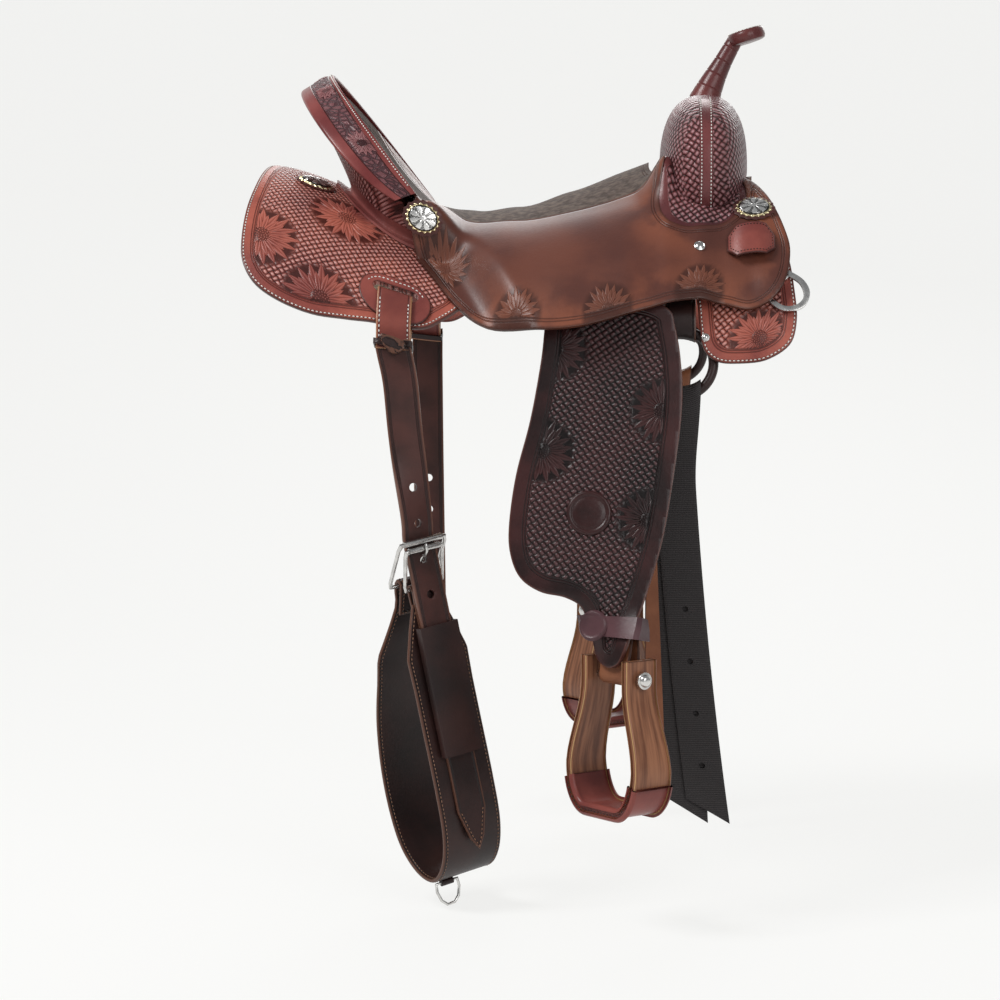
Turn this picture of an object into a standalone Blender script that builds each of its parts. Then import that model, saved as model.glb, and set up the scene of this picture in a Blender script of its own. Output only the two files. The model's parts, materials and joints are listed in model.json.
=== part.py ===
# Barrel racing saddle, with its fenders, stirrups, billets and flank cinch hanging as on a saddle stand.
#
# Frame: metres, +X to the horse's head, +Y to its near (left) side, +Z up. The origin lies on the centre
# plane, midway along the skirts, at the height of the horse's spine under the middle of the tree.
#
# Leather is cut flat as a 2D outline, scored on a grid, and wrapped: every point (along, down, height) of a
# flat piece goes through a form. The tree form is the inner face of the skirts: x along the horse, s the
# length of arc down its side from the ridge, h the height above it. What lies over the skirts is stated
# as heights above the same form, so that the layers keep their order.

import math

import bmesh
import bpy
from mathutils import Matrix, Vector

# Fits
GAP = 0.0003
LINING_GAP = 0.0007
GROUND_GAP = 0.0018
RIGHT = -1
LEFT = 1

# Tree form
FORM_ROOT_Z = -0.100
RIDGE_MID = 0.060
RIDGE_REAR_RISE = 0.092
RIDGE_FRONT_RISE = 0.075
REAR_FLAT = 0.030
REAR_RUN = 0.270
FRONT_RUN = 0.300
HALF_WIDTH_REAR = 0.250
HALF_WIDTH_FRONT_LOSS = 0.022

# Facets of the form, shared by all layers so that they nest
GRID_X = 0.0400
GRID_S = 0.0300
SEAT_GRID_X = 0.0250

# Leather and lining thicknesses
SKIRT_T = 0.0055
FLEECE_T = 0.0120
SEAT_T = 0.0050
GROUND_T = 0.0090
COVER_T = 0.0030
PLATE_T = 0.0025
FENDER_T = 0.0050
LOOP_T = 0.0035
STIRRUP_LEATHER_T = 0.0040
BILLET_T = 0.0045
FOLD_T = 0.0040
NYLON_T = 0.0028
CINCH_T = 0.0042
CHAPE_T = 0.0030
KEEPER_T = 0.0025

# Tree bars
BAR_T = 0.0120
TREE_JOIN = 0.0030
BAR_INNER_S = 0.036
BAR_OUTER_S = 0.122
BAR_REAR_X = -0.178
BAR_FRONT_X = 0.262
GROOVE_REAR_X = 0.070
GROOVE_FRONT_X = 0.146
WINDOW_INNER_S = 0.074
WINDOW_OUTER_S = 0.094
GROOVE_UNDER = 0.0052
GROOVE_OVER = 0.0030

# Cantle
CANTLE_CORNER_X = -0.110
CANTLE_HALF_WIDTH = 0.165
RIM_REAR_RUN = 0.142
RIM_REAR_Z = 0.105
RIM_BOW = 0.65
RIM_REAR_RISE = 0.136
RIM_FRONT_X = -0.105
RIM_FRONT_RUN = 0.113
RIM_FRONT_HALF_WIDTH = CANTLE_HALF_WIDTH - 0.009
RIM_FRONT_Z = 0.112
RIM_FRONT_RISE = 0.149
BINDING_T = 0.0055
CANTLE_SINK = 0.0105
DISH_FRONT_X = -0.050
DISH_FLOOR_Z = 0.103
DISH_RISE = 0.153
DISH_RUN = 0.168
DISH_POWER = 2.6

# Swell and horn
SWELL_X = 0.2130
SWELL_Z = 0.150
SWELL_HALF_LENGTH = 0.0505
SWELL_HALF_WIDTH = 0.165
SWELL_HALF_HEIGHT = 0.086
SWELL_POWER = 2.5
GULLET_HALF_WIDTH = 0.072
GULLET_TOP_Z = 0.1535
HORN_CORE_R = 0.0075
HORN_WRAP_BASE_R = 0.0165
HORN_WRAP_TOP_R = 0.0125
HORN_CAP_LENGTH = 0.044
HORN_CAP_WIDTH = 0.052
HORN_CAP_T = 0.0150
HORN_CAP_TILT = math.radians(17)

# Fender plane, on which fender and stirrup leather swing
FENDER_TILT = math.radians(13)
FENDER_OUT = 0.2210
PIVOT_X = 0.1080
PIVOT_Z = -0.0300
STIRRUP_LEATHER_W = 0.066
BOLT_DROP = 0.3810
DRAWN_DROP = 0.3810
TWIST_FROM = BOLT_DROP - 0.096
TWIST_TO = BOLT_DROP - 0.009
HOBBLE_ABOVE_BOLT = 0.052
TURN_RIGHT = math.radians(50)
TURN_LEFT = math.radians(40)
LEAN_LEFT = math.radians(2.0)

# Heights of the layers over the fender plane
LAYER_LEATHER = LOOP_T + GAP
LAYER_OUTER = LAYER_LEATHER + STIRRUP_LEATHER_T + GAP
LAYER_FENDER = LAYER_OUTER + LOOP_T + GAP

# Stirrup
BOLT_AHEAD = 0.0100
BOLT_R = 0.0045
BOLT_HEAD_R = 0.0095
TWIST_GAP = 0.0016
BOLT_N = LAYER_FENDER - GAP - TWIST_GAP - STIRRUP_LEATHER_T - GAP * 2 - BOLT_R
STIRRUP_TOP_HALF = 0.0290
STIRRUP_TREAD_HALF = 0.0600
STIRRUP_WOOD_T = 0.0105
STIRRUP_DEPTH_TOP = 0.0420
STIRRUP_DEPTH_TREAD = 0.0520
STIRRUP_DROP = 0.1500
STIRRUP_ABOVE_BOLT = 0.0210
TREAD_WRAP_T = 0.0022

# Front rigging
RING_X = 0.1840
RING_S = 0.3120
RING_R = 0.0365
RING_WIRE_R = 0.0055
RING_SINK = 0.0100
RIGGING_STRAP_W = 0.034
BILLET_W = 0.0445
BILLET_DROP = 0.4730

# Rear rigging and flank gear
SLOT_X = -0.1290
SLOT_S = 0.2290
SLOT_LENGTH = 0.0500
SLOT_WIDTH = 0.0150
PLATE_LENGTH = 0.0800
PLATE_WIDTH = 0.0560
FOLD_END_S = 0.3000
FOLD_SLANT = -0.24
HINGE_GAP = 0.0044
FLANK_W = 0.0380
BUCKLE_TURN = math.radians(35)
CINCH_W = 0.0760
DEE_OFF = -0.0180
BUCKLE_INNER_W = 0.0480
BUCKLE_WIRE_R = 0.0022
BUCKLE_ROLLER_R = 0.0034

# Silver
CONCHO_LENGTH = 0.0400
CONCHO_WIDTH = 0.0320
CONCHO_T = 0.0060
DEE_T = 0.0030

COLLECTION = bpy.data.collections.new("barrel_racing_saddle")
CUTTERS = bpy.data.collections.new("cutters")


def clear_scene():
    for obj in list(bpy.data.objects):
        bpy.data.objects.remove(obj, do_unlink=True)
    bpy.context.scene.collection.children.link(COLLECTION)
    bpy.context.scene.collection.children.link(CUTTERS)


def material(name, color, roughness, metallic=0.0):
    mat = bpy.data.materials.new(name)
    mat.use_nodes = True
    bsdf = mat.node_tree.nodes["Principled BSDF"]
    bsdf.inputs["Base Color"].default_value = (*color, 1.0)
    bsdf.inputs["Roughness"].default_value = roughness
    bsdf.inputs["Metallic"].default_value = metallic
    return mat


OXBLOOD = material("oxblood_leather", (0.16, 0.030, 0.022), 0.45)
SEAT_BROWN = material("seat_leather", (0.20, 0.065, 0.032), 0.40)
FENDER_BROWN = material("fender_leather", (0.075, 0.020, 0.020), 0.42)
DARK_BROWN = material("flank_leather", (0.055, 0.018, 0.014), 0.50)
RUSSET = material("russet_leather", (0.22, 0.080, 0.035), 0.55)
WOOL = material("fleece", (0.30, 0.24, 0.18), 0.95)
FOAM = material("foam", (0.55, 0.52, 0.45), 0.90)
TREE_WOOD = material("rawhide_tree", (0.60, 0.48, 0.30), 0.50)
STIRRUP_WOOD = material("stirrup_wood", (0.20, 0.085, 0.030), 0.40)
NYLON = material("black_nylon", (0.012, 0.012, 0.012), 0.60)
STAINLESS = material("stainless", (0.62, 0.60, 0.57), 0.22, 1.0)
SILVER = material("silver", (0.70, 0.68, 0.62), 0.25, 1.0)


# Small maths

def smooth(t):
    t = max(0.0, min(1.0, t))
    return t * t * (3.0 - 2.0 * t)


def mix(a, b, t):
    return a + (b - a) * t


def catmull(p0, p1, p2, p3, t):
    a = 2.0 * p1
    b = p2 - p0
    c = 2.0 * p0 - 5.0 * p1 + 4.0 * p2 - p3
    d = 3.0 * p1 - p0 - 3.0 * p2 + p3
    return 0.5 * (a + b * t + c * t * t + d * t * t * t)


def curved(points, steps=3, closed=True):
    """Points of a smooth line through the given ones; a point given twice is a corner."""
    pts = [Vector(p) for p in points]
    n = len(pts)
    out = []
    spans = range(n) if closed else range(n - 1)
    for i in spans:
        if closed:
            p0, p1, p2, p3 = pts[i - 1], pts[i], pts[(i + 1) % n], pts[(i + 2) % n]
        else:
            p0, p1, p2, p3 = pts[max(i - 1, 0)], pts[i], pts[i + 1], pts[min(i + 2, n - 1)]
        if (p2 - p1).length < 1e-6:
            continue
        for k in range(steps):
            out.append(catmull(p0, p1, p2, p3, k / steps))
    if not closed:
        out.append(pts[-1])
    return out


def circle(cx, cy, r, count=6):
    return [(cx + r * math.cos(2 * math.pi * k / count), cy + r * math.sin(2 * math.pi * k / count))
            for k in range(count)]


def round_slot(cx, cy, length, width, steps=4):
    r = width / 2
    half = length / 2 - r
    ends = [(half, -90), (-half, 90)]
    return [(cx + side + r * math.cos(math.radians(start + 180 * k / steps)),
             cy + r * math.sin(math.radians(start + 180 * k / steps)))
            for side, start in ends for k in range(steps + 1)]


def multiples(low, high, step):
    """Multiples of the step between low and high, a little clear of both."""
    first = math.ceil((low + step * 0.04) / step)
    last = math.floor((high - step * 0.04) / step)
    return [k * step for k in range(first, last + 1)]


# The tree form

def ridge_z(x):
    rear = RIDGE_REAR_RISE * smooth((-x - REAR_FLAT) / REAR_RUN)
    front = RIDGE_FRONT_RISE * smooth(x / FRONT_RUN)
    return RIDGE_MID + rear + front


def half_width(x):
    return HALF_WIDTH_REAR - HALF_WIDTH_FRONT_LOSS * smooth((x + 0.05) / FRONT_RUN)


def section(x, s):
    """Place (out, z) and outward normal at the arc length s down one side of the form at x."""
    a = half_width(x)
    b = ridge_z(x) - FORM_ROOT_Z
    t = 0.0
    steps = 16
    for _ in range(steps):
        speed = math.hypot(a * math.cos(t), b * math.sin(t))
        middle = t + s / steps / speed / 2
        t += s / steps / math.hypot(a * math.cos(middle), b * math.sin(middle))
    normal = Vector((b * math.sin(t), a * math.cos(t))).normalized()
    return a * math.sin(t), FORM_ROOT_Z + b * math.cos(t), normal


def faceted(place, step_x, step_s):
    """The same wrapping with flat facets between multiples of the two steps."""
    nodes = {}

    def node(i, j, h):
        key = (i, j, round(h, 7))
        if key not in nodes:
            nodes[key] = place(i * step_x, j * step_s, h)
        return nodes[key]

    def wrapped(x, s, h):
        i, j = math.floor(x / step_x), math.floor(s / step_s)
        t, r = x / step_x - i, s / step_s - j
        near = node(i, j, h).lerp(node(i + 1, j, h), t)
        far = node(i, j + 1, h).lerp(node(i + 1, j + 1, h), t)
        return near.lerp(far, r)
    return wrapped


def on_form(side):
    """Wraps a flat point (x, s, h) on one side of the form; a negative s crosses to the other side."""
    def place(x, s, h):
        out, z, normal = section(x, abs(s))
        away = side if s >= 0 else -side
        return Vector((x, away * (out + normal.x * h), z + normal.y * h))
    return faceted(place, GRID_X, GRID_S)


def out_at_height(x, z):
    """Half-width of the form at x where it has the height z."""
    b = ridge_z(x) - FORM_ROOT_Z
    c = max(-1.0, min(1.0, (z - FORM_ROOT_Z) / b))
    return half_width(x) * math.sqrt(1 - c * c)


# Heights of the seat leather's outer face above the form: x, at the ridge, under the thigh, at the edge
SEAT_STATIONS = (
    (-0.100, 0.035, 0.052, 0.030),
    (-0.050, 0.042, 0.043, 0.034),
    (0.000, 0.048, 0.047, 0.040),
    (0.060, 0.058, 0.050, 0.043),
    (0.120, 0.062, 0.049, 0.043),
    (0.165, 0.062, 0.046, 0.039),
    (0.200, 0.056, 0.038, 0.030),
    (0.235, 0.042, 0.0265, 0.018),
    (0.265, 0.030, 0.0245, 0.0135),
    (0.320, 0.012, 0.0115, 0.0115),
)
THIGH_S = 0.120
EDGE_S = 0.260
REST_H = 0.0115
EAR_X = 0.1680
EAR_S = 0.0980
EAR_RISE = 0.036
DEE_X = 0.2900
DEE_S = 0.2480
DEE_RISE = 0.0062


def station_height(x, s):
    rows = SEAT_STATIONS
    low = rows[0]
    high = rows[0]
    for a, b in zip(rows, rows[1:]):
        if a[0] <= x:
            low, high = a, b
    t = smooth((x - low[0]) / (high[0] - low[0])) if high is not low else 0.0
    centre, thigh, edge = (mix(low[k], high[k], t) for k in (1, 2, 3))
    if s > EDGE_S:
        return edge
    if s < THIGH_S:
        return mix(centre, thigh, smooth(s / THIGH_S))
    return mix(thigh, edge, smooth((s - THIGH_S) / (EDGE_S - THIGH_S)))


def dish_z(x, out):
    """Height of the cantle's dish at the plan point (x, out)."""
    floor = DISH_FLOOR_Z + DISH_RISE * max(0.0, (DISH_FRONT_X - x) / DISH_RUN) ** DISH_POWER
    c = max(0.0, min(0.985, (RIM_FRONT_X - x) / RIM_FRONT_RUN))
    rim_z = RIM_FRONT_Z + RIM_FRONT_RISE * c
    rim_out = RIM_FRONT_HALF_WIDTH * math.sqrt(1 - c * c)
    return mix(floor, max(floor, rim_z), min(1.3, (out / rim_out) ** 2))


def seat_height(x, s):
    """Height of the seat leather's outer face above the form."""
    s = abs(s)
    height = station_height(x, s)
    rear_edge_x = RIM_FRONT_X + (s - 0.13) * 0.60
    rest = smooth((s - 0.135) / 0.03) * (1 - smooth((x - rear_edge_x) / 0.055))
    height = mix(height, REST_H, rest)
    dish = smooth((-0.055 - x) / 0.045) * (1 - smooth((s - 0.135) / 0.03))
    if dish > 0:
        out, z, normal = section(x, s)
        h = height
        for _ in range(6):
            h = (dish_z(x, out + normal.x * h) - z) / normal.y
        height = mix(height, h, dish)
    ear = math.exp(-((x - EAR_X) / 0.018) ** 2 - ((s - EAR_S) / 0.026) ** 2)
    over_dee = math.exp(-((x - DEE_X) / 0.030) ** 2 - ((s - DEE_S) / 0.030) ** 2)
    return height + EAR_RISE * ear + DEE_RISE * over_dee


def under_seat(depth):
    """Wraps a flat point whose height is measured from a layer the given depth under the seat's face."""
    form = on_form(RIGHT)

    def place(x, s, h):
        return form(x, s, seat_height(x, s) - depth + h)
    return faceted(place, SEAT_GRID_X, GRID_S)


def over_seat(side):
    """Wraps a flat point whose height is measured from the seat's face, on either side."""
    face = under_seat(0.0)

    def place(x, s, h):
        return face(x, s if side == RIGHT else -s, h)
    return place


# Leather shop: cutting flat and wrapping

def face_outward(bm):
    if bm.calc_volume(signed=True) < 0:
        bmesh.ops.reverse_faces(bm, faces=bm.faces)


def finish(name, bm, mat, pivot=None, angle=35):
    bmesh.ops.recalc_face_normals(bm, faces=bm.faces)
    face_outward(bm)
    mesh = bpy.data.meshes.new(name)
    bm.to_mesh(mesh)
    bm.free()
    mesh.shade_smooth()
    mesh.set_sharp_from_angle(angle=math.radians(angle))
    obj = bpy.data.objects.new(name, mesh)
    COLLECTION.objects.link(obj)
    mesh.materials.append(mat)
    if pivot is not None:
        mesh.transform(Matrix.Translation(-Vector(pivot)))
        obj.location = pivot
    return obj


def flat_mesh(outline, holes, thickness):
    """A flat blank: outline and holes as a 2D curve, extruded, with each face of it one polygon."""
    curve = bpy.data.curves.new("blank", "CURVE")
    curve.dimensions = "2D"
    curve.fill_mode = "BOTH"
    curve.extrude = thickness / 2
    for loop in (outline, *holes):
        spline = curve.splines.new("POLY")
        spline.points.add(len(loop) - 1)
        for point, co in zip(spline.points, loop):
            point.co = (co[0], co[1], 0.0, 1.0)
        spline.use_cyclic_u = True
    obj = bpy.data.objects.new("blank", curve)
    COLLECTION.objects.link(obj)
    evaluated = obj.evaluated_get(bpy.context.evaluated_depsgraph_get())
    mesh = bpy.data.meshes.new_from_object(evaluated)
    bm = bmesh.new()
    bm.from_mesh(mesh)
    bpy.data.objects.remove(obj)
    bpy.data.meshes.remove(mesh)
    bmesh.ops.remove_doubles(bm, verts=bm.verts, dist=1e-6)
    bmesh.ops.dissolve_limit(bm, angle_limit=math.radians(0.5), verts=bm.verts[:], edges=bm.edges[:],
                             delimit={"NORMAL"})
    bmesh.ops.translate(bm, verts=bm.verts, vec=(0, 0, thickness / 2))
    return bm


def score(bm, lines_u, lines_v):
    for axis, lines in ((0, lines_u), (1, lines_v)):
        for value in lines:
            co = Vector((0, 0, 0))
            co[axis] = value
            no = Vector((0, 0, 0))
            no[axis] = 1.0
            geom = bm.verts[:] + bm.edges[:] + bm.faces[:]
            bmesh.ops.bisect_plane(bm, geom=geom, dist=1e-6, plane_co=co, plane_no=no)


def leather(name, mat, outline, thickness, place, step_u, step_v, holes=(), pivot=None, extra_u=(), lines_v=None):
    """One piece of leather: cut flat, scored on multiples of the steps or on the lines given, and wrapped."""
    us = [p[0] for p in outline]
    vs = [p[1] for p in outline]
    bm = flat_mesh(outline, holes, thickness)
    if lines_v is None:
        lines_v = multiples(min(vs), max(vs), step_v)
    score(bm, multiples(min(us), max(us), step_u) + list(extra_u), lines_v)
    bmesh.ops.triangulate(bm, faces=[f for f in bm.faces if len(f.verts) > 4])
    for vert in bm.verts:
        vert.co = place(*vert.co)
    return finish(name, bm, mat, pivot)


class Path:
    """A smooth line through points, asked by its length."""

    def __init__(self, points, steps=10):
        self.points = curved(points, steps, closed=False)
        self.lengths = [0.0]
        for a, b in zip(self.points, self.points[1:]):
            self.lengths.append(self.lengths[-1] + (b - a).length)
        self.length = self.lengths[-1]

    def at(self, length):
        i = 0
        while i < len(self.points) - 2 and self.lengths[i + 1] < length:
            i += 1
        a, b = self.points[i], self.points[i + 1]
        before = self.points[max(i - 1, 0)]
        after = self.points[min(i + 2, len(self.points) - 1)]
        t = (length - self.lengths[i]) / (self.lengths[i + 1] - self.lengths[i])
        tangent = mix((b - before).normalized(), (after - a).normalized(), max(0.0, min(1.0, t))).normalized()
        return a + (b - a) * t, tangent


def bends(path, reach=0.060, turn=24.0):
    """Lengths at which a strap along the path is scored: where it has turned, or run on, enough."""
    lines = []
    last = path.points[1] - path.points[0]
    since = 0.0
    for a, b, length in zip(path.points, path.points[1:], path.lengths):
        step = b - a
        turned = math.degrees(last.angle(step))
        if length > 0 and (turned > turn or length - since > reach):
            lines.append(length)
            since = length
            last = step
    return [v for v in lines if 0.002 < v < path.length - 0.002]


def merged(*lists):
    """All lines in order, without any that nearly repeats another."""
    lines = []
    for value in sorted(sum((list(one) for one in lists), [])):
        if not lines or value - lines[-1] > 0.0012:
            lines.append(value)
    return lines


def crossings(path, values):
    """Lengths at which the path's first coordinate passes one of the values."""
    lines = []
    for a, b, length in zip(path.points, path.points[1:], path.lengths):
        for value in values:
            if (a.x - value) * (b.x - value) < 0:
                lines.append(length + (b - a).length * (value - a.x) / (b.x - a.x))
    return lines


def ribbon(path, width_of, flip=1):
    """Wraps a strap: u across along width_of(length), v along the path, h to one side of it."""
    def place(u, v, h):
        point, tangent = path.at(v)
        across = width_of(v)
        across = (across - tangent * across.dot(tangent)).normalized()
        return point + across * u + across.cross(tangent) * (h * flip)
    return place


def section_ribbon(points, side, centre_x):
    """Wraps a strap whose path is given as (s, h) on the form: u along x, v along the path."""
    path = Path([Vector((s, h, 0)) for s, h in points])
    form = on_form(side)

    def place(u, v, h):
        point, tangent = path.at(v)
        level = FOLD_SLANT * u * max(0.0, point.x - SLOT_S) / (FOLD_END_S - SLOT_S)
        return form(centre_x + u, point.x + level - tangent.y * h, point.y + tangent.x * h)
    return place, path


def strap_outline(width, length, tip=0.0, start=0.0):
    """A strap from v = start to length, ending in a rounded point when tip is given."""
    half = width / 2
    points = [(-half, start), (half, start)]
    if not tip:
        return points + [(half, length), (-half, length)]
    steps = 6
    arc = []
    for k in range(steps + 1):
        angle = math.pi * k / steps
        arc.append((half * math.cos(angle), length - tip + tip * math.sin(angle)))
    return points + arc


def loft(name, mat, rings, pivot=None, closed=False, angle=35):
    """A solid through rings of equal count; it closes on itself, or is capped at both ends."""
    bm = bmesh.new()
    rows = [[bm.verts.new(co) for co in ring] for ring in rings]
    count = len(rings[0])
    pairs = list(zip(rows, rows[1:]))
    if closed:
        pairs.append((rows[-1], rows[0]))
    for low, high in pairs:
        for k in range(count):
            j = (k + 1) % count
            bm.faces.new((low[k], low[j], high[j], high[k]))
    if not closed:
        bm.faces.new(rows[0][::-1])
        bm.faces.new(rows[-1])
    return finish(name, bm, mat, pivot, angle)


def boolean(obj, cutter, operation="DIFFERENCE"):
    mod = obj.modifiers.new("cut", "BOOLEAN")
    mod.object = cutter
    mod.operation = operation
    mod.solver = "EXACT"
    apply_modifiers(obj)
    bpy.data.objects.remove(cutter)


def plane_frame(side, lean=0.0):
    """Axes of the fender plane: origin at the swing pivot, forward, down and outward directions."""
    origin = Vector((PIVOT_X, side * FENDER_OUT, PIVOT_Z))
    outward = Vector((0, side * math.cos(FENDER_TILT), math.sin(FENDER_TILT)))
    down = Vector((0, side * math.sin(FENDER_TILT), -math.cos(FENDER_TILT)))
    forward = Vector((1, 0, 0))
    turn = Matrix.Rotation(lean * side, 3, outward)
    return origin, turn @ forward, turn @ down, outward


def in_plane(side, base, lean=0.0, turn=0.0):
    """Wraps on the fender plane: u forward of the pivot, v down, h over the base height.

    From TWIST_FROM the leather turns about its middle, until its width lies along the level stirrup bolt.
    """
    origin, forward, down, outward = plane_frame(side, lean)
    bolt = bolt_point(side, lean)
    level = bolt_axis(side, turn, lean)

    def place(u, v, h):
        twist = smooth((v - TWIST_FROM) / (TWIST_TO - TWIST_FROM))
        across = mix(forward, level, twist).normalized()
        along = (down - across * down.dot(across)).normalized()
        away = across.cross(along)
        if away.dot(outward) < 0:
            away.negate()
        hung = origin + down * v + outward * BOLT_N
        centre = mix(hung, bolt + along * (v - BOLT_DROP), twist)
        return centre + across * u + away * (base + h - BOLT_N)
    return place


# Fork, horn and cantle

def swell_solid(name, mat, inset):
    bm = bmesh.new()
    bmesh.ops.create_uvsphere(bm, u_segments=16, v_segments=10, radius=1.0)
    bmesh.ops.triangulate(bm, faces=bm.faces, quad_method="FIXED")
    size = Vector((SWELL_HALF_LENGTH - inset, SWELL_HALF_WIDTH - inset, SWELL_HALF_HEIGHT - inset))
    for vert in bm.verts:
        d = Vector((vert.co.x, vert.co.z, vert.co.y))
        r = sum(abs(c) ** SWELL_POWER for c in d) ** (-1 / SWELL_POWER)
        vert.co = Vector((SWELL_X + d.x * r * size.x, d.y * r * size.y, SWELL_Z + d.z * r * size.z))
    return finish(name, bm, mat)


def form_slab(name, low, high, reach):
    """Everything on the form between two heights, out to the reach on both sides, as a cutter."""
    outline = [(0.130, -reach), (0.300, -reach), (0.300, reach), (0.130, reach)]
    form = on_form(RIGHT)
    return leather(name, TREE_WOOD, outline, high - low, lambda x, s, h: form(x, s, low + h), GRID_X, GRID_S)


def gullet_cutter():
    steps = 14
    arch = [(GULLET_HALF_WIDTH * math.cos(math.pi * k / steps), GULLET_TOP_Z - 0.09 + 0.09 * math.sin(math.pi * k / steps))
            for k in range(steps + 1)]
    outline = [(-GULLET_HALF_WIDTH, 0.0)] + [(-y, z) for y, z in arch] + [(GULLET_HALF_WIDTH, 0.0)]
    bm = flat_mesh(outline, (), 0.30)
    for vert in bm.verts:
        vert.co = Vector((SWELL_X - 0.15 + vert.co.z, vert.co.x, vert.co.y))
    return finish("gullet_cutter", bm, TREE_WOOD)


HORN_PATH = ((0.204, 0.195), (0.212, 0.225), (0.2235, 0.252), (0.2355, 0.275), (0.2455, 0.293))


def horn_tube(name, mat, start, end, r_start, r_end, sides=10, steps=5):
    path = Path([Vector((x, 0, z)) for x, z in HORN_PATH])
    rings = []
    for k in range(steps + 1):
        length = mix(start, end, k / steps) * path.length
        point, tangent = path.at(length)
        across = Vector((0, 1, 0))
        up = tangent.cross(across)
        r = mix(r_start, r_end, k / steps)
        rings.append([point + across * (r * math.cos(2 * math.pi * j / sides))
                      + up * (r * math.sin(2 * math.pi * j / sides)) for j in range(sides)])
    return loft(name, mat, rings)


def horn_cap_matrix():
    x, z = HORN_PATH[-1]
    tilt = Matrix.Rotation(-HORN_CAP_TILT, 4, "Y")
    return Matrix.Translation((x + 0.017, 0, z + 0.0115)) @ tilt


def trim_under_cap(obj):
    """Cuts what runs up the neck flat, a gap under the horn cap."""
    matrix = horn_cap_matrix()
    bm = bmesh.new()
    bm.from_mesh(obj.data)
    point = matrix @ Vector((0, 0, -HORN_CAP_T / 2 - GAP))
    normal = matrix.to_3x3() @ Vector((0, 0, 1))
    cut = bmesh.ops.bisect_plane(bm, geom=bm.verts[:] + bm.edges[:] + bm.faces[:], dist=1e-7,
                                 plane_co=point, plane_no=normal, clear_outer=True)
    edges = [e for e in cut["geom_cut"] if isinstance(e, bmesh.types.BMEdge)]
    bmesh.ops.holes_fill(bm, edges=edges, sides=0)
    bm.to_mesh(obj.data)
    bm.free()


def horn():
    wrap = horn_tube("horn_wrap", OXBLOOD, 0.34, 1.15, HORN_WRAP_BASE_R, HORN_WRAP_TOP_R)
    trim_under_cap(wrap)
    bore_r = HORN_CORE_R + GAP
    boolean(wrap, horn_tube("horn_bore", OXBLOOD, 0.2, 1.4, bore_r, bore_r))
    bpy.ops.mesh.primitive_cylinder_add(vertices=24, radius=0.5, depth=HORN_CAP_T)
    cap = bpy.context.object
    cap.name = "horn"
    cap.data.transform(Matrix.Diagonal((HORN_CAP_LENGTH, HORN_CAP_WIDTH, 1, 1)))
    bevel = cap.modifiers.new("round", "BEVEL")
    bevel.width = 0.0052
    bevel.segments = 2
    apply_modifiers(cap)
    adopt(cap, OXBLOOD)
    cap.data.transform(horn_cap_matrix())
    boolean(cap, horn_tube("neck", OXBLOOD, 0.08, 1.02, HORN_CORE_R, HORN_CORE_R), "UNION")


def apply_modifiers(obj):
    bpy.context.view_layer.update()
    evaluated = obj.evaluated_get(bpy.context.evaluated_depsgraph_get())
    mesh = bpy.data.meshes.new_from_object(evaluated)
    obj.modifiers.clear()
    old = obj.data
    obj.data = mesh
    bpy.data.meshes.remove(old)


def adopt(obj, mat):
    for other in obj.users_collection:
        other.objects.unlink(obj)
    COLLECTION.objects.link(obj)
    obj.data.name = obj.name
    obj.data.materials.clear()
    obj.data.materials.append(mat)
    obj.data.shade_smooth()
    obj.data.set_sharp_from_angle(angle=math.radians(35))


def fork():
    cover = swell_solid("fork_cover", OXBLOOD, 0.0)
    boolean(cover, swell_solid("inner", OXBLOOD, COVER_T))
    core = swell_solid("fork_core", TREE_WOOD, COVER_T + GAP)
    bars_top = SKIRT_T + GAP + BAR_T + GROUND_GAP
    bore_r = HORN_CORE_R + GAP
    collar_r = HORN_WRAP_BASE_R + GAP
    for obj, foot in ((cover, bars_top), (core, SKIRT_T + LINING_GAP)):
        boolean(obj, horn_tube("bore", TREE_WOOD, 0.04, 1.0, bore_r, bore_r))
        boolean(obj, horn_tube("collar", OXBLOOD, 0.305, 1.2, collar_r, collar_r))
        boolean(obj, form_slab("below", -0.12, foot, 0.29))
        boolean(obj, gullet_cutter())
    return core


def rim_rear(phi, inset=0.0):
    """Rear edge of the cantle's rim; the angle runs from -90 degrees, right corner, to 90, left corner."""
    c, s = math.cos(phi), math.sin(phi)
    return Vector((CANTLE_CORNER_X - (RIM_REAR_RUN - inset) * c ** RIM_BOW, (CANTLE_HALF_WIDTH - inset) * s,
                   RIM_REAR_Z + (RIM_REAR_RISE - inset) * c))


def rim_front(phi, inset=0.0):
    c, s = math.cos(phi), math.sin(phi)
    return Vector((RIM_FRONT_X - (RIM_FRONT_RUN - inset * 0.5) * c, (RIM_FRONT_HALF_WIDTH - inset) * s,
                   RIM_FRONT_Z + (RIM_FRONT_RISE - inset) * c))


def arch_angles(limit, count):
    return [math.radians(limit) * (2 * k / count - 1) for k in range(count + 1)]


def on_skirt(x, out, height):
    """The point at the plan place (x, out) that lies the given height above the form."""
    b = ridge_z(x) - FORM_ROOT_Z
    a = half_width(x)
    t = math.asin(min(0.99, abs(out) / (a + height)))
    normal = Vector((b * math.sin(t), a * math.cos(t))).normalized()
    return Vector((x, math.copysign(a * math.sin(t) + normal.x * height, out),
                   FORM_ROOT_Z + b * math.cos(t) + normal.y * height))


BACK_RUN = 0.088
BACK_HALF_WIDTH = 0.128


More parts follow.
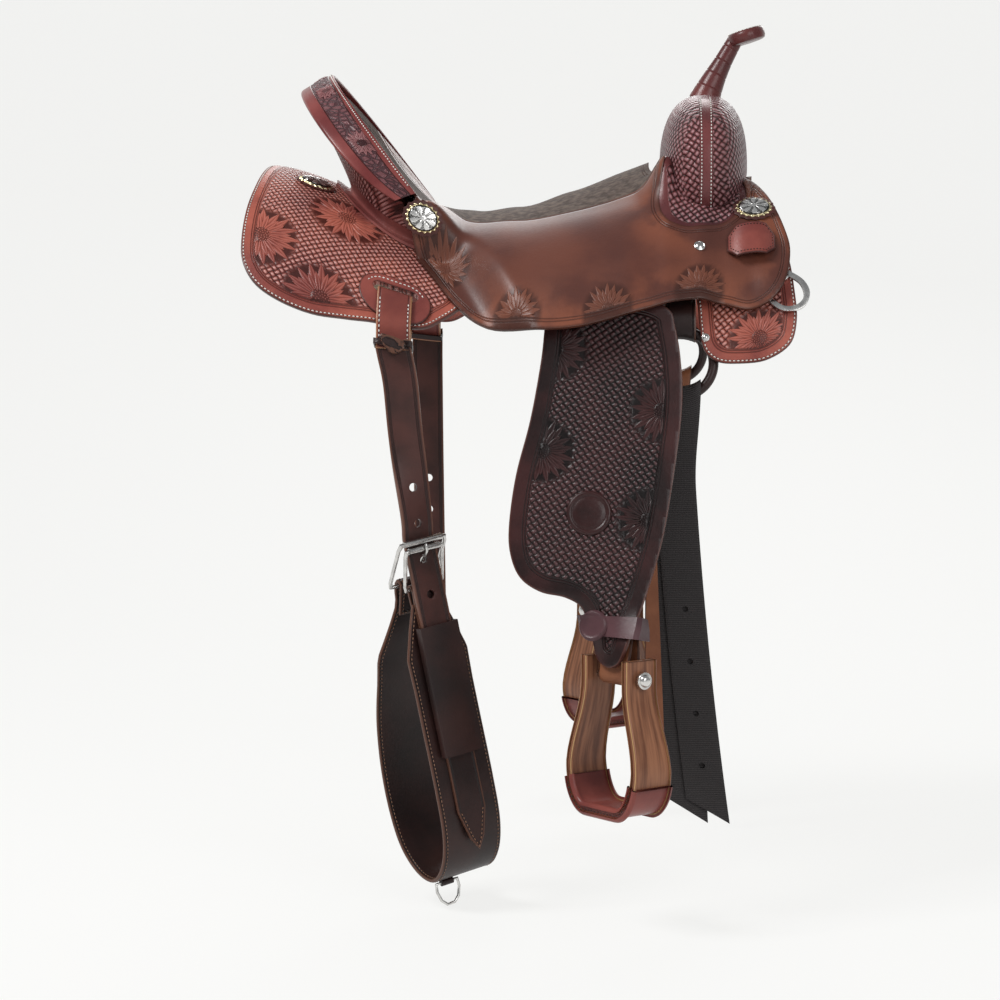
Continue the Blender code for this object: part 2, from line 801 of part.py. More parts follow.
def cantle_rear(phi, inset, foot_height):
    """Top, middle and foot of the cantle's hollow rear face, moved inwards by the inset."""
    c, s = math.cos(phi), math.sin(phi)
    inward = Vector((c, -s, 0)) * inset
    top = rim_rear(phi, BINDING_T - 0.0004) + inward
    foot = on_skirt(CANTLE_CORNER_X - (BACK_RUN - inset) * c, (BACK_HALF_WIDTH - inset) * s, foot_height)
    middle = mix(top, foot, 0.5) + Vector((0.003 * c, -0.002 * s, 0))
    return top, middle, foot


def cantle():
    bars_top = SKIRT_T + GAP + BAR_T - TREE_JOIN
    rings = []
    for phi in arch_angles(72, 16):
        c, s = math.cos(phi), math.sin(phi)
        rear, middle, foot = cantle_rear(phi, COVER_T + GAP * 6, SKIRT_T + 0.0012)
        foot = mix(foot, middle, min(0.6, 0.0085 / max(0.01, middle.z - foot.z)))
        rear.z -= 0.0015
        front = rim_front(phi, BINDING_T + 0.0035)
        front.z = min(front.z, dish_z(front.x, abs(front.y)) - CANTLE_SINK)
        ring = [rear, mix(rear, front, 0.5), front]
        for k in (0.35, 0.7, 1.0):
            x = mix(front.x, RIM_FRONT_X - 0.058 * c, k)
            out = mix(front.y, 0.118 * s, k)
            z = dish_z(x, abs(out)) - CANTLE_SINK
            floor = on_skirt(x, out, bars_top + 0.008).z
            ring.append(Vector((x, out, max(z, floor))))
        ring.append(on_skirt(RIM_FRONT_X - 0.055 * c, 0.114 * s, bars_top))
        ring += [foot, middle]
        rings.append(ring)
    core = loft("cantle_core", TREE_WOOD, rings)

    rings = []
    for phi in arch_angles(81, 18):
        c, s = math.cos(phi), math.sin(phi)
        lift = SKIRT_T + 0.0012
        top, middle, foot = cantle_rear(phi, 0.0, lift + 0.0032)
        top_in, middle_in, foot_in = cantle_rear(phi, COVER_T, lift)
        flange_x = CANTLE_CORNER_X - (BACK_RUN + 0.016) * c
        flange_out = (BACK_HALF_WIDTH + 0.012) * s
        flange_top = on_skirt(flange_x, flange_out, lift + 0.0028)
        flange = on_skirt(flange_x, flange_out, lift)
        rings.append([top, middle, foot, flange_top, flange, foot_in, middle_in, top_in])
    loft("cantle_back", OXBLOOD, rings)

    rings = []
    for phi in arch_angles(87, 20):
        rear = rim_rear(phi)
        front = rim_front(phi)
        radial = Vector((-0.25 * math.cos(phi), math.sin(phi), math.cos(phi))).normalized()
        along = (front - rear).normalized()
        t = BINDING_T
        ring = [rear - radial * t * 0.75 - along * t * 0.10,
                rear - radial * t * 0.25 - along * t * 0.55,
                rear + radial * t * 0.35 - along * t * 0.45,
                rear + radial * t * 0.60 + along * t * 0.30,
                mix(rear, front, 0.5) + radial * t * 0.55,
                front + radial * t * 0.15 - along * 0.002,
                front - radial * t * 0.20,
                front - radial * t * 0.55 - along * 0.002,
                mix(rear, front, 0.5) - radial * t * 0.45,
                rear - radial * t * 0.75 + along * t * 0.60]
        rings.append(ring)
    loft("cantle_binding", OXBLOOD, rings)
    return core


# Skirts and linings

SKIRT_REAR_EDGE = ((-0.290, 0.040), (-0.296, 0.114), (-0.301, 0.168), (-0.302, 0.216), (-0.298, 0.246))
SKIRT_REAR_FOOT = ((-0.282, 0.272), (-0.254, 0.287), (-0.219, 0.291), (-0.182, 0.283), (-0.153, 0.275),
                   (-0.122, 0.270), (-0.095, 0.262), (-0.074, 0.244), (-0.058, 0.226))
SKIRT_CUTAWAY = ((-0.032, 0.190), (-0.005, 0.160), (0.050, 0.146), (0.120, 0.146), (0.165, 0.160),
                 (0.192, 0.200), (0.202, 0.245))
SKIRT_FRONT_FOOT = ((0.205, 0.277), (0.209, 0.303), (0.222, 0.319), (0.243, 0.326), (0.276, 0.327),
                    (0.303, 0.311), (0.311, 0.284))
SKIRT_FRONT_EDGE = ((0.309, 0.249), (0.303, 0.205), (0.290, 0.159), (0.275, 0.114), (0.259, 0.081))
CHANNEL_S = 0.040
FLEECE_OUTLINE = ((-0.284, 0.012), (-0.284, 0.012), (-0.288, 0.040), (-0.291, 0.114), (-0.295, 0.168),
                  (-0.296, 0.216), (-0.290, 0.243), (-0.276, 0.265), (-0.250, 0.279), (-0.219, 0.283),
                  (-0.192, 0.276), (-0.176, 0.258), (-0.168, 0.222), (-0.150, 0.200), (-0.100, 0.196),
                  (-0.060, 0.190), (-0.030, 0.168), (0.000, 0.150), (0.050, 0.138), (0.120, 0.138),
                  (0.200, 0.138), (0.240, 0.150), (0.250, 0.200), (0.253, 0.260), (0.262, 0.305),
                  (0.278, 0.320), (0.296, 0.306), (0.304, 0.284), (0.302, 0.249), (0.296, 0.205),
                  (0.283, 0.159), (0.268, 0.114), (0.250, 0.080), (0.225, 0.055), (0.225, 0.055),
                  (-0.100, 0.050), (-0.100, 0.050), (-0.150, 0.012), (-0.150, 0.012))


def side_name(side):
    return "right" if side == RIGHT else "left"


def skirts():
    top = ((0.240, CHANNEL_S + 0.012), (0.215, CHANNEL_S), (0.215, CHANNEL_S), (-0.090, CHANNEL_S),
           (-0.090, CHANNEL_S), (-0.140, GAP / 2), (-0.140, GAP / 2), (-0.285, GAP / 2), (-0.285, GAP / 2))
    outline = curved((*SKIRT_REAR_EDGE, *SKIRT_REAR_FOOT, *SKIRT_CUTAWAY, *SKIRT_FRONT_FOOT,
                      *SKIRT_FRONT_EDGE, *top), 2)
    slot = round_slot(SLOT_X, SLOT_S, SLOT_LENGTH, SLOT_WIDTH)
    plate = round_slot(SLOT_X, SLOT_S + 0.009, PLATE_LENGTH, PLATE_WIDTH, 8)
    for side in (RIGHT, LEFT):
        form = on_form(side)
        tag = side_name(side)
        leather("skirt_" + tag, OXBLOOD, outline, SKIRT_T, form, GRID_X, GRID_S, holes=(slot,))
        leather("fleece_" + tag, WOOL, curved(FLEECE_OUTLINE, 1), FLEECE_T,
                lambda x, s, h: form(x, s, h - FLEECE_T - LINING_GAP), GRID_X, GRID_S)
        leather("slot_plate_" + tag, OXBLOOD, plate, PLATE_T,
                lambda x, s, h: form(x, s, h + SKIRT_T + GAP), GRID_X, GRID_S, holes=(slot,))


def tree_bars():
    base = SKIRT_T + GAP
    r = 0.02
    outline = curved(((BAR_REAR_X, BAR_INNER_S + r), (BAR_REAR_X + r, BAR_INNER_S), (0.0, BAR_INNER_S + 0.004),
                      (BAR_FRONT_X - r, BAR_INNER_S + 0.016), (BAR_FRONT_X, BAR_INNER_S + r + 0.014),
                      (BAR_FRONT_X, BAR_OUTER_S - r), (BAR_FRONT_X - r, BAR_OUTER_S), (0.0, BAR_OUTER_S),
                      (-0.080, BAR_OUTER_S - 0.002), (BAR_REAR_X + 0.045, BAR_OUTER_S - 0.018),
                      (BAR_REAR_X + 0.012, BAR_OUTER_S - 0.048)), 2)
    middle_x = (GROOVE_REAR_X + GROOVE_FRONT_X) / 2
    window = round_slot(middle_x, (WINDOW_INNER_S + WINDOW_OUTER_S) / 2, GROOVE_FRONT_X - GROOVE_REAR_X,
                        WINDOW_OUTER_S - WINDOW_INNER_S)
    ramp = 0.004
    marks_x = (GROOVE_REAR_X - ramp, GROOVE_REAR_X, GROOVE_FRONT_X, GROOVE_FRONT_X + ramp)
    bars = []
    for side in (RIGHT, LEFT):
        form = on_form(side)

        def place(x, s, h):
            inside = smooth((x - marks_x[0]) / ramp) * smooth((marks_x[3] - x) / ramp)
            inside *= smooth((s - WINDOW_INNER_S) / ramp)
            return form(x, s, base + mix(GROOVE_UNDER * inside, BAR_T - GROOVE_OVER * inside, h / BAR_T))
        bars.append(leather("tree_bar", TREE_WOOD, outline, BAR_T, place, GRID_X, GRID_S, holes=(window,),
                            extra_u=marks_x))
    return bars


def saddle_tree():
    """Bars, fork and cantle of the tree, joined to one piece under its rawhide."""
    tree = cantle()
    tree.name = "saddle_tree"
    tree.data.name = "saddle_tree"
    for part in (fork(), *tree_bars()):
        boolean(tree, part, "UNION")


def mirrored(half):
    """Closed outline from a half with s >= 0, its two ends on s = 0."""
    return list(half) + [(x, -s) for x, s in reversed(half) if s > 1e-6]


SEAT_FRONT = ((0.1500, 0.0), (0.1500, 0.0), (0.1500, 0.040), (0.1550, 0.070), (0.1640, 0.092), (0.1675, 0.100),
              (0.1675, 0.100), (0.1640, 0.112), (0.1610, 0.130), (0.1640, 0.150), (0.1760, 0.166),
              (0.2050, 0.172), (0.2380, 0.162), (0.2560, 0.136), (0.2570, 0.104), (0.2500, 0.082),
              (0.2500, 0.082), (0.2640, 0.094))
SEAT_EDGE = ((0.285, 0.132), (0.300, 0.175), (0.305, 0.205), (0.299, 0.241), (0.283, 0.264), (0.258, 0.272),
             (0.227, 0.262), (0.194, 0.255), (0.140, 0.261), (0.075, 0.269), (0.021, 0.268), (-0.034, 0.252),
             (-0.067, 0.224), (-0.094, 0.185))


def seat_arc_at(x, out):
    """Arc length s at which the seat's face has the plan half-width out."""
    low, high = 0.0, 0.25
    for _ in range(24):
        s = (low + high) / 2
        half, _, normal = section(x, s)
        if half + normal.x * seat_height(x, s) < out:
            low = s
        else:
            high = s
    return low


def seat_rear(count=12):
    points = []
    for k in range(count + 1):
        phi = math.radians(88) * (1 - k / count)
        point = rim_front(phi, 0.004)
        x = point.x + 0.002 + 0.002 * math.cos(phi)
        points.append((x, 0.0 if k == count else seat_arc_at(x, point.y)))
    return points


def seat():
    half = curved((*SEAT_FRONT, *SEAT_EDGE, (-0.114, 0.156)), 2, closed=False)
    half = [tuple(p) for p in half] + seat_rear()
    body = leather("seat_leather", SEAT_BROWN, mirrored(half), SEAT_T, under_seat(SEAT_T), SEAT_GRID_X, GRID_S)
    boolean(body, swell_solid("swell_clearance", SEAT_BROWN, -0.0008))
    plate = [(0.136, 0.0), (0.136, 0.055), (0.118, 0.082), (0.050, 0.088), (-0.035, 0.086), (-0.070, 0.066), (-0.080, 0.0)]
    depth = SEAT_T + GROUND_GAP + GROUND_T
    leather("ground_seat", FOAM, [tuple(p) for p in curved(mirrored(plate), 2)], GROUND_T,
            under_seat(depth), SEAT_GRID_X, GRID_S)


# Stirrup leathers, fenders and stirrups

FENDER_OUTLINE = ((-0.070, -0.018), (-0.072, 0.000), (-0.076, 0.040), (-0.087, 0.104), (-0.102, 0.165),
                  (-0.109, 0.220), (-0.107, 0.252), (-0.096, 0.277), (-0.074, 0.292), (-0.048, 0.298),
                  (-0.031, 0.309), (-0.026, 0.330), (-0.025, 0.352), (-0.020, 0.366), (-0.002, 0.373),
                  (0.014, 0.368), (0.021, 0.354), (0.026, 0.332), (0.038, 0.300), (0.057, 0.235),
                  (0.071, 0.150), (0.078, 0.085), (0.076, 0.035), (0.070, 0.000), (0.064, -0.018),
                  (0.040, -0.030), (0.000, -0.034), (-0.045, -0.030))
FENDER_LINES = tuple(v * BOLT_DROP / DRAWN_DROP for v in (0.080, 0.170, 0.250, 0.290, 0.302, 0.314, 0.324, 0.334,
                                                         0.344, 0.354, 0.362))
LOOP_DROP = 0.048
LOOP_GAP = 0.0011
LEATHER_TOP = 0.0040


def stirrup_leather_loops():
    """The fold of each stirrup leather over its bar; both plies end either side of the hanging leather."""
    base = SKIRT_T + GAP
    strip_low = base + GROOVE_UNDER
    strip_high = base + BAR_T - GROOVE_OVER
    t = LOOP_T
    for side in (RIGHT, LEFT):
        origin, forward, down, outward = plane_frame(side)
        form = on_form(side)

        def plane_point(x, v, n):
            return Vector((x, 0, 0)) + Vector((0, origin.y, origin.z)) + down * v + outward * n

        def path_at(x):
            high = strip_high + LOOP_GAP + t / 2
            low = strip_low - LOOP_GAP - t / 2
            inner = WINDOW_OUTER_S - LOOP_GAP - t / 2 - 0.0008
            return Path([
                plane_point(x, LOOP_DROP, LAYER_OUTER + t / 2), plane_point(x, 0.016, LAYER_OUTER + t / 2),
                plane_point(x, -0.018, LAYER_OUTER + t / 2), plane_point(x, -0.018, LAYER_OUTER + t / 2),
                form(x, 0.178, 0.0205), form(x, 0.145, 0.0165), form(x, BAR_OUTER_S, high), form(x, 0.104, high),
                form(x, inner + 0.001, high - 0.0008), form(x, inner, (high + low) / 2),
                form(x, inner + 0.001, low + 0.0008), form(x, 0.104, low),
                form(x, BAR_OUTER_S, low), form(x, 0.150, 0.0115), form(x, 0.180, 0.0125),
                plane_point(x, -0.018, t / 2), plane_point(x, -0.018, t / 2), plane_point(x, 0.016, t / 2),
                plane_point(x, LOOP_DROP, t / 2)], 6)
        paths = {}

        def place(u, v, h):
            x = PIVOT_X + u
            key = round(x, 5)
            if key not in paths:
                paths[key] = path_at(x)
            path = paths[key]
            point, tangent = path.at(v * path.length)
            normal = Vector((1, 0, 0)).cross(tangent)
            return point + normal * (h - t / 2)
        middle = path_at(PIVOT_X)
        lines = [v / middle.length for v in bends(middle, 0.060, 14.0)]
        outline = strap_outline(STIRRUP_LEATHER_W, 1.0)
        leather("stirrup_leather_loop_" + side_name(side), RUSSET, outline, t, place, 0.033, 1.0, lines_v=lines)


def bolt_point(side, lean):
    origin, forward, down, outward = plane_frame(side, lean)
    return origin + forward * BOLT_AHEAD + down * BOLT_DROP + outward * BOLT_N


def bolt_axis(side, turn, lean):
    """Level direction of the stirrup bolt, outward end first turned towards the horse's head."""
    return Vector((math.cos(turn), side * math.sin(turn), 0))


def fenders():
    for side, turn, lean in ((RIGHT, TURN_RIGHT, 0.0), (LEFT, TURN_LEFT, LEAN_LEFT)):
        tag = side_name(side)
        pivot = plane_frame(side)[0]
        place = in_plane(side, LAYER_FENDER, lean, turn)
        outline = [(u, v * BOLT_DROP / DRAWN_DROP) for u, v in curved(FENDER_OUTLINE, 2)]
        leather("fender_" + tag, FENDER_BROWN, outline, FENDER_T, place,
                0.040, 0.060, pivot=pivot, lines_v=FENDER_LINES)
        stirrup_leather(side, turn, lean, pivot)
        hobble_strap(side, turn, lean, pivot)
        stirrup(side, turn, lean)


def stirrup_leather(side, turn, lean, pivot):
    """Hanging leather: down behind the fender, round the roller, and up again behind itself."""
    t = STIRRUP_LEATHER_T
    middle = BOLT_N
    front = LAYER_LEATHER + t / 2
    near_fender = LAYER_FENDER - GAP - t / 2
    wrap = BOLT_R + GAP * 2 + t / 2
    points = [(LEATHER_TOP, front), (0.020, front), (0.078, front), (0.112, near_fender), (0.170, near_fender),
              (BOLT_DROP - 0.141, near_fender), (BOLT_DROP - 0.101, near_fender - TWIST_GAP), (BOLT_DROP - 0.051, near_fender - TWIST_GAP),
              (BOLT_DROP - 0.010, near_fender - TWIST_GAP), (BOLT_DROP, middle + wrap)]
    for k in range(1, 6):
        angle = math.pi * k / 6
        points.append((BOLT_DROP + wrap * math.sin(angle), middle + wrap * math.cos(angle)))
    back = near_fender - TWIST_GAP - t - GAP
    points += [(BOLT_DROP, middle - wrap), (BOLT_DROP - 0.022, middle - wrap * 0.9), (BOLT_DROP - 0.056, back - 0.0052),
               (BOLT_DROP - 0.096, back - 0.0012), (BOLT_DROP - 0.119, back), (BOLT_DROP - 0.166, back)]
    path = Path([Vector((v, n, 0)) for v, n in points], 5)
    plane = in_plane(side, 0.0, lean, turn)

    def place(u, v, h):
        point, tangent = path.at(v)
        return plane(u, point.x - tangent.y * (h - t / 2), point.y + tangent.x * (h - t / 2))
    width = 0.046
    half = STIRRUP_LEATHER_W / 2
    narrow = width / 2
    neck = BOLT_DROP - 0.081
    shoulder = BOLT_DROP - 0.151
    outline = [(-half, 0.0), (half, 0.0), (half, shoulder), (narrow, neck), (narrow, path.length),
               (-narrow, path.length), (-narrow, neck), (-half, shoulder)]
    lines = merged(bends(path, 0.08), crossings(path, (0.078, 0.112, *FENDER_LINES)))
    leather("stirrup_leather_" + side_name(side), RUSSET, outline, t, place, 0.033, 1.0, pivot=pivot, lines_v=lines)


def hobble_strap(side, turn, lean, pivot):
    """Strap round fender neck and stirrup leather, just over the stirrup."""
    t = 0.0030
    v_mid = BOLT_DROP - HOBBLE_ABOVE_BOLT
    low = BOLT_N - 0.0075
    high = LAYER_FENDER + FENDER_T + 0.0016
    half = 0.0340
    width = 0.022
    place_plane = in_plane(side, 0.0, lean, turn)

    def band(grow):
        cut = 0.003 + grow * 0.6
        a, b, c, d = -half - grow, half + grow, low - grow, high + grow
        inner = half * 0.5
        return [(a + cut, c), (-inner, c), (0.0, c), (inner, c), (b - cut, c), (b, c + cut), (b, d - cut),
                (b - cut, d), (inner, d), (0.0, d), (-inner, d), (a + cut, d), (a, d - cut), (a, c + cut)]
    rings = []
    for grow, v in ((0.0, -0.5), (t, -0.5), (t, 0.0), (t, 0.5), (0.0, 0.5), (0.0, 0.0)):
        rings.append([place_plane(u, v_mid + v * width, n) for u, n in band(grow)])
    loft("hobble_strap_" + side_name(side), FENDER_BROWN, rings, pivot, closed=True)


def stirrup_half_width(z):
    """Half the stirrup's inside width at z below the bolt: a bell, narrow above and round at the foot."""
    drop = -z / STIRRUP_DROP
    bell = mix(STIRRUP_TOP_HALF, STIRRUP_TREAD_HALF - STIRRUP_WOOD_T, smooth((drop - 0.05) / 0.62))
    return bell


def stirrup_profile(grow=0.0, z_low=None):
    """Right half of the wooden bow as (inside, outside) points from its top to the middle of the tread."""
    points = []
    heights = [STIRRUP_ABOVE_BOLT, 0.0, -0.020, -0.040, -0.060, -0.080, -0.096]
    for z in heights:
        w = stirrup_half_width(z)
        points.append(((w - grow, z), (w + STIRRUP_WOOD_T + grow, z)))
    foot_in = -STIRRUP_DROP + STIRRUP_WOOD_T
    w = stirrup_half_width(-0.096)
    r_in = Vector((0.024, foot_in + 0.096))
    for k in range(1, 6):
        a = math.radians(90) * k / 5
        inside = (w - r_in.x * (1 - math.cos(a)), -0.096 + r_in.y * math.sin(a))
        outward = Vector((math.cos(a), -math.sin(a)))
        points.append(((inside[0] - outward.x * grow, inside[1] - outward.y * grow),
                       (inside[0] + outward.x * (STIRRUP_WOOD_T + grow), inside[1] + outward.y * (STIRRUP_WOOD_T + grow))))
    points.append(((0.0, foot_in + grow), (0.0, foot_in - STIRRUP_WOOD_T - grow)))
    return points


def stirrup_depth(z):
    return mix(STIRRUP_DEPTH_TOP, STIRRUP_DEPTH_TREAD, smooth(-z / (STIRRUP_DROP * 0.9)))


def bow(name, mat, matrix, grow, skip, pivot):
    """The bent bow, or its lower part with skip pairs left out at each end, grown on every side."""
    half = stirrup_profile(grow)[skip:]
    pairs = half + [((-a[0], a[1]), (-b[0], b[1])) for a, b in reversed(half[:-1])]
    rings = []
    for inside, outside in pairs:
        z_mid = (inside[1] + outside[1]) / 2
        d = stirrup_depth(z_mid) / 2 + grow
        soft = 0.0022
        corners = []
        for (w, z), other in ((inside, outside), (outside, inside)):
            to = Vector((other[0] - w, other[1] - z)).normalized() * soft
            near, far = (-1, 1) if (w, z) == inside else (1, -1)
            corners += [(w + to.x, near * d, z + to.y), (w, near * (d - soft), z),
                        (w, far * (d - soft), z), (w + to.x, far * d, z + to.y)]
        rings.append([matrix @ Vector(c) for c in corners])
    return loft(name, mat, rings, pivot)


def rod(name, mat, centre, axis, r, length, sides=16, pivot=None):
    axis = axis.normalized()
    turn = axis.to_track_quat("Z", "Y").to_matrix().to_4x4()
    bm = bmesh.new()
    bmesh.ops.create_cone(bm, cap_ends=True, segments=sides, radius1=r, radius2=r, depth=length,
                          matrix=Matrix.Translation(centre) @ turn)
    return finish(name, bm, mat, pivot)


def stirrup(side, turn, lean):
    tag = side_name(side)
    centre = bolt_point(side, lean)
    across = bolt_axis(side, turn, lean)
    depth = Vector((0, 0, 1)).cross(across)
    matrix = Matrix.Identity(4)
    for column, axis in enumerate((across, depth, Vector((0, 0, 1)))):
        for row in range(3):
            matrix[row][column] = axis[row]
    matrix.translation = centre
    wood = bow("stirrup_" + tag, STIRRUP_WOOD, matrix, 0.0, 0, centre)
    boolean(wood, rod("bolt_hole", STIRRUP_WOOD, centre, across, BOLT_R + GAP, 0.2, pivot=centre))
    tread = bow("stirrup_tread_" + tag, OXBLOOD, matrix, GAP + TREAD_WRAP_T, 7, centre)
    boolean(tread, bow("wood_space", STIRRUP_WOOD, matrix, GAP, 6, centre))
    outside = stirrup_half_width(0.0) + STIRRUP_WOOD_T
    pivot = plane_frame(side)[0]
    shank = outside * 2 + 0.0020
    bolt = rod("stirrup_bolt_" + tag, STAINLESS, centre, across, BOLT_R, shank + 0.002, pivot=pivot)
    for end in (-1, 1):
        head_at = centre + across * (end * (shank / 2 + 0.0022))
        boolean(bolt, rod("head", STAINLESS, head_at, across, BOLT_HEAD_R, 0.0044, 12, pivot), "UNION")
        nut_at = centre + across * (end * (shank / 2 + 0.0062))
        boolean(bolt, rod("nut", STAINLESS, nut_at, across, 0.0062, 0.0056, 6, pivot), "UNION")


# Front rigging

def ring_frame(side):
    """Centre of the rigging ring, down and outward directions of its plane."""
    form = on_form(side)
    centre = form(RING_X, RING_S, -RING_SINK)
    down = (form(RING_X, RING_S + 0.01, 0) - form(RING_X, RING_S - 0.01, 0))
    down.x = 0
    down.normalize()
    outward = Vector((0, side * -down.z, side * down.y))
    return centre, down, outward


def rigging():
    for side in (RIGHT, LEFT):
        tag = side_name(side)
        centre, down, outward = ring_frame(side)
        top = centre - down * RING_R
        steps = 20
        sides = 7
        rings = []
        for k in range(steps):
            a = 2 * math.pi * k / steps
            radial = Vector((1, 0, 0)) * math.cos(a) + down * math.sin(a)
            rings.append([centre + radial * (RING_R + RING_WIRE_R * math.cos(2 * math.pi * j / sides))
                          + outward * (RING_WIRE_R * math.sin(2 * math.pi * j / sides)) for j in range(sides)])
        loft("rigging_ring_" + tag, DARK_BROWN, rings, top, closed=True)
        rigging_plate(side, top, down, outward)
        hanging_billet(side, centre, down, outward)


def ring_rise(u):
    """How far the ring's wire has curved away at u from the middle of a strap folded over it."""
    return RING_R - math.sqrt(RING_R * RING_R - u * u)


def rigging_plate(side, top, down, outward):
    """Leather plate under the skirt, folded round the top of the ring."""
    t = 0.0030
    wrap = RING_WIRE_R + 0.0014 + t / 2
    form = on_form(side)
    high = -0.0031 - t / 2
    low = high - t - GAP * 2
    points = [form(RING_X, 0.165, high), form(RING_X, 0.200, high), form(RING_X, 0.228, high),
              top - down * 0.020 + outward * wrap * 0.85]
    for k in range(0, 7):
        a = math.pi * k / 6
        points.append(top + down * (wrap * math.sin(a)) + outward * (wrap * math.cos(a)))
    points += [top - down * 0.020 - outward * wrap * 0.95, form(RING_X, 0.228, low - 0.001), form(RING_X, 0.205, low)]
    path = Path(points, 5)
    flat = ribbon(path, lambda v: Vector((1, 0, 0)))

    def place(u, v, h):
        point = path.at(v)[0]
        near = 1 - smooth((point - top).dot(-down) / 0.030)
        return flat(u, v, h - t / 2) + down * (ring_rise(u) * near)
    outline = strap_outline(RIGGING_STRAP_W, path.length)
    leather("rigging_plate_" + side_name(side), DARK_BROWN, outline, t, place, 0.0085, 1.0, lines_v=bends(path, 0.03))


def hanging_billet(side, centre, down, outward):
    """Off billet of nylon, or the latigo of leather: a long strap folded double over the ring."""
    nylon = side == RIGHT
    t = NYLON_T if nylon else 0.0036
    wrap = RING_WIRE_R + 0.0046 + t / 2
    wrap_high = RING_WIRE_R + 0.0030 + t / 2
    foot = centre + down * RING_R
    level = Vector((0, side, 0))
    plumb = Vector((0, 0, -1))
    apart = t / 2 + GAP

    def ply(sign):
        return [foot + plumb * BILLET_DROP + level * (sign * apart), foot + plumb * 0.300 + level * (sign * apart),
                foot + plumb * 0.150 + level * (sign * apart), foot + plumb * 0.070 + level * (sign * (apart + 0.0006)),
                foot + plumb * 0.032 + level * (sign * wrap * 0.62), foot + plumb * 0.010 + level * (sign * wrap * 0.97)]
    points = ply(1)
    for k in range(1, 6):
        a = math.pi * k / 6
        points.append(foot - plumb * (wrap_high * math.sin(a)) + level * (wrap * math.cos(a)))
    points += list(reversed(ply(-1)))
    path = Path(points, 5)
    half_length = path.length / 2
    lean = 0.045 if nylon else -0.005
    spread_ply = 0.024 if nylon else 0.006

    def place(u, v, h):
        point, tangent = path.at(v)
        from_top = abs(v - half_length)
        shift = lean * from_top - 0.011 * smooth(from_top / 0.12) + (spread_ply * (from_top / half_length) ** 2 if v < half_length else 0.0)
        normal = Vector((1, 0, 0)).cross(tangent)
        rise = ring_rise(u) * (1 - smooth((from_top - 0.010) / 0.060))
        return point + Vector((u + shift, 0, rise)) + normal * (h - t / 2)
    half = BILLET_W / 2
    slant = 0.028 if nylon else 0.018
    outline = [(-half, slant), (half, 0.0), (half, path.length), (-half, path.length - slant)]
    holes = []
    if nylon:
        for row in range(4):
            reach = 0.065 + row * 0.058
            holes += [circle(0.0, reach, 0.0032), circle(0.0, path.length - reach, 0.0032)]
    else:
        for row in range(3):
            holes.append(circle(0.0, 0.060 + row * 0.050, 0.0030))
    leather("off_billet" if nylon else "latigo", NYLON if nylon else RUSSET, outline, t, place, 0.0150, 1.0,
            holes=holes, pivot=foot, lines_v=bends(path, 0.110))


# Flank gear

def flank_hinge(side):
    """Where the billet leaves its laced fold: the axis on which it swings."""
    return on_form(side)(SLOT_X + 0.002, FOLD_END_S + HINGE_GAP, 0.0042)


def flank_folds():
    """Fold of each flank billet through its slot and round the foot of the skirt, and its lace."""
    t = FOLD_T
    front = SKIRT_T + PLATE_T + GAP * 7 + t / 2
    back = -GAP * 6 - t / 2
    mid = 0.0042
    edge_s = SLOT_S + SLOT_WIDTH / 2
    points = [(FOLD_END_S, mid + t / 2 + GAP), (FOLD_END_S - 0.014, mid + t / 2 + GAP + 0.0012),
              (0.272, front + 0.0002), (0.256, front), (edge_s + 0.006, front),
              (edge_s - 0.0020, front - 0.0004), (edge_s - t / 2 - 0.0020, (front + back) / 2 + 0.003),
              (edge_s - t / 2 - 0.0020, (front + back) / 2 - 0.003),
              (edge_s - 0.0020, back + 0.0004), (edge_s + 0.006, back), (0.256, back), (0.272, back),
              (FOLD_END_S - 0.014, mid - t / 2 - GAP - 0.0012), (FOLD_END_S, mid - t / 2 - GAP)]
    for side in (RIGHT, LEFT):
        tag = side_name(side)
        place, path = section_ribbon(points, side, SLOT_X)
        outline = strap_outline(FLANK_W, path.length)
        leather("flank_fold_" + tag, OXBLOOD, outline, t, lambda u, v, h: place(u, v, h - t / 2), 0.020, 1.0,
                extra_u=(GRID_X * round(SLOT_X / GRID_X) - SLOT_X,),
                lines_v=merged(bends(path), crossings(path, multiples(0.2, 0.32, GRID_S))))
        lace(side, tag, mid, t)


def lace(side, tag, mid, t):
    """Lace tied round both plies, with a flat knot in front."""
    form = on_form(side)
    s_mid = FOLD_END_S - 0.0065
    reach = t + GAP * 2 + 0.0030
    half = FLANK_W / 2 + GAP * 2
    thick = 0.0016
    inner = [(-half, -reach), (half, -reach), (half, reach), (-half, reach)]
    outer = [(u + math.copysign(thick, u), n + math.copysign(thick, n)) for u, n in inner]
    bands = []
    for ring, s in ((inner, -0.003), (outer, -0.003), (outer, 0.003), (inner, 0.003)):
        bands.append([form(SLOT_X + u, s_mid + s + FOLD_SLANT * u, mid + n) for u, n in ring])
    band = loft("flank_lace_" + tag, DARK_BROWN, bands, closed=True)
    knot = [(-0.012, -0.005), (0.012, -0.005), (0.013, 0.003), (0.004, 0.011), (-0.004, 0.011), (-0.013, 0.003)]
    piece = leather("knot", DARK_BROWN, [tuple(p) for p in curved(knot, 2)], 0.0050,
                    lambda u, v, h: form(SLOT_X + u, s_mid + v, mid + reach + 0.0003 + h), GRID_X, GRID_S)
    boolean(band, piece, "UNION")


BUCKLE_AT = Vector((-0.099, HALF_WIDTH_REAR - 0.012, -0.278))
DOWN_X = 0.205


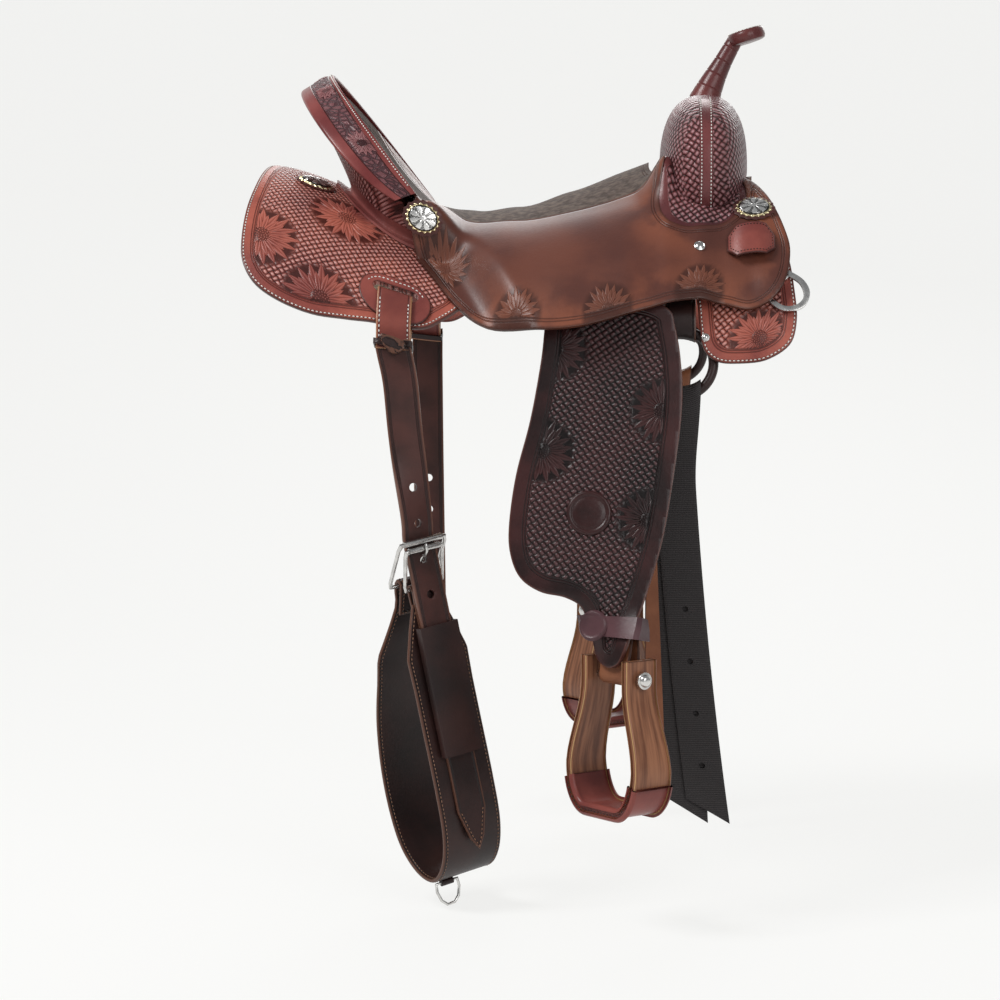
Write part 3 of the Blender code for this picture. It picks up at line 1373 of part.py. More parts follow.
def buckle_frame(side):
    """Axes at the buckles: across the strap, outward and down along the cinch."""
    down = Vector((DOWN_X, side * 0.0, -1)).normalized()
    across = Vector((math.cos(BUCKLE_TURN), -side * math.sin(BUCKLE_TURN), 0))
    across = (across - down * across.dot(down)).normalized()
    outward = across.cross(down)
    if outward.y * side < 0:
        outward.negate()
    origin = Vector((BUCKLE_AT.x, side * BUCKLE_AT.y, BUCKLE_AT.z))
    return origin, across, outward, down


TAIL = 0.205
HOLE_PITCH = 0.040


def flank_billets():
    for side in (RIGHT, LEFT):
        hinge = flank_hinge(side)
        t = BILLET_T
        origin, across, outward, down = buckle_frame(side)
        if side == RIGHT:
            points = [hinge, hinge + Vector((0.006, side * 0.0005, -0.030)),
                      mix(hinge, origin, 0.42), mix(hinge, origin, 0.8),
                      origin - down * 0.020, origin, origin + down * 0.06, origin + down * 0.13, origin + down * TAIL]
            width_dir = [Vector((1, 0, 0)), across]
            turn_from, turn_to = 0.06, 0.185
            top_slant = 0.0
        else:
            points = [hinge, hinge + Vector((0.0, 0.0, -0.030)), hinge + Vector((0.001, 0, -0.14)),
                      hinge + Vector((0.003, 0, -0.28)), hinge + Vector((0.005, 0, -0.40))]
            width_dir = [Vector((1, 0, 0)), Vector((1, 0, 0))]
            turn_from, turn_to = 0.1, 0.2
            top_slant = FOLD_SLANT
        path = Path(points, 8)

        def width_of(v):
            return mix(width_dir[0], width_dir[1], smooth((v - turn_from) / (turn_to - turn_from))).normalized()
        place = ribbon(path, width_of)
        half = FLANK_W / 2
        round_top = t / 2
        outline = strap_outline(FLANK_W, path.length, 0.020)
        pin_v = path.length - TAIL + 0.0042 if side == RIGHT else 0.25
        holes = [circle(0.0, pin_v + k * HOLE_PITCH, 0.0047) for k in (-2, -1, 0, 1)]
        holes = [h for h in holes if h[0][1] > 0.04]

        def rounded(u, v, h):
            near = max(0.0, 1 - v / round_top)
            squeeze = math.sqrt(max(0.04, 1 - near * near))
            slanted = v + top_slant * u * (1 - smooth(v / 0.060))
            return place(u, slanted, (h - t / 2) * squeeze)
        lines = [round_top * 0.3, round_top] + [0.010 + 0.020 * k for k in range(10)]
        leather("flank_billet_" + side_name(side), DARK_BROWN, outline, t, rounded, 0.020, 1.0, holes=holes,
                pivot=hinge, lines_v=lines)


def flank_cinch():
    side = RIGHT
    origin, across, outward, down = buckle_frame(side)
    pivot = flank_hinge(side)

    def at(w, n, t):
        return origin + across * w + outward * n + down * t
    heel_front = (-0.0105, 0.036)
    heel_rear = (-0.0330, 0.030)
    top_front = (BILLET_T / 2 + 0.0024 + BUCKLE_ROLLER_R, -0.0075)
    top_rear = (BILLET_T / 2 + 0.0034 + BUCKLE_ROLLER_R, -0.0160)
    wire_buckle("front", at, pivot, heel_front, top_front, BUCKLE_INNER_W / 2)
    wire_buckle("rear", at, pivot, heel_rear, top_rear, BUCKLE_INNER_W / 2 + 0.0060)

    t = CINCH_T
    n0 = heel_front[0]
    loop = [(n0, 0.052), (n0, 0.100), (n0, 0.180), (n0, 0.260), (n0 - 0.004, 0.310), (n0 - 0.020, 0.345),
            (n0 - 0.048, 0.364), (n0 - 0.082, 0.353), (n0 - 0.107, 0.318), (n0 - 0.113, 0.255),
            (n0 - 0.100, 0.185), (n0 - 0.070, 0.120), (n0 - 0.047, 0.076)]
    wrap = BUCKLE_WIRE_R + GAP * 3 + CINCH_T / 2
    heel = Vector(heel_rear)
    along = Vector((0.42, -0.907))
    beside = Vector((-0.907, -0.42))
    loop.append(tuple(heel + beside * wrap - along * 0.014))
    for k in range(7):
        a = math.pi * k / 6
        loop.append(tuple(heel + beside * (wrap * math.cos(a)) + along * (wrap * math.sin(a))))
    loop += [tuple(heel - beside * wrap - along * 0.014), tuple(heel - beside * (wrap - 0.0002) - along * 0.034)]
    path = Path([at(0, n, d) for n, d in loop], 6)
    place = ribbon(path, lambda v: across)
    wide = CINCH_W / 2
    narrow = FLANK_W / 2
    neck = 0.055
    top = path.length - 0.080
    outline = curved(((-narrow, 0.0), (-narrow, 0.0), (narrow, 0.0), (narrow, 0.0), (wide, neck),
                      (wide, neck + 0.04), (wide, path.length / 2), (wide, top - neck - 0.04),
                      (wide, top - neck), (narrow, top), (narrow, top + 0.02), (narrow, path.length),
                      (narrow, path.length), (-narrow, path.length), (-narrow, path.length), (-narrow, top + 0.02),
                      (-narrow, top), (-wide, top - neck), (-wide, top - neck - 0.04),
                      (-wide, path.length / 2), (-wide, neck + 0.04), (-wide, neck)), 2)
    leather("flank_cinch", DARK_BROWN, [tuple(p) for p in outline], t,
            lambda u, v, h: place(u, v, h - t / 2), 0.060, 1.0, pivot=pivot, lines_v=bends(path, 0.080, 20.0))
    chape(at, pivot, heel_front, across)
    tongue(at, pivot, heel_front)
    keeper_sleeve(at, pivot)
    cinch_dee(at, n0)


def wire_buckle(tag, at, pivot, heel, top, half):
    """Rectangular wire frame with rounded corners, its heel bar under the strap and its roller bar over it."""
    (n0, t0), (n1, t1) = heel, top
    corner = 0.12
    straight = 0.84
    loop = [(-1, 1 - corner), (-1 + corner * 0.6, 1), (-straight, 1), (straight, 1), (1 - corner * 0.6, 1),
            (1, 1 - corner), (1, corner), (1 - corner * 0.6, 0), (straight, 0), (-straight, 0),
            (-1 + corner * 0.6, 0), (-1, corner)]
    centres = [at(w * half, mix(n0, n1, k), mix(t0, t1, k)) for w, k in loop]
    along = (at(0, n1, t1) - at(0, n0, t0)).normalized()
    across = (at(1, 0, 0) - at(0, 0, 0)).normalized()
    normal = across.cross(along)
    sides = 8
    rings = []
    for k, centre in enumerate(centres):
        tangent = (centres[(k + 1) % len(centres)] - centres[k - 1]).normalized()
        radial = tangent.cross(normal)
        stretch = 1.0 / max(0.7, abs((centres[(k + 1) % len(centres)] - centre).normalized().dot(tangent)))
        rings.append([centre + radial * (BUCKLE_WIRE_R * stretch * math.cos(2 * math.pi * j / sides))
                      + normal * (BUCKLE_WIRE_R * math.sin(2 * math.pi * j / sides)) for j in range(sides)])
    loft("flank_buckle_" + tag, STAINLESS, rings, pivot, closed=True)
    bar = at(0, n1, t1)
    length = (half * straight - GAP * 2) * 2
    roller = rod("buckle_roller_" + tag, STAINLESS, bar, across, BUCKLE_ROLLER_R, length, 14, bar)
    boolean(roller, rod("bore", STAINLESS, bar, across, BUCKLE_WIRE_R + GAP, 0.1, 12, bar))


def chape(at, pivot, heel, across):
    """Strap folded round the near heel bar; its outer tail lies on the cinch and ends in a point."""
    t = CHAPE_T
    wrap = BUCKLE_WIRE_R + GAP * 3 + t / 2
    n0, t0 = heel
    outer = n0 + CINCH_T / 2 + GAP + t / 2
    inner = n0 - CINCH_T / 2 - GAP - t / 2
    points = [at(0, outer, 0.334), at(0, outer, 0.200), at(0, outer, 0.100), at(0, outer, 0.054),
              at(0, n0 + wrap, t0 + 0.008)]
    for k in range(0, 7):
        a = math.pi * k / 6
        points.append(at(0, n0 + wrap * math.cos(a), t0 - wrap * math.sin(a)))
    points += [at(0, n0 - wrap, t0 + 0.008), at(0, inner, 0.054), at(0, inner, 0.080), at(0, inner, 0.105)]
    path = Path(points, 5)
    place = ribbon(path, lambda v: across)
    half = 0.018
    outline = [(-half, 0.045), (-half * 0.5, 0.014), (0.0, 0.0), (half * 0.5, 0.014), (half, 0.045),
               (half, path.length), (-half, path.length)]
    fold = path.length - (0.105 - t0 + math.pi * wrap / 2)
    slot = [(u, fold + v) for v, u in round_slot(0.0, 0.0, 0.026, 0.0052)]
    leather("flank_chape", DARK_BROWN, outline, t, lambda u, v, h: place(u, v, h - t / 2), 0.036, 1.0,
            holes=(slot,), pivot=pivot, lines_v=bends(path, 0.08))


def tube(name, mat, points, r, sides=8, pivot=None):
    """A round bar along a smooth line through the points."""
    path = [Vector(p) for p in points]
    rings = []
    first = (path[1] - path[0]).normalized()
    side = first.orthogonal().normalized()
    for k, point in enumerate(path):
        tangent = (path[min(k + 1, len(path) - 1)] - path[max(k - 1, 0)]).normalized()
        side = (side - tangent * side.dot(tangent)).normalized()
        up = tangent.cross(side)
        rings.append([point + side * (r * math.cos(2 * math.pi * j / sides)) + up * (r * math.sin(2 * math.pi * j / sides))
                      for j in range(sides)])
    return loft(name, mat, rings, pivot)


def washer(name, mat, at, w, n, t, inner_r, outer_r, pivot, steps=12):
    """A short sleeve round the line across the strap at (n, t)."""
    bands = []
    for end, r in ((-w, inner_r), (-w, outer_r), (w, outer_r), (w, inner_r)):
        bands.append([at(end, n + r * math.cos(2 * math.pi * k / steps), t + r * math.sin(2 * math.pi * k / steps))
                      for k in range(steps)])
    return loft(name, mat, bands, pivot, closed=True)


def tongue(at, pivot, heel):
    """Tongue of the near buckle: turns on the heel bar, comes up through the billet and lies on the roller."""
    n0, t0 = heel
    r = 0.0015
    eye = washer("flank_tongue", STAINLESS, at, 0.0016, n0, t0, BUCKLE_WIRE_R + GAP * 3, BUCKLE_WIRE_R + 0.0022, pivot)
    bend = curved([at(0, n0 + 0.0036, t0 - 0.001), at(0, -0.0056, t0 - 0.008), at(0, -0.0046, 0.0130), at(0, -0.0034, 0.0074),
                   at(0, 0.0, 0.0040), at(0, 0.0054, 0.0018), at(0, 0.0124, -0.0038), at(0, 0.0140, -0.0078),
                   at(0, 0.0136, -0.0120)], 2, closed=False)
    boolean(eye, tube("shank", STAINLESS, bend, r, 6, pivot), "UNION")


def keeper_sleeve(at, pivot):
    """Flat sleeve on the near leg that holds the billet's tail."""
    top_t, foot_t = 0.078, 0.224
    half = FLANK_W / 2 + 0.0030
    deep = BILLET_T / 2 + GAP * 3
    wall = KEEPER_T
    inner = [(-half, -deep + 0.0004), (0, -deep), (half, -deep + 0.0004), (half + 0.001, 0), (half, deep + 0.001),
             (0, deep + 0.0035), (-half, deep + 0.001), (-half - 0.001, 0)]
    outer = [(w + math.copysign(wall, w) * (abs(w) > 0.001), n + (wall if n > deep * 0.5 else -wall * 0.55 if n < 0 else 0))
             for w, n in inner]
    bands = []
    for ring, t in ((inner, top_t), (outer, top_t), (outer, foot_t), (inner, foot_t)):
        bands.append([at(w, n, t) for w, n in ring])
    loft("flank_keeper", DARK_BROWN, bands, pivot, closed=True)


def cinch_dee(at, n0):
    """Small dee hanging from the foot of the cinch on a folded tab."""
    foot_n, foot_t = n0 - 0.052, 0.364
    bar_n, bar_t = foot_n, foot_t + CINCH_T / 2 + GAP + 0.0036
    width = 0.014
    r = 0.0018
    drop = 0.026
    loop = [(-1, 0.0), (-0.5, 0.0), (0.5, 0.0), (1, 0.0), (1.05, 0.35), (0.8, 0.75), (0.35, 0.97), (-0.35, 0.97),
            (-0.8, 0.75), (-1.05, 0.35)]
    centres = [at(DEE_OFF + w * width, bar_n, bar_t + d * drop) for w, d in loop]
    normal = (at(0, 1, 0) - at(0, 0, 0)).normalized()
    sides = 8
    rings = []
    for k, centre in enumerate(centres):
        tangent = (centres[(k + 1) % len(centres)] - centres[k - 1]).normalized()
        radial = tangent.cross(normal)
        rings.append([centre + radial * (r * math.cos(2 * math.pi * j / sides))
                      + normal * (r * math.sin(2 * math.pi * j / sides)) for j in range(sides)])
    loft("cinch_dee", STAINLESS, rings, at(DEE_OFF, bar_n, bar_t), closed=True)
    def beside(w, n, t):
        return at(DEE_OFF + w, n, t)
    washer("cinch_dee_loop", DARK_BROWN, beside, 0.0075, bar_n, bar_t, r + GAP, r + GAP + 0.0018, flank_hinge(RIGHT), 10)


# Silver and small fittings

def stand_on(side, x, s, place):
    """Matrix at a point of the surface: its Z axis out of the surface, its X axis forward."""
    e = 0.012
    origin = place(x, s, 0.0)
    ahead = (place(x + e, s, 0.0) - place(x - e, s, 0.0)).normalized()
    below = place(x, s + e, 0.0) - place(x, s - e, 0.0)
    normal = ahead.cross(below).normalized()
    if normal.y * side < 0 or normal.z < 0:
        normal.negate()
    matrix = Matrix.Identity(4)
    for column, axis in enumerate((ahead, normal.cross(ahead), normal)):
        for row in range(3):
            matrix[row][column] = axis[row]
    matrix.translation = origin
    return matrix


def concho(tag, side, x, s, place):
    """Domed oval concho standing on the surface that place(x, s, 0) draws."""
    matrix = stand_on(side, x, s, place)
    inverse = matrix.inverted()
    reach = CONCHO_LENGTH * 0.45
    lift = max((inverse @ place(x + dx * reach, s + ds * reach * 0.8, 0.0)).z
               for dx in (-1, -0.5, 0, 0.5, 1) for ds in (-1, -0.5, 0, 0.5, 1))
    bm = bmesh.new()
    bmesh.ops.create_uvsphere(bm, u_segments=16, v_segments=8, radius=0.5)
    bmesh.ops.bisect_plane(bm, geom=bm.verts[:] + bm.edges[:] + bm.faces[:], dist=1e-6, plane_co=(0, 0, 0),
                           plane_no=(0, 0, -1), clear_outer=True)
    bmesh.ops.holes_fill(bm, edges=[e for e in bm.edges if e.is_boundary], sides=0)
    for vert in bm.verts:
        if vert.co.z < 1e-4:
            vert.co.z = 0.0
    bm.transform(Matrix.Diagonal((CONCHO_LENGTH, CONCHO_WIDTH, CONCHO_T * 2, 1)))
    bm.transform(matrix @ Matrix.Translation((0, 0, lift + GAP)))
    finish("concho_" + tag + "_" + side_name(side), bm, SILVER)


def breast_dee(side):
    """Flat cast dee on its leather tab under the front of the jockey."""
    tag = side_name(side)
    form = on_form(side)
    base = stand_on(side, 0.2930, 0.2480, lambda x, s, h: form(x, s, h + SKIRT_T))
    turn = Matrix.Rotation(math.radians(42) * side, 4, "Z")
    matrix = base @ turn
    outer = [(0.0, -0.019), (0.010, -0.0215), (0.026, -0.020), (0.038, -0.009), (0.0405, 0.004), (0.034, 0.017),
             (0.020, 0.0235), (0.004, 0.0225), (0.0, 0.019)]
    inner = [(0.005, -0.0150), (0.012, -0.0160), (0.0240, -0.0145), (0.0325, -0.006), (0.0340, 0.004),
             (0.0285, 0.0125), (0.018, 0.0175), (0.006, 0.0165), (0.005, 0.014)]
    bm = flat_mesh([tuple(p) for p in curved(outer, 3)], ([tuple(p) for p in curved(inner, 3)],), DEE_T)
    bmesh.ops.triangulate(bm, faces=[f for f in bm.faces if len(f.verts) > 4])
    bm.transform(matrix @ Matrix.Translation((-0.006, 0, 0.0012)))
    pivot = matrix @ Vector((-0.0035, 0, 0.0012 + DEE_T / 2))
    finish("breast_dee_" + tag, bm, STAINLESS, pivot)


def fittings():
    for side in (RIGHT, LEFT):
        seat_face = over_seat(side)
        form = on_form(side)
        concho("front", side, 0.2660, 0.1500, seat_face)
        concho("cantle", side, -0.0960, 0.1560, seat_face)
        concho("rear", side, -0.2320, 0.0740, lambda x, s, h: form(x, s, h + SKIRT_T))
        strap_keeper(side)
        breast_dee(side)


def strap_keeper(side):
    """Eight-sided leather keeper under the front concho, bulged so that a strap passes down behind it."""
    seat_face = over_seat(side)
    half_u, half_v, cut = 0.0265, 0.0185, 0.010
    outline = [(-half_u, -half_v + cut), (-half_u + cut, -half_v), (half_u - cut, -half_v), (half_u, -half_v + cut),
               (half_u, half_v - cut), (half_u - cut, half_v), (-half_u + cut, half_v), (-half_u, half_v - cut)]
    t = 0.0030

    def place(u, v, h):
        x, s = 0.2620 + u, 0.1975 + v
        bulge = 0.0105 * (1 - (u / half_u) ** 2)
        return seat_face(x, s, GAP * 2 + bulge + h)
    leather("strap_keeper_" + side_name(side), OXBLOOD, outline, t, place, 0.0090, GRID_S)


def build():
    clear_scene()
    skirts()
    saddle_tree()
    horn()
    seat()
    stirrup_leather_loops()
    fenders()
    rigging()
    flank_folds()
    flank_billets()
    flank_cinch()
    fittings()


build()
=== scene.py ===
# %% [markdown]
# # A barrel racing saddle, dressed around its CAD frame
#
# The frame holds every strap, ring and bar in its place. This lesson cuts the same leather again, much finer,
# wraps it on the same form, rounds its edges, stitches it, and gives each piece its finish.

# %% The frame
import bisect
import functools
import json
import math

import bmesh
import bpy
import numpy as np
from mathutils import Matrix, Vector


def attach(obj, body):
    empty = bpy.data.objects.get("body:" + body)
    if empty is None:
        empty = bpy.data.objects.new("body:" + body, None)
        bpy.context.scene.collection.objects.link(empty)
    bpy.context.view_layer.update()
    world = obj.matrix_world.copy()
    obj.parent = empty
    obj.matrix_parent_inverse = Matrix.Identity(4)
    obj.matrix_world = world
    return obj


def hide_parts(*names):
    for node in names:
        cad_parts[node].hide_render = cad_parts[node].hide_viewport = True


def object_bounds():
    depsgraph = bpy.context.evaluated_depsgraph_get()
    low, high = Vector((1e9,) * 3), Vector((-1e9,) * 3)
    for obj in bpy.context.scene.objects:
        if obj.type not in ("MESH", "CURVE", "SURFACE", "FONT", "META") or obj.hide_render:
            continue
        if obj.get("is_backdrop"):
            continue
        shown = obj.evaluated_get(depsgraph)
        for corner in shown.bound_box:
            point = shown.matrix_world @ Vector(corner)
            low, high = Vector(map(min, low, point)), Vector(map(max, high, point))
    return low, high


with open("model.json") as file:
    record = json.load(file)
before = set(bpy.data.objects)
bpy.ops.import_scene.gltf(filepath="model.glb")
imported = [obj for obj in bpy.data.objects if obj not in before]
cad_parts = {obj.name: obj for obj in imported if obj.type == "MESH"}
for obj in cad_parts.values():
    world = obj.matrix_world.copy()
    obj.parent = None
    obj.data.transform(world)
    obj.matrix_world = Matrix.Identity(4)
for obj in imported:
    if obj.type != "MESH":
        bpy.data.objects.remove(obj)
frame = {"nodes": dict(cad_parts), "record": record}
cad_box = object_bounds()
BODY_OF = {node: body for body, nodes in frame["record"]["behaviour"]["bodies"].items() for node in nodes}
bpy.ops.object.select_all(action="DESELECT")

# %% [markdown]
# ## Camera, stage and light
#
# The photograph looks at the off side from about saddle height, a little downwards. A long lens far off
# keeps the proportions. The stage is one pale sheet that curves up behind, so no horizon shows.

# %% Camera
CAMERA_AT = (0.129, -3.3, 0.035)
CAMERA_DOWN, CAMERA_TURN = 4.7, 2.65
SENSOR, LENS = 36, 36 * 2.805
camera = bpy.data.objects.new("camera", bpy.data.cameras.new("camera"))
bpy.context.scene.collection.objects.link(camera)
camera.location = CAMERA_AT
camera.rotation_euler = (math.radians(90 - CAMERA_DOWN), 0, math.radians(CAMERA_TURN))
camera.data.sensor_width = SENSOR
camera.data.lens = LENS
bpy.context.scene.camera = camera
bpy.context.scene.view_settings.view_transform = "Standard"
print("lens", round(camera.data.lens, 1), "mm")


# %% Finishes as sums of fields
class Field:
    """A socket of a finish's nodes that takes part in Python sums."""

    def __init__(self, paint, socket):
        self.paint = paint
        self.socket = socket

    def math(self, operation, *others):
        return self.paint.add("ShaderNodeMath", {"operation": operation}, (self, *others))

    def __add__(self, other):
        return self.math("ADD", other)

    __radd__ = __add__

    def __mul__(self, other):
        return self.math("MULTIPLY", other)

    __rmul__ = __mul__

    def __sub__(self, other):
        return self.math("SUBTRACT", other)

    def __rsub__(self, other):
        return self.paint.add("ShaderNodeMath", {"operation": "SUBTRACT"}, (other, self))

    def __truediv__(self, other):
        return self.math("DIVIDE", other)

    def fract(self):
        return self.math("FRACT")

    def floor(self):
        return self.math("FLOOR")

    def size(self):
        return self.math("ABSOLUTE")

    def wave(self):
        return self.math("SINE")

    def least(self, other):
        return self.math("MINIMUM", other)

    def most(self, other):
        return self.math("MAXIMUM", other)

    def rise(self, low, high):
        """0 below low, 1 above high, smooth between them."""
        return self.paint.add("ShaderNodeMapRange", {"interpolation_type": "SMOOTHSTEP"},
                              {"Value": self, "From Min": low, "From Max": high})

    def near(self, value, reach):
        """1 at the value, falling to 0 at the reach to either side."""
        return 1 - (self - value).size().rise(0.0, reach)


class Paint:
    """The node tree of one finish."""

    def __init__(self, name, roughness=0.5, metallic=0.0):
        self.material = bpy.data.materials.new(name)
        self.material.use_nodes = True
        self.tree = self.material.node_tree
        self.shader = self.tree.nodes["Principled BSDF"]
        self.shader.inputs["Roughness"].default_value = roughness
        self.shader.inputs["Metallic"].default_value = metallic
        self.shader.inputs["Specular IOR Level"].default_value = 0.30

    def add(self, kind, settings, values, out=0):
        node = self.tree.nodes.new(kind)
        for key, value in settings.items():
            setattr(node, key, value)
        pairs = values.items() if isinstance(values, dict) else enumerate(values)
        for key, value in pairs:
            self.feed(node.inputs[key], value)
        return Field(self, node.outputs[out])

    def feed(self, socket, value):
        if isinstance(value, Field):
            self.tree.links.new(value.socket, socket)
        else:
            socket.default_value = value

    def show(self, **fields):
        for name, value in fields.items():
            self.feed(self.shader.inputs[name.replace("_", " ")], value)

    def object_place(self):
        return self.add("ShaderNodeTexCoord", {}, {}, "Object")

    def flat_place(self):
        return self.add("ShaderNodeUVMap", {"uv_map": "flat"}, {})

    def mark(self, name):
        return self.add("ShaderNodeAttribute", {"attribute_name": name}, {}, "Fac")

    def turned(self, vector, scale, turn=0.0):
        return self.add("ShaderNodeMapping", {}, {"Vector": vector, "Scale": scale, "Rotation": (0, 0, turn)})

    def parts(self, vector):
        split = self.add("ShaderNodeSeparateXYZ", {}, {"Vector": vector})
        node = split.socket.node
        return [Field(self, socket) for socket in node.outputs]

    def noise(self, vector, scale, detail=2.0):
        return self.add("ShaderNodeTexNoise", {}, {"Vector": vector, "Scale": scale, "Detail": detail})

    def mixed(self, factor, a, b):
        node = self.tree.nodes.new("ShaderNodeMix")
        node.data_type = "RGBA"
        self.feed(node.inputs[0], factor)
        for socket, colour in ((node.inputs[6], a), (node.inputs[7], b)):
            self.feed(socket, colour if isinstance(colour, Field) else (*colour, 1.0))
        return Field(self, node.outputs[2])

    def bump(self, height):
        """Height in metres."""
        self.show(Normal=self.add("ShaderNodeBump", {}, {"Strength": 1.0, "Distance": 1.0, "Height": height}))


# %% Stage
def put(name, mesh, mat):
    """A smooth mesh with its finish, as an object of the scene."""
    mesh.shade_smooth()
    mesh.materials.append(mat)
    placed = bpy.data.objects.new(name, mesh)
    bpy.context.scene.collection.objects.link(placed)
    return placed


def curved_sheet(name, reach, depth, height, radius):
    """A floor that runs back and curves up into a wall."""
    profile = [(-reach, 0.0), (0.0, 0.0)]
    profile += [(depth - radius + radius * math.sin(a), radius - radius * math.cos(a))
                for a in [math.radians(90) * k / 24 for k in range(25)]]
    profile.append((depth, height))
    mesh = bpy.data.meshes.new(name)
    points = [(x, y, z) for x in (-reach, reach) for y, z in profile]
    count = len(profile)
    mesh.from_pydata(points, [], [(k, k + count, k + count + 1, k + 1) for k in range(count - 1)])
    return mesh


def pale_finish():
    paint = Paint("pale_sheet", 0.9)
    paint.show(Base_Color=(0.74, 0.74, 0.74, 1.0))
    rays = paint.tree.nodes.new("ShaderNodeLightPath")
    seen = Field(paint, rays.outputs["Is Camera Ray"]).most(Field(paint, rays.outputs["Is Glossy Ray"]))
    seen = seen.most(Field(paint, rays.outputs["Is Transmission Ray"]))
    glow = paint.tree.nodes.new("ShaderNodeEmission")
    glow.inputs["Color"].default_value = (1.0, 1.0, 0.982, 1.0)
    both = paint.tree.nodes.new("ShaderNodeMixShader")
    paint.feed(both.inputs[0], seen * 0.80)
    paint.tree.links.new(paint.shader.outputs[0], both.inputs[1])
    paint.tree.links.new(glow.outputs[0], both.inputs[2])
    paint.tree.links.new(both.outputs[0], paint.tree.nodes["Material Output"].inputs["Surface"])
    return paint.material


stage = put("stage_sheet", curved_sheet("stage_sheet", 7.0, 4.0, 5.0, 2.0), pale_finish())
stage.data.transform(Matrix.Translation((0, 0, cad_box[0][2] - 0.004)))
stage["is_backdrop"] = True


# %% Lights
def soft_light(name, place, target, size, watts):
    data = bpy.data.lights.new(name, "AREA")
    data.size = size
    data.energy = watts
    light = bpy.data.objects.new(name, data)
    bpy.context.scene.collection.objects.link(light)
    light.location = place
    light.rotation_euler = (Vector(target) - Vector(place)).to_track_quat("-Z", "Y").to_euler()


world = bpy.data.worlds.new("soft_room")
bpy.context.scene.world = world
world.use_nodes = True
world.node_tree.nodes["Background"].inputs["Color"].default_value = (0.96, 0.98, 1.0, 1.0)
world.node_tree.nodes["Background"].inputs["Strength"].default_value = 0.30
soft_light("window_light", (-1.7, -1.3, 2.2), (0, 0, -0.1), 1.1, 76)
soft_light("front_light", (1.5, -2.6, 1.0), (0, -0.1, -0.2), 1.6, 30)
soft_light("far_light", (0.4, 2.6, 1.6), (0, 0, 0), 2.0, 36)

# %% [markdown]
# ## Leather
#
# Vegetable-tanned leather is stamped and carved while damp, oiled, and finished to a soft shine. The
# finish reads marks that each piece carries: how far a point lies from the cut edge, where it is carved,
# and its place on the flat leather in metres, so that a stamped pattern follows the wrapped leather.


# %% Basket stamp
def basket(paint, flat, pitch, turn):
    """Height of a woven stamp, 0 in its pits and 1 on its strands."""
    u, v, _ = paint.parts(paint.turned(flat, (1 / pitch, 1 / pitch, 1), turn))
    across_u = (u.fract() - 0.5) * 2
    across_v = (v.fract() - 0.5) * 2
    odd = ((u.floor() + v.floor()) * 0.5).fract() * 2
    along_u = (1 - across_v * across_v) * (1 - across_u * across_u * 0.45)
    along_v = (1 - across_u * across_u) * (1 - across_v * across_v * 0.45)
    return odd * along_v + (1 - odd) * along_u


def leather_finish(name, light, dark, roughness=0.42, stamp=0.0, lines=(), edge=(0.02, 0.008, 0.006), pitch=0.0060,
                   turn=0.6, stamp_from=0.0, crest=(0.5, 0.3, 0.3)):
    """Oiled leather: light and dark colour, an optional stamped field, and border lines at distances from the edge.
    Painted highlights lie on the stamp's crests and carved tops; painted shade fills its pits, the carved ground and
    the border grooves.
    """
    paint = Paint(name, roughness)
    body = paint.object_place()
    rim = paint.mark("rim")
    tooled = paint.mark("tooled")
    relief = paint.mark("relief")
    mottle = paint.noise(body, 16.0, 4.0).rise(0.32, 0.68)
    grain = paint.noise(body, 1100.0, 2.0)
    pores = paint.noise(body, 320.0, 3.0)
    colour = paint.mixed(mottle, dark, light)
    height = grain * 0.00010 + pores * 0.00012
    rough = pores * 0.18 + (roughness - 0.09)
    if stamp:
        woven = basket(paint, paint.flat_place(), pitch, turn)
        field = rim.rise(stamp_from, stamp_from + 0.0014) * (1 - tooled)
        height = height + woven * field * stamp
        # Painted shade in the stamp's pits, and a painted highlight in the crest colour on its strands.
        pit_shade = field * (1 - woven.rise(0.12, 0.62))
        top = field * woven.rise(0.62, 0.98)
        colour = paint.mixed(top * 0.60, colour, crest)
        colour = paint.mixed(pit_shade * 0.93, colour, tuple(c * 0.16 for c in dark))
        rough = rough + pit_shade * 0.3
        carved = tooled * rim.rise(stamp_from - 0.001, stamp_from + 0.0008)
        # Painted shade on the carved ground between the petals, and a painted highlight in the crest colour on their
        # tops.
        ground = carved * (1 - relief.rise(0.20, 0.72))
        colour = paint.mixed(ground * 0.88, colour, tuple(c * 0.16 for c in dark))
        colour = paint.mixed(carved * relief.rise(0.78, 1.0) * 0.40, colour, crest)
    for line in lines:
        groove = rim.near(line, 0.0011)
        height = height - groove * 0.0007
        # Painted shade darkens each border groove.
        colour = paint.mixed(groove * 0.75, colour, tuple(c * 0.3 for c in dark))
    cut = 1 - rim.rise(0.0004, 0.0024)
    colour = paint.mixed(cut * 0.8, colour, edge)
    paint.show(Base_Color=colour, Roughness=rough)
    paint.bump(height)
    return paint.material


# Each crest colour is a painted highlight, laid on stamp crests and carved tops.
OXBLOOD = leather_finish("oxblood_tooled", (0.370, 0.098, 0.066), (0.185, 0.040, 0.032), 0.34, 0.0018,
                         (0.0028, 0.0112, 0.0136), stamp_from=0.0146, crest=(0.66, 0.36, 0.32))
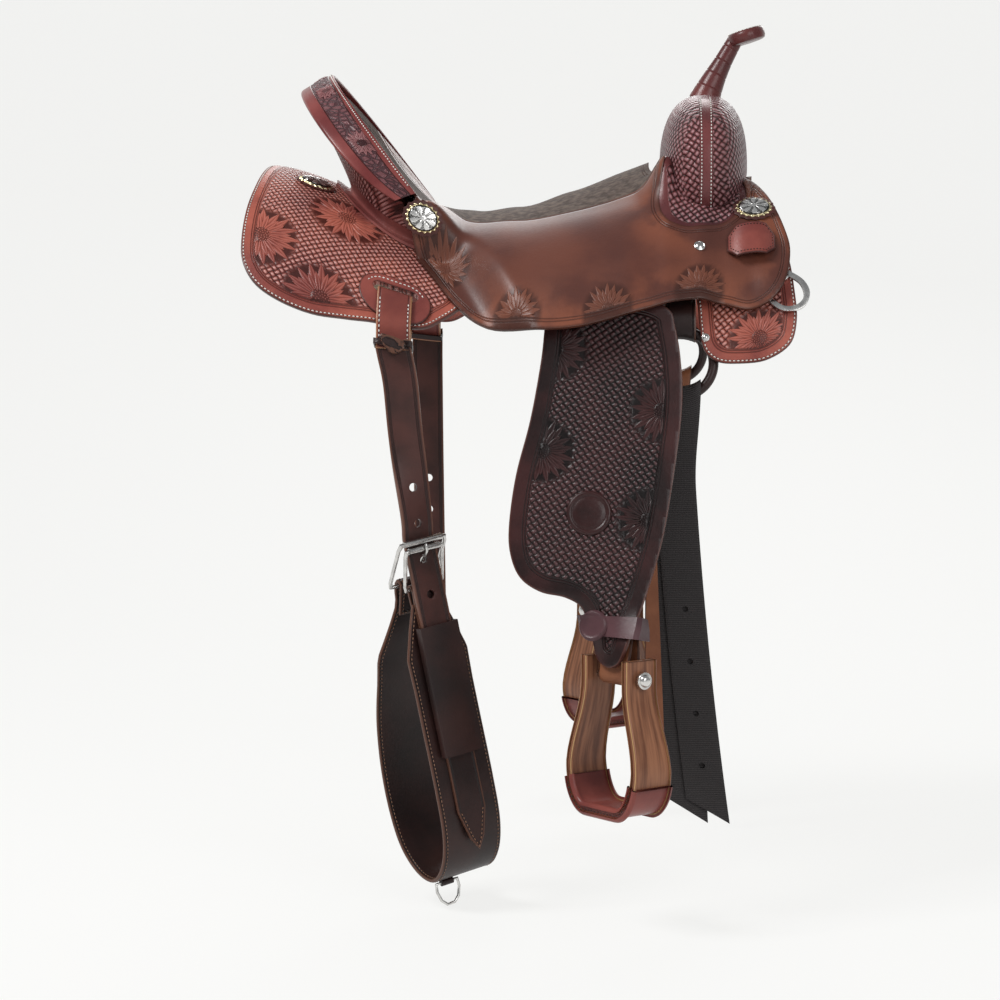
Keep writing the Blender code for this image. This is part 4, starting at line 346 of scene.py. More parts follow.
# The swell's darker red is partly its own tone and partly painted shade, as the swell's end lies in shade; its crest
# colour is a painted highlight.
SWELL_LEATHER_AND_SHADE = leather_finish("swell_tooled_and_shade", (0.150, 0.042, 0.042), (0.060, 0.016, 0.018), 0.30, 0.0018,
                               stamp_from=0.0146, crest=(0.46, 0.25, 0.27))
HORN_LEATHER = leather_finish("horn_leather", (0.175, 0.046, 0.042), (0.085, 0.024, 0.024), 0.28)
BACK_LEATHER = leather_finish("cantle_back_tooled", (0.270, 0.085, 0.074), (0.150, 0.038, 0.036), 0.34, 0.0016,
                              stamp_from=0.0146, crest=(0.62, 0.36, 0.35))
OXBLOOD_PLAIN = leather_finish("oxblood_plain", (0.250, 0.064, 0.050), (0.140, 0.032, 0.028), 0.33)
FOLD_LEATHER = leather_finish("fold_leather", (0.230, 0.060, 0.044), (0.140, 0.034, 0.028), 0.33, 0.0, (0.0035,),
                              edge=(0.42, 0.22, 0.11))
# The fender's dark brown is partly the leather's own dark colour and partly painted shade for the shade the fender
# hangs in; its crest colour is a painted highlight.
FENDER_BROWN_AND_SHADE = leather_finish("fender_tooled_and_shade", (0.044, 0.0135, 0.0130), (0.012, 0.0050, 0.0050), 0.32, 0.0018,
                              (0.0150, 0.0178), edge=(0.10, 0.035, 0.026), stamp_from=0.0186,
                              crest=(0.120, 0.056, 0.060))
HOBBLE_LEATHER = leather_finish("hobble_leather", (0.105, 0.046, 0.052), (0.050, 0.022, 0.026), 0.34, 0.0, (0.0030,))
# Dark brown for the cinch, rigging ring and small straps: partly the leather's own colour, partly painted shade for
# parts that hang in shade.
DARK_BROWN_AND_SHADE = leather_finish("dark_brown_and_shade", (0.034, 0.014, 0.012), (0.016, 0.0085, 0.0080), 0.38, 0.0, (0.0034,),
                            edge=(0.12, 0.050, 0.030))
BILLET_BROWN = leather_finish("billet_brown", (0.075, 0.027, 0.022), (0.032, 0.014, 0.012), 0.36, 0.0, (0.0034, 0.0052),
                              edge=(0.16, 0.070, 0.045))
RUSSET = leather_finish("russet", (0.25, 0.095, 0.045), (0.16, 0.055, 0.026), 0.50)
print("leathers:", ", ".join(m.name for m in bpy.data.materials if "_" in m.name))


# %% Other finishes
def fleece_finish():
    paint = Paint("woolskin", 0.95)
    body = paint.object_place()
    curl = paint.noise(body, 260.0, 5.0)
    clump = paint.noise(body, 60.0, 3.0)
    paint.show(Base_Color=paint.mixed(curl.rise(0.3, 0.7), (0.16, 0.11, 0.075), (0.42, 0.33, 0.24)))
    paint.bump(curl * 0.002 + clump * 0.003)
    return paint.material


def nylon_finish():
    paint = Paint("black_nylon", 0.55)
    u, v, _ = paint.parts(paint.flat_place())
    rib = (v * (2 * math.pi / 0.0021)).wave() * 0.5 + 0.5
    thread = (u * (2 * math.pi / 0.0017)).wave() * 0.5 + 0.5
    body = paint.object_place()
    fuzz = paint.noise(body, 700.0, 2.0)
    colour = paint.mixed(rib * 0.65 + thread * 0.2, (0.008, 0.007, 0.007), (0.050, 0.042, 0.042))
    paint.show(Base_Color=colour, Roughness=0.48 + fuzz * 0.2)
    paint.bump(rib * 0.00035 + thread * 0.0001 + fuzz * 0.0001)
    return paint.material


def wood_finish():
    """Laminated stirrup wood: plies along the bend, with pale layers at the edges."""
    paint = Paint("stirrup_laminate", 0.34)
    ply = paint.mark("relief")
    body = paint.object_place()
    streak = paint.noise(paint.turned(paint.flat_place(), (240.0, 14.0, 1.0)), 1.0, 4.0)
    colour = paint.mixed(streak.rise(0.3, 0.7), (0.150, 0.058, 0.032), (0.34, 0.150, 0.080))
    pale = ply.near(0.12, 0.07).most(ply.near(0.88, 0.07))
    colour = paint.mixed(pale * 0.85, colour, (0.55, 0.36, 0.15))
    dark = ply.near(0.5, 0.03).most(ply.near(0.3, 0.02)).most(ply.near(0.7, 0.02))
    colour = paint.mixed(dark * 0.5, colour, (0.05, 0.018, 0.01))
    fine = paint.noise(body, 500.0, 2.0)
    paint.show(Base_Color=colour, Roughness=0.28 + fine * 0.16)
    paint.bump(streak * 0.00008 + fine * 0.00005)
    return paint.material


def steel_finish(name, light, dark, roughness):
    paint = Paint(name, roughness, 1.0)
    body = paint.object_place()
    wear = paint.noise(body, 90.0, 4.0)
    scratch = paint.noise(paint.turned(body, (900.0, 120.0, 900.0)), 1.0, 2.0)
    paint.show(Base_Color=paint.mixed(wear.rise(0.35, 0.65), light, dark), Roughness=roughness - 0.06 + scratch * 0.14)
    paint.bump(scratch * 0.00002)
    return paint.material


def silver_finish():
    """Engraved silver with dark in its cuts and a gilt rope rim."""
    paint = Paint("engraved_silver", 0.26, 1.0)
    relief = paint.mark("relief")
    gilt = paint.mark("tooled")
    colour = paint.mixed(relief.rise(0.35, 0.92), (0.045, 0.042, 0.040), (0.80, 0.79, 0.77))
    colour = paint.mixed(gilt, colour, (0.72, 0.62, 0.38))
    body = paint.object_place()
    fine = paint.noise(body, 900.0, 2.0)
    paint.show(Base_Color=colour, Roughness=0.20 + fine * 0.16)
    paint.bump(fine * 0.00004)
    return paint.material


def thread_finish(name, colour):
    paint = Paint(name, 0.6)
    body = paint.object_place()
    ply = (paint.parts(paint.turned(body, (1, 1, 1), 0.7))[0] * (2 * math.pi / 0.0009)).wave() * 0.5 + 0.5
    dirt = paint.noise(body, 60.0, 3.0)
    paint.show(Base_Color=paint.mixed(dirt.rise(0.35, 0.7), colour, tuple(c * 0.72 for c in colour)))
    paint.bump(ply * 0.00008)
    return paint.material


def hide_finish(name, light, dark, rough):
    paint = Paint(name, rough)
    body = paint.object_place()
    blotch = paint.noise(body, 18.0, 5.0)
    fibre = paint.noise(body, 420.0, 3.0)
    paint.show(Base_Color=paint.mixed(blotch.rise(0.3, 0.7), light, dark), Roughness=rough - 0.1 + fibre * 0.2)
    paint.bump(fibre * 0.0003)
    return paint.material


WOOL = fleece_finish()
FOAM = hide_finish("ground_seat_felt", (0.50, 0.46, 0.38), (0.36, 0.33, 0.27), 0.9)
TREE_WOOD = hide_finish("rawhide", (0.135, 0.058, 0.038), (0.070, 0.028, 0.020), 0.5)
STIRRUP_WOOD = wood_finish()
NYLON = nylon_finish()
STAINLESS = steel_finish("stainless_steel", (0.70, 0.69, 0.67), (0.52, 0.51, 0.50), 0.24)
SILVER = silver_finish()
WHITE_THREAD = thread_finish("white_thread", (0.80, 0.77, 0.72))
TAN_THREAD = thread_finish("tan_thread", (0.30, 0.16, 0.10))
for node in frame["nodes"].values():
    node.data.materials.clear()
    node.data.materials.append(TREE_WOOD)

# %% [markdown]
# ## The form
#
# All leather lies on one form: the inner face of the skirts. A flat point has its place along the horse,
# the length of arc down the side, and a height over the form. The frame was cut on the same form, so
# the finer leather falls where the frame's leather is.

# %% Sizes of the form
GAP = 0.0003
LINING_GAP = 0.0007
GROUND_GAP = 0.0018
RIGHT = -1
LEFT = 1
FORM_ROOT_Z = -0.100
RIDGE_MID = 0.060
RIDGE_REAR_RISE = 0.092
RIDGE_FRONT_RISE = 0.075
REAR_FLAT = 0.030
REAR_RUN = 0.270
FRONT_RUN = 0.300
HALF_WIDTH_REAR = 0.250
HALF_WIDTH_FRONT_LOSS = 0.022
SKIRT_T = 0.0055
FLEECE_T = 0.0120
SEAT_T = 0.0050
GROUND_T = 0.0090
COVER_T = 0.0030
PLATE_T = 0.0025
FENDER_T = 0.0050
LOOP_T = 0.0035
STIRRUP_LEATHER_T = 0.0040
BILLET_T = 0.0045
FOLD_T = 0.0040
NYLON_T = 0.0028
CINCH_T = 0.0042
CHAPE_T = 0.0030
KEEPER_T = 0.0025
FINE = 0.0045
SHARP_EDGE = 40
PIECES = {}


# %% Small maths
def smooth(t):
    t = max(0.0, min(1.0, t))
    return t * t * (3.0 - 2.0 * t)


def mix(a, b, t):
    return a + (b - a) * t


def catmull(p0, p1, p2, p3, t):
    a = 2.0 * p1
    b = p2 - p0
    c = 2.0 * p0 - 5.0 * p1 + 4.0 * p2 - p3
    d = 3.0 * p1 - p0 - 3.0 * p2 + p3
    return 0.5 * (a + b * t + c * t * t + d * t * t * t)


def curved(points, steps=3, closed=True):
    """Points of a smooth line through the given ones; a point given twice is a corner."""
    pts = [Vector(p) for p in points]
    n = len(pts)
    out = []
    spans = range(n) if closed else range(n - 1)
    for i in spans:
        if closed:
            p0, p1, p2, p3 = pts[i - 1], pts[i], pts[(i + 1) % n], pts[(i + 2) % n]
        else:
            p0, p1, p2, p3 = pts[max(i - 1, 0)], pts[i], pts[i + 1], pts[min(i + 2, n - 1)]
        if (p2 - p1).length < 1e-6:
            continue
        for k in range(steps):
            out.append(catmull(p0, p1, p2, p3, k / steps))
    if not closed:
        out.append(pts[-1])
    return out


def circle(cx, cy, r, count=20):
    return [(cx + r * math.cos(2 * math.pi * k / count), cy + r * math.sin(2 * math.pi * k / count))
            for k in range(count)]


def ring_round(centre, right, r_right, up, r_up, sides):
    """Ring of points round a centre, in the plane of two directions."""
    turns = [2 * math.pi * j / sides for j in range(sides)]
    return [centre + right * (r_right * math.cos(a)) + up * (r_up * math.sin(a)) for a in turns]


def axes_at(origin, x_axis, y_axis, z_axis):
    """Matrix that places something at the origin along three axes."""
    matrix = Matrix((x_axis, y_axis, z_axis)).transposed().to_4x4()
    matrix.translation = origin
    return matrix


def round_slot(cx, cy, length, width, steps=12):
    r = width / 2
    half = length / 2 - r
    ends = [(half, -90), (-half, 90)]
    return [(cx + side + r * math.cos(math.radians(start + 180 * k / steps)),
             cy + r * math.sin(math.radians(start + 180 * k / steps)))
            for side, start in ends for k in range(steps + 1)]


# %% Form of the tree
def ridge_z(x):
    rear = RIDGE_REAR_RISE * smooth((-x - REAR_FLAT) / REAR_RUN)
    front = RIDGE_FRONT_RISE * smooth(x / FRONT_RUN)
    return RIDGE_MID + rear + front


def half_width(x):
    return HALF_WIDTH_REAR - HALF_WIDTH_FRONT_LOSS * smooth((x + 0.05) / FRONT_RUN)


@functools.lru_cache(maxsize=None)
def arc_place(a, b, s):
    t = 0.0
    steps = 16
    for _ in range(steps):
        speed = math.hypot(a * math.cos(t), b * math.sin(t))
        middle = t + s / steps / speed / 2
        t += s / steps / math.hypot(a * math.cos(middle), b * math.sin(middle))
    normal = Vector((b * math.sin(t), a * math.cos(t))).normalized()
    return a * math.sin(t), b * math.cos(t), normal


def section(x, s):
    """Place (out, z) and outward normal at the arc length s down one side of the form at x."""
    out, rise, normal = arc_place(round(half_width(x), 7), round(ridge_z(x) - FORM_ROOT_Z, 7), round(s, 7))
    return out, FORM_ROOT_Z + rise, normal


def on_form(side):
    """Wraps a flat point (x, s, h) on one side of the form; a negative s crosses to the other side."""
    def place(x, s, h):
        out, z, normal = section(x, abs(s))
        away = side if s >= 0 else -side
        return Vector((x, away * (out + normal.x * h), z + normal.y * h))
    return place


# %% Face of the seat
CANTLE_CORNER_X = -0.110
CANTLE_HALF_WIDTH = 0.165
RIM_REAR_RUN = 0.142
RIM_REAR_Z = 0.105
RIM_BOW = 0.65
RIM_REAR_RISE = 0.136
RIM_FRONT_X = -0.105
RIM_FRONT_RUN = 0.113
RIM_FRONT_HALF_WIDTH = CANTLE_HALF_WIDTH - 0.009
RIM_FRONT_Z = 0.112
RIM_FRONT_RISE = 0.149
BINDING_T = 0.0055
DISH_FRONT_X = -0.050
DISH_FLOOR_Z = 0.103
DISH_RISE = 0.153
DISH_RUN = 0.168
DISH_POWER = 2.6
SEAT_STATIONS = (
    (-0.100, 0.035, 0.052, 0.030),
    (-0.050, 0.042, 0.043, 0.034),
    (0.000, 0.048, 0.047, 0.040),
    (0.060, 0.058, 0.050, 0.043),
    (0.120, 0.062, 0.049, 0.043),
    (0.165, 0.062, 0.046, 0.039),
    (0.200, 0.056, 0.038, 0.030),
    (0.235, 0.042, 0.0265, 0.018),
    (0.265, 0.030, 0.0245, 0.0135),
    (0.320, 0.012, 0.0115, 0.0115),
)
THIGH_S = 0.120
EDGE_S = 0.260
REST_H = 0.0115
EAR_X = 0.1680
EAR_S = 0.0980
EAR_RISE = 0.036
DEE_X = 0.2900
DEE_S = 0.2480
DEE_RISE = 0.0062


def station_height(x, s):
    rows = SEAT_STATIONS
    low = rows[0]
    high = rows[0]
    for a, b in zip(rows, rows[1:]):
        if a[0] <= x:
            low, high = a, b
    t = smooth((x - low[0]) / (high[0] - low[0])) if high is not low else 0.0
    centre, thigh, edge = (mix(low[k], high[k], t) for k in (1, 2, 3))
    if s > EDGE_S:
        return edge
    if s < THIGH_S:
        return mix(centre, thigh, smooth(s / THIGH_S))
    return mix(thigh, edge, smooth((s - THIGH_S) / (EDGE_S - THIGH_S)))


def dish_z(x, out):
    """Height of the cantle's dish at the plan point (x, out)."""
    floor = DISH_FLOOR_Z + DISH_RISE * max(0.0, (DISH_FRONT_X - x) / DISH_RUN) ** DISH_POWER
    c = max(0.0, min(0.985, (RIM_FRONT_X - x) / RIM_FRONT_RUN))
    rim_z = RIM_FRONT_Z + RIM_FRONT_RISE * c
    rim_out = RIM_FRONT_HALF_WIDTH * math.sqrt(1 - c * c)
    return mix(floor, max(floor, rim_z), min(1.3, (out / rim_out) ** 2))


def seat_height(x, s):
    """Height of the seat leather's outer face above the form."""
    s = abs(s)
    height = station_height(x, s)
    rear_edge_x = RIM_FRONT_X + (s - 0.13) * 0.60
    rest = smooth((s - 0.135) / 0.03) * (1 - smooth((x - rear_edge_x) / 0.055))
    height = mix(height, REST_H, rest)
    dish = smooth((-0.055 - x) / 0.045) * (1 - smooth((s - 0.135) / 0.03))
    if dish > 0:
        out, z, normal = section(x, s)
        h = height
        for _ in range(6):
            h = (dish_z(x, out + normal.x * h) - z) / normal.y
        height = mix(height, h, dish)
    ear = math.exp(-((x - EAR_X) / 0.018) ** 2 - ((s - EAR_S) / 0.026) ** 2)
    over_dee = math.exp(-((x - DEE_X) / 0.030) ** 2 - ((s - DEE_S) / 0.030) ** 2)
    return height + EAR_RISE * ear + DEE_RISE * over_dee


def under_seat(depth):
    """Wraps a flat point whose height is measured from a layer the given depth under the seat's face."""
    form = on_form(RIGHT)

    def place(x, s, h):
        return form(x, s, seat_height(x, s) - depth + h)
    return place


def over_seat(side):
    """Wraps a flat point whose height is measured from the seat's face, on either side."""
    face = under_seat(0.0)

    def place(x, s, h):
        return face(x, s if side == RIGHT else -s, h)
    return place


# %% [markdown]
# ## Leather shop
#
# A piece of leather is a flat outline with a thickness. Its cut edges are rounded while it is flat, it is
# ruled into small squares, and then every corner of the squares is wrapped on the form. Each corner
# remembers its distance from the cut edge, and the flat place is kept as the piece's own map.

# %% Finishing a mesh
def face_outward(bm):
    if bm.calc_volume(signed=True) < 0:
        bmesh.ops.reverse_faces(bm, faces=bm.faces)


def mesh_of(name, bm):
    mesh = bpy.data.meshes.new(name)
    bm.to_mesh(mesh)
    bm.free()
    return mesh


def finish(name, bm, mat):
    """A finished mesh as a piece; one that is named like a CAD node stands for it."""
    bmesh.ops.recalc_face_normals(bm, faces=bm.faces)
    face_outward(bm)
    for mark, value in (("rim", 0.05), ("tooled", 0.0), ("relief", 0.0)):
        if mark not in bm.verts.layers.float:
            layer = bm.verts.layers.float.new(mark)
            for vert in bm.verts:
                vert[layer] = value
    if "flat" not in bm.loops.layers.uv:
        bm.loops.layers.uv.new("flat")
    piece = put(name + "_finished" if name in BODY_OF else name, mesh_of(name, bm), mat)
    piece.data.set_sharp_from_angle(angle=math.radians(SHARP_EDGE))
    if name in BODY_OF:
        PIECES[name] = piece
    return piece


# %% Cutting and wrapping
def flat_mesh(outline, holes, thickness, rounding=0.0):
    """A flat blank: outline and holes as a 2D curve, extruded, with each face of it one polygon."""
    curve = bpy.data.curves.new("blank", "CURVE")
    curve.dimensions = "2D"
    curve.fill_mode = "BOTH"
    curve.extrude = thickness / 2
    for loop in (outline, *holes):
        spline = curve.splines.new("POLY")
        spline.points.add(len(loop) - 1)
        for point, co in zip(spline.points, loop):
            point.co = (co[0], co[1], 0.0, 1.0)
        spline.use_cyclic_u = True
    blank = bpy.data.objects.new("blank", curve)
    bpy.context.scene.collection.objects.link(blank)
    evaluated = blank.evaluated_get(bpy.context.evaluated_depsgraph_get())
    mesh = bpy.data.meshes.new_from_object(evaluated)
    bm = bmesh.new()
    bm.from_mesh(mesh)
    bpy.data.objects.remove(blank)
    bpy.data.meshes.remove(mesh)
    bmesh.ops.remove_doubles(bm, verts=bm.verts, dist=1e-6)
    bmesh.ops.dissolve_limit(bm, angle_limit=math.radians(0.5), verts=bm.verts[:], edges=bm.edges[:],
                             delimit={"NORMAL"})
    bmesh.ops.translate(bm, verts=bm.verts, vec=(0, 0, thickness / 2))
    if rounding:
        bm.normal_update()
        rims = [e for e in bm.edges if len(e.link_faces) == 2
                and abs(abs(e.link_faces[0].normal.z) - abs(e.link_faces[1].normal.z)) > 0.5]
        bmesh.ops.bevel(bm, geom=rims, offset=rounding, segments=2, profile=0.5, affect="EDGES", clamp_overlap=True)
    return bm


def score(bm, lines_u, lines_v):
    """Rules the blank along both directions; only what still lies beyond a line is cut by the next one."""
    for axis, lines in ((0, lines_u), (1, lines_v)):
        rest = bm.verts[:] + bm.edges[:] + bm.faces[:]
        for value in sorted(lines):
            co = Vector((0, 0, 0))
            co[axis] = value
            no = Vector((0, 0, 0))
            no[axis] = 1.0
            cut = bmesh.ops.bisect_plane(bm, geom=rest, dist=1e-7, plane_co=co, plane_no=no)
            rest = []
            for item in cut["geom"]:
                corners = (item,) if isinstance(item, bmesh.types.BMVert) else item.verts
                if min(v.co[axis] for v in corners) > value - 2e-7:
                    rest.append(item)


def ruled(low, high, step):
    """Lines between low and high about one step apart."""
    count = max(1, round((high - low) / step))
    return [low + (high - low) * k / count for k in range(1, count)]


def rim_distance(outline):
    """Function that gives the distance of flat points from the outline."""
    ring = np.array([tuple(p)[:2] for p in outline], float)
    ahead = np.roll(ring, -1, axis=0) - ring
    length2 = np.maximum((ahead ** 2).sum(1), 1e-12)

    def distance(points):
        points = np.asarray(points, float).reshape(-1, 1, 2)
        t = np.clip(((points - ring) * ahead).sum(2) / length2, 0, 1)
        gap = points - ring - ahead * t[..., None]
        return np.sqrt((gap ** 2).sum(2)).min(1)
    return distance


def leather(name, mat, outline, thickness, place, step_u=FINE, step_v=FINE, holes=(), flowers=(), rounding=None,
            scale_v=1.0):
    """One piece of leather: cut flat, edges rounded, ruled, marked and wrapped."""
    us = [p[0] for p in outline]
    vs = [p[1] for p in outline]
    if rounding is None:
        rounding = min(0.0014, thickness * 0.38) if scale_v == 1.0 else 0.0
    bm = flat_mesh(outline, holes, thickness, rounding)
    score(bm, ruled(min(us), max(us), step_u), ruled(min(vs), max(vs), step_v))
    bmesh.ops.triangulate(bm, faces=[f for f in bm.faces if len(f.verts) > 4])
    bm.verts.ensure_lookup_table()
    flat = np.array([v.co for v in bm.verts], float).reshape(-1, 3)
    stretched = [(p[0], p[1] * scale_v) for p in outline]
    rims = rim_distance(stretched)(flat[:, :2] * (1.0, scale_v))
    rim = bm.verts.layers.float.new("rim")
    tooled = bm.verts.layers.float.new("tooled")
    bm.verts.layers.float.new("relief")
    uv = bm.loops.layers.uv.new("flat")
    for face in bm.faces:
        for loop in face.loops:
            loop[uv].uv = (loop.vert.co.x, loop.vert.co.y * scale_v)
    for vert, distance in zip(bm.verts, rims):
        u, v, _ = vert.co
        vert[rim] = distance
        carved = 0.0
        for flower_u, flower_v, radius in flowers:
            away = math.hypot(u - flower_u, v - flower_v)
            carved = max(carved, 1 - smooth((away - radius * 0.90) / (radius * 0.14)))
        vert[tooled] = carved
        vert.co = place(*vert.co)
    return finish(name, bm, mat)


# %% Straps along a path
class Path:
    """A smooth line through points, asked by its length."""

    def __init__(self, points, steps=10):
        self.points = curved(points, steps * 2, closed=False)
        self.lengths = [0.0]
        for a, b in zip(self.points, self.points[1:]):
            self.lengths.append(self.lengths[-1] + (b - a).length)
        self.length = self.lengths[-1]

    def at(self, length):
        i = min(max(bisect.bisect_left(self.lengths, length) - 1, 0), len(self.points) - 2)
        a, b = self.points[i], self.points[i + 1]
        before = self.points[max(i - 1, 0)]
        after = self.points[min(i + 2, len(self.points) - 1)]
        t = (length - self.lengths[i]) / (self.lengths[i + 1] - self.lengths[i])
        tangent = mix((b - before).normalized(), (after - a).normalized(), max(0.0, min(1.0, t))).normalized()
        return a + (b - a) * t, tangent


def ribbon(path, width_of, flip=1):
    """Wraps a strap: u across along width_of(length), v along the path, h to one side of it."""
    def place(u, v, h):
        point, tangent = path.at(v)
        across = width_of(v)
        across = (across - tangent * across.dot(tangent)).normalized()
        return point + across * u + across.cross(tangent) * (h * flip)
    return place


def section_ribbon(points, side, centre_x):
    """Wraps a strap whose path is given as (s, h) on the form: u along x, v along the path."""
    path = Path([Vector((s, h, 0)) for s, h in points])
    form = on_form(side)

    def place(u, v, h):
        point, tangent = path.at(v)
        level = FOLD_SLANT * u * max(0.0, point.x - SLOT_S) / (FOLD_END_S - SLOT_S)
        return form(centre_x + u, point.x + level - tangent.y * h, point.y + tangent.x * h)
    return place, path


def strap_outline(width, length, tip=0.0, start=0.0):
    """A strap from v = start to length, ending in a rounded point when tip is given."""
    half = width / 2
    points = [(-half, start), (half, start)]
    if not tip:
        return points + [(half, length), (-half, length)]
    steps = 18
    arc = []
    for k in range(steps + 1):
        angle = math.pi * k / steps
        arc.append((half * math.cos(angle), length - tip + tip * math.sin(angle)))
    return points + arc


def loft(name, mat, rings, closed=False):
    """A solid through rings of equal count; it closes on itself, or is capped at both ends."""
    bm = bmesh.new()
    uv = bm.loops.layers.uv.new("flat")
    rows = [[bm.verts.new(co) for co in ring] for ring in rings]
    count = len(rings[0])
    round_at = [0.0]
    for k in range(count):
        round_at.append(round_at[-1] + (Vector(rings[0][(k + 1) % count]) - Vector(rings[0][k])).length)
    along_at = [0.0]
    for low, high in zip(rings, [*rings[1:], rings[0]]):
        along_at.append(along_at[-1] + max((Vector(b) - Vector(a)).length for a, b in zip(low, high)))
    pairs = [(k, k + 1) for k in range(len(rows) - 1)]
    if closed:
        pairs.append((len(rows) - 1, 0))
    for low, high in pairs:
        for k in range(count):
            j = (k + 1) % count
            face = bm.faces.new((rows[low][k], rows[low][j], rows[high][j], rows[high][k]))
            for loop, (r, a) in zip(face.loops, ((k, low), (k + 1, low), (k + 1, low + 1), (k, low + 1))):
                loop[uv].uv = (round_at[r], along_at[a])
    if not closed:
        bm.faces.new(rows[0][::-1])
        bm.faces.new(rows[-1])
    return finish(name, bm, mat)


def boolean(obj, cutter, operation="DIFFERENCE"):
    mod = obj.modifiers.new("cut", "BOOLEAN")
    mod.object = cutter
    mod.operation = operation
    mod.solver = "EXACT"
    apply_modifiers(obj)
    bpy.data.objects.remove(cutter)


def apply_modifiers(piece):
    bpy.context.view_layer.update()
    bpy.context.view_layer.objects.active = piece
    for modifier in list(piece.modifiers):
        bpy.ops.object.modifier_apply(modifier=modifier.name)


def shade(piece):
    piece.data.shade_smooth()
    piece.data.set_sharp_from_angle(angle=math.radians(SHARP_EDGE))


# %% [markdown]
# ## Stitches and carved flowers
#
# White stitches run inside many edges. Each is a small thread capsule that rises from one hole and dives
# into the next. The flowers are carved sunflowers: two rings of veined petals round a seeded disc. They
# are shaped here as real relief, and sink away where a border cuts them off.


# %% Stitches
def inset_path(outline, inset, keep=None):
    """The outline moved inwards, as one or more runs of points that the keep test lets through."""
    pts = [Vector((p[0], p[1])) for p in outline]
    area = sum(a.x * b.y - b.x * a.y for a, b in zip(pts, pts[1:] + pts[:1]))
    turn = 1 if area > 0 else -1
    moved = []
    for k, p in enumerate(pts):
        along = (pts[(k + 1) % len(pts)] - pts[k - 1])
        if along.length < 1e-9:
            along = Vector((1, 0))
        along.normalize()
        moved.append((p, p + Vector((-along.y, along.x)) * (inset * turn)))
    runs = [[]]
    for p, q in [*moved, moved[0]]:
        if keep is None or keep(p.x, p.y):
            runs[-1].append(q)
        elif runs[-1]:
            runs.append([])
    return [run for run in runs if len(run) > 1]


def stitches(name, body, runs, place, height, pitch=0.0046, mat=None, radius=0.00068):
    """Thread capsules along flat runs, standing on the face at the given height."""
    points = []
    faces = []
    sides = 5
    profile = ((-0.50, 0.25), (-0.30, 0.95), (0.0, 1.1), (0.30, 0.95), (0.50, 0.25))
    for run in runs:
        lengths = [0.0]
        for a, b in zip(run, run[1:]):
            lengths.append(lengths[-1] + (b - a).length)
        count = int(lengths[-1] / pitch)
        for n in range(count):
            middle = (n + 0.5) * lengths[-1] / count
            k = min(bisect.bisect_right(lengths, middle) - 1, len(lengths) - 2)
            t = (middle - lengths[k]) / max(1e-9, lengths[k + 1] - lengths[k])
            at = run[k].lerp(run[k + 1], t)
            along = (run[k + 1] - run[k]).normalized() * pitch * 0.62
            start = place(at.x - along.x / 2, at.y - along.y / 2, height)
            end = place(at.x + along.x / 2, at.y + along.y / 2, height)
            up = (place(at.x, at.y, height + 0.002) - place(at.x, at.y, height)).normalized()
            line = end - start
            across = line.cross(up).normalized()
            first = len(points)
            for share, thick in profile:
                centre = (start + end) / 2 + line * share + up * (radius * 0.35 * (1 - (share * 2) ** 2))
                for j in range(sides):
                    a = 2 * math.pi * j / sides
                    points.append(centre + across * (math.cos(a) * radius * thick)
                                  + up * (math.sin(a) * radius * thick))
            rows = len(profile)
            for r in range(rows - 1):
                for j in range(sides):
                    jj = (j + 1) % sides
                    faces.append((first + r * sides + j, first + r * sides + jj,
                                  first + (r + 1) * sides + jj, first + (r + 1) * sides + j))
            faces.append(tuple(first + j for j in reversed(range(sides))))
            faces.append(tuple(first + (rows - 1) * sides + j for j in range(sides)))
    mesh = bpy.data.meshes.new(name)
    mesh.from_pydata(points, [], faces)
    bm = bmesh.new()
    bm.from_mesh(mesh)
    bmesh.ops.recalc_face_normals(bm, faces=bm.faces)
    bm.to_mesh(mesh)
    bm.free()
    thread = put(name, mesh, mat or WHITE_THREAD)
    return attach(thread, body)


# %% Flowers
def patch(bm, marks, grid, place, height, hold):
    """A small relief from a grid of (u, v, rise, relief), wrapped on the face."""
    relief, tooled, rim = marks
    uv = bm.loops.layers.uv["flat"]
    tops = []
    flat = {}
    for row in grid:
        tops.append([])
        for u, v, rise, crest in row:
            held = hold(u, v)
            vert = bm.verts.new(place(u, v, height + mix(-0.0007, rise, held)))
            # The relief mark places painted shade on the low ground and a painted highlight on the tops, in the
            # finishes that read it.
            vert[relief] = crest * held
            vert[tooled] = 1.0
            vert[rim] = 0.05
            flat[vert] = (u, v, held)
            tops[-1].append(vert)
    for a, b in zip(tops, tops[1:]):
        for k in range(len(a) - 1):
            corners = (a[k], a[k + 1], b[k + 1], b[k])
            if max(flat[corner][2] for corner in corners) > 0.0:
                for loop in bm.faces.new(corners).loops:
                    loop[uv].uv = flat[loop.vert][:2]


def relief_blank():
    """An empty mesh with the marks and the map that a relief needs."""
    bm = bmesh.new()
    marks = [bm.verts.layers.float.new(mark) for mark in ("relief", "tooled", "rim")]
    bm.loops.layers.uv.new("flat")
    return bm, marks


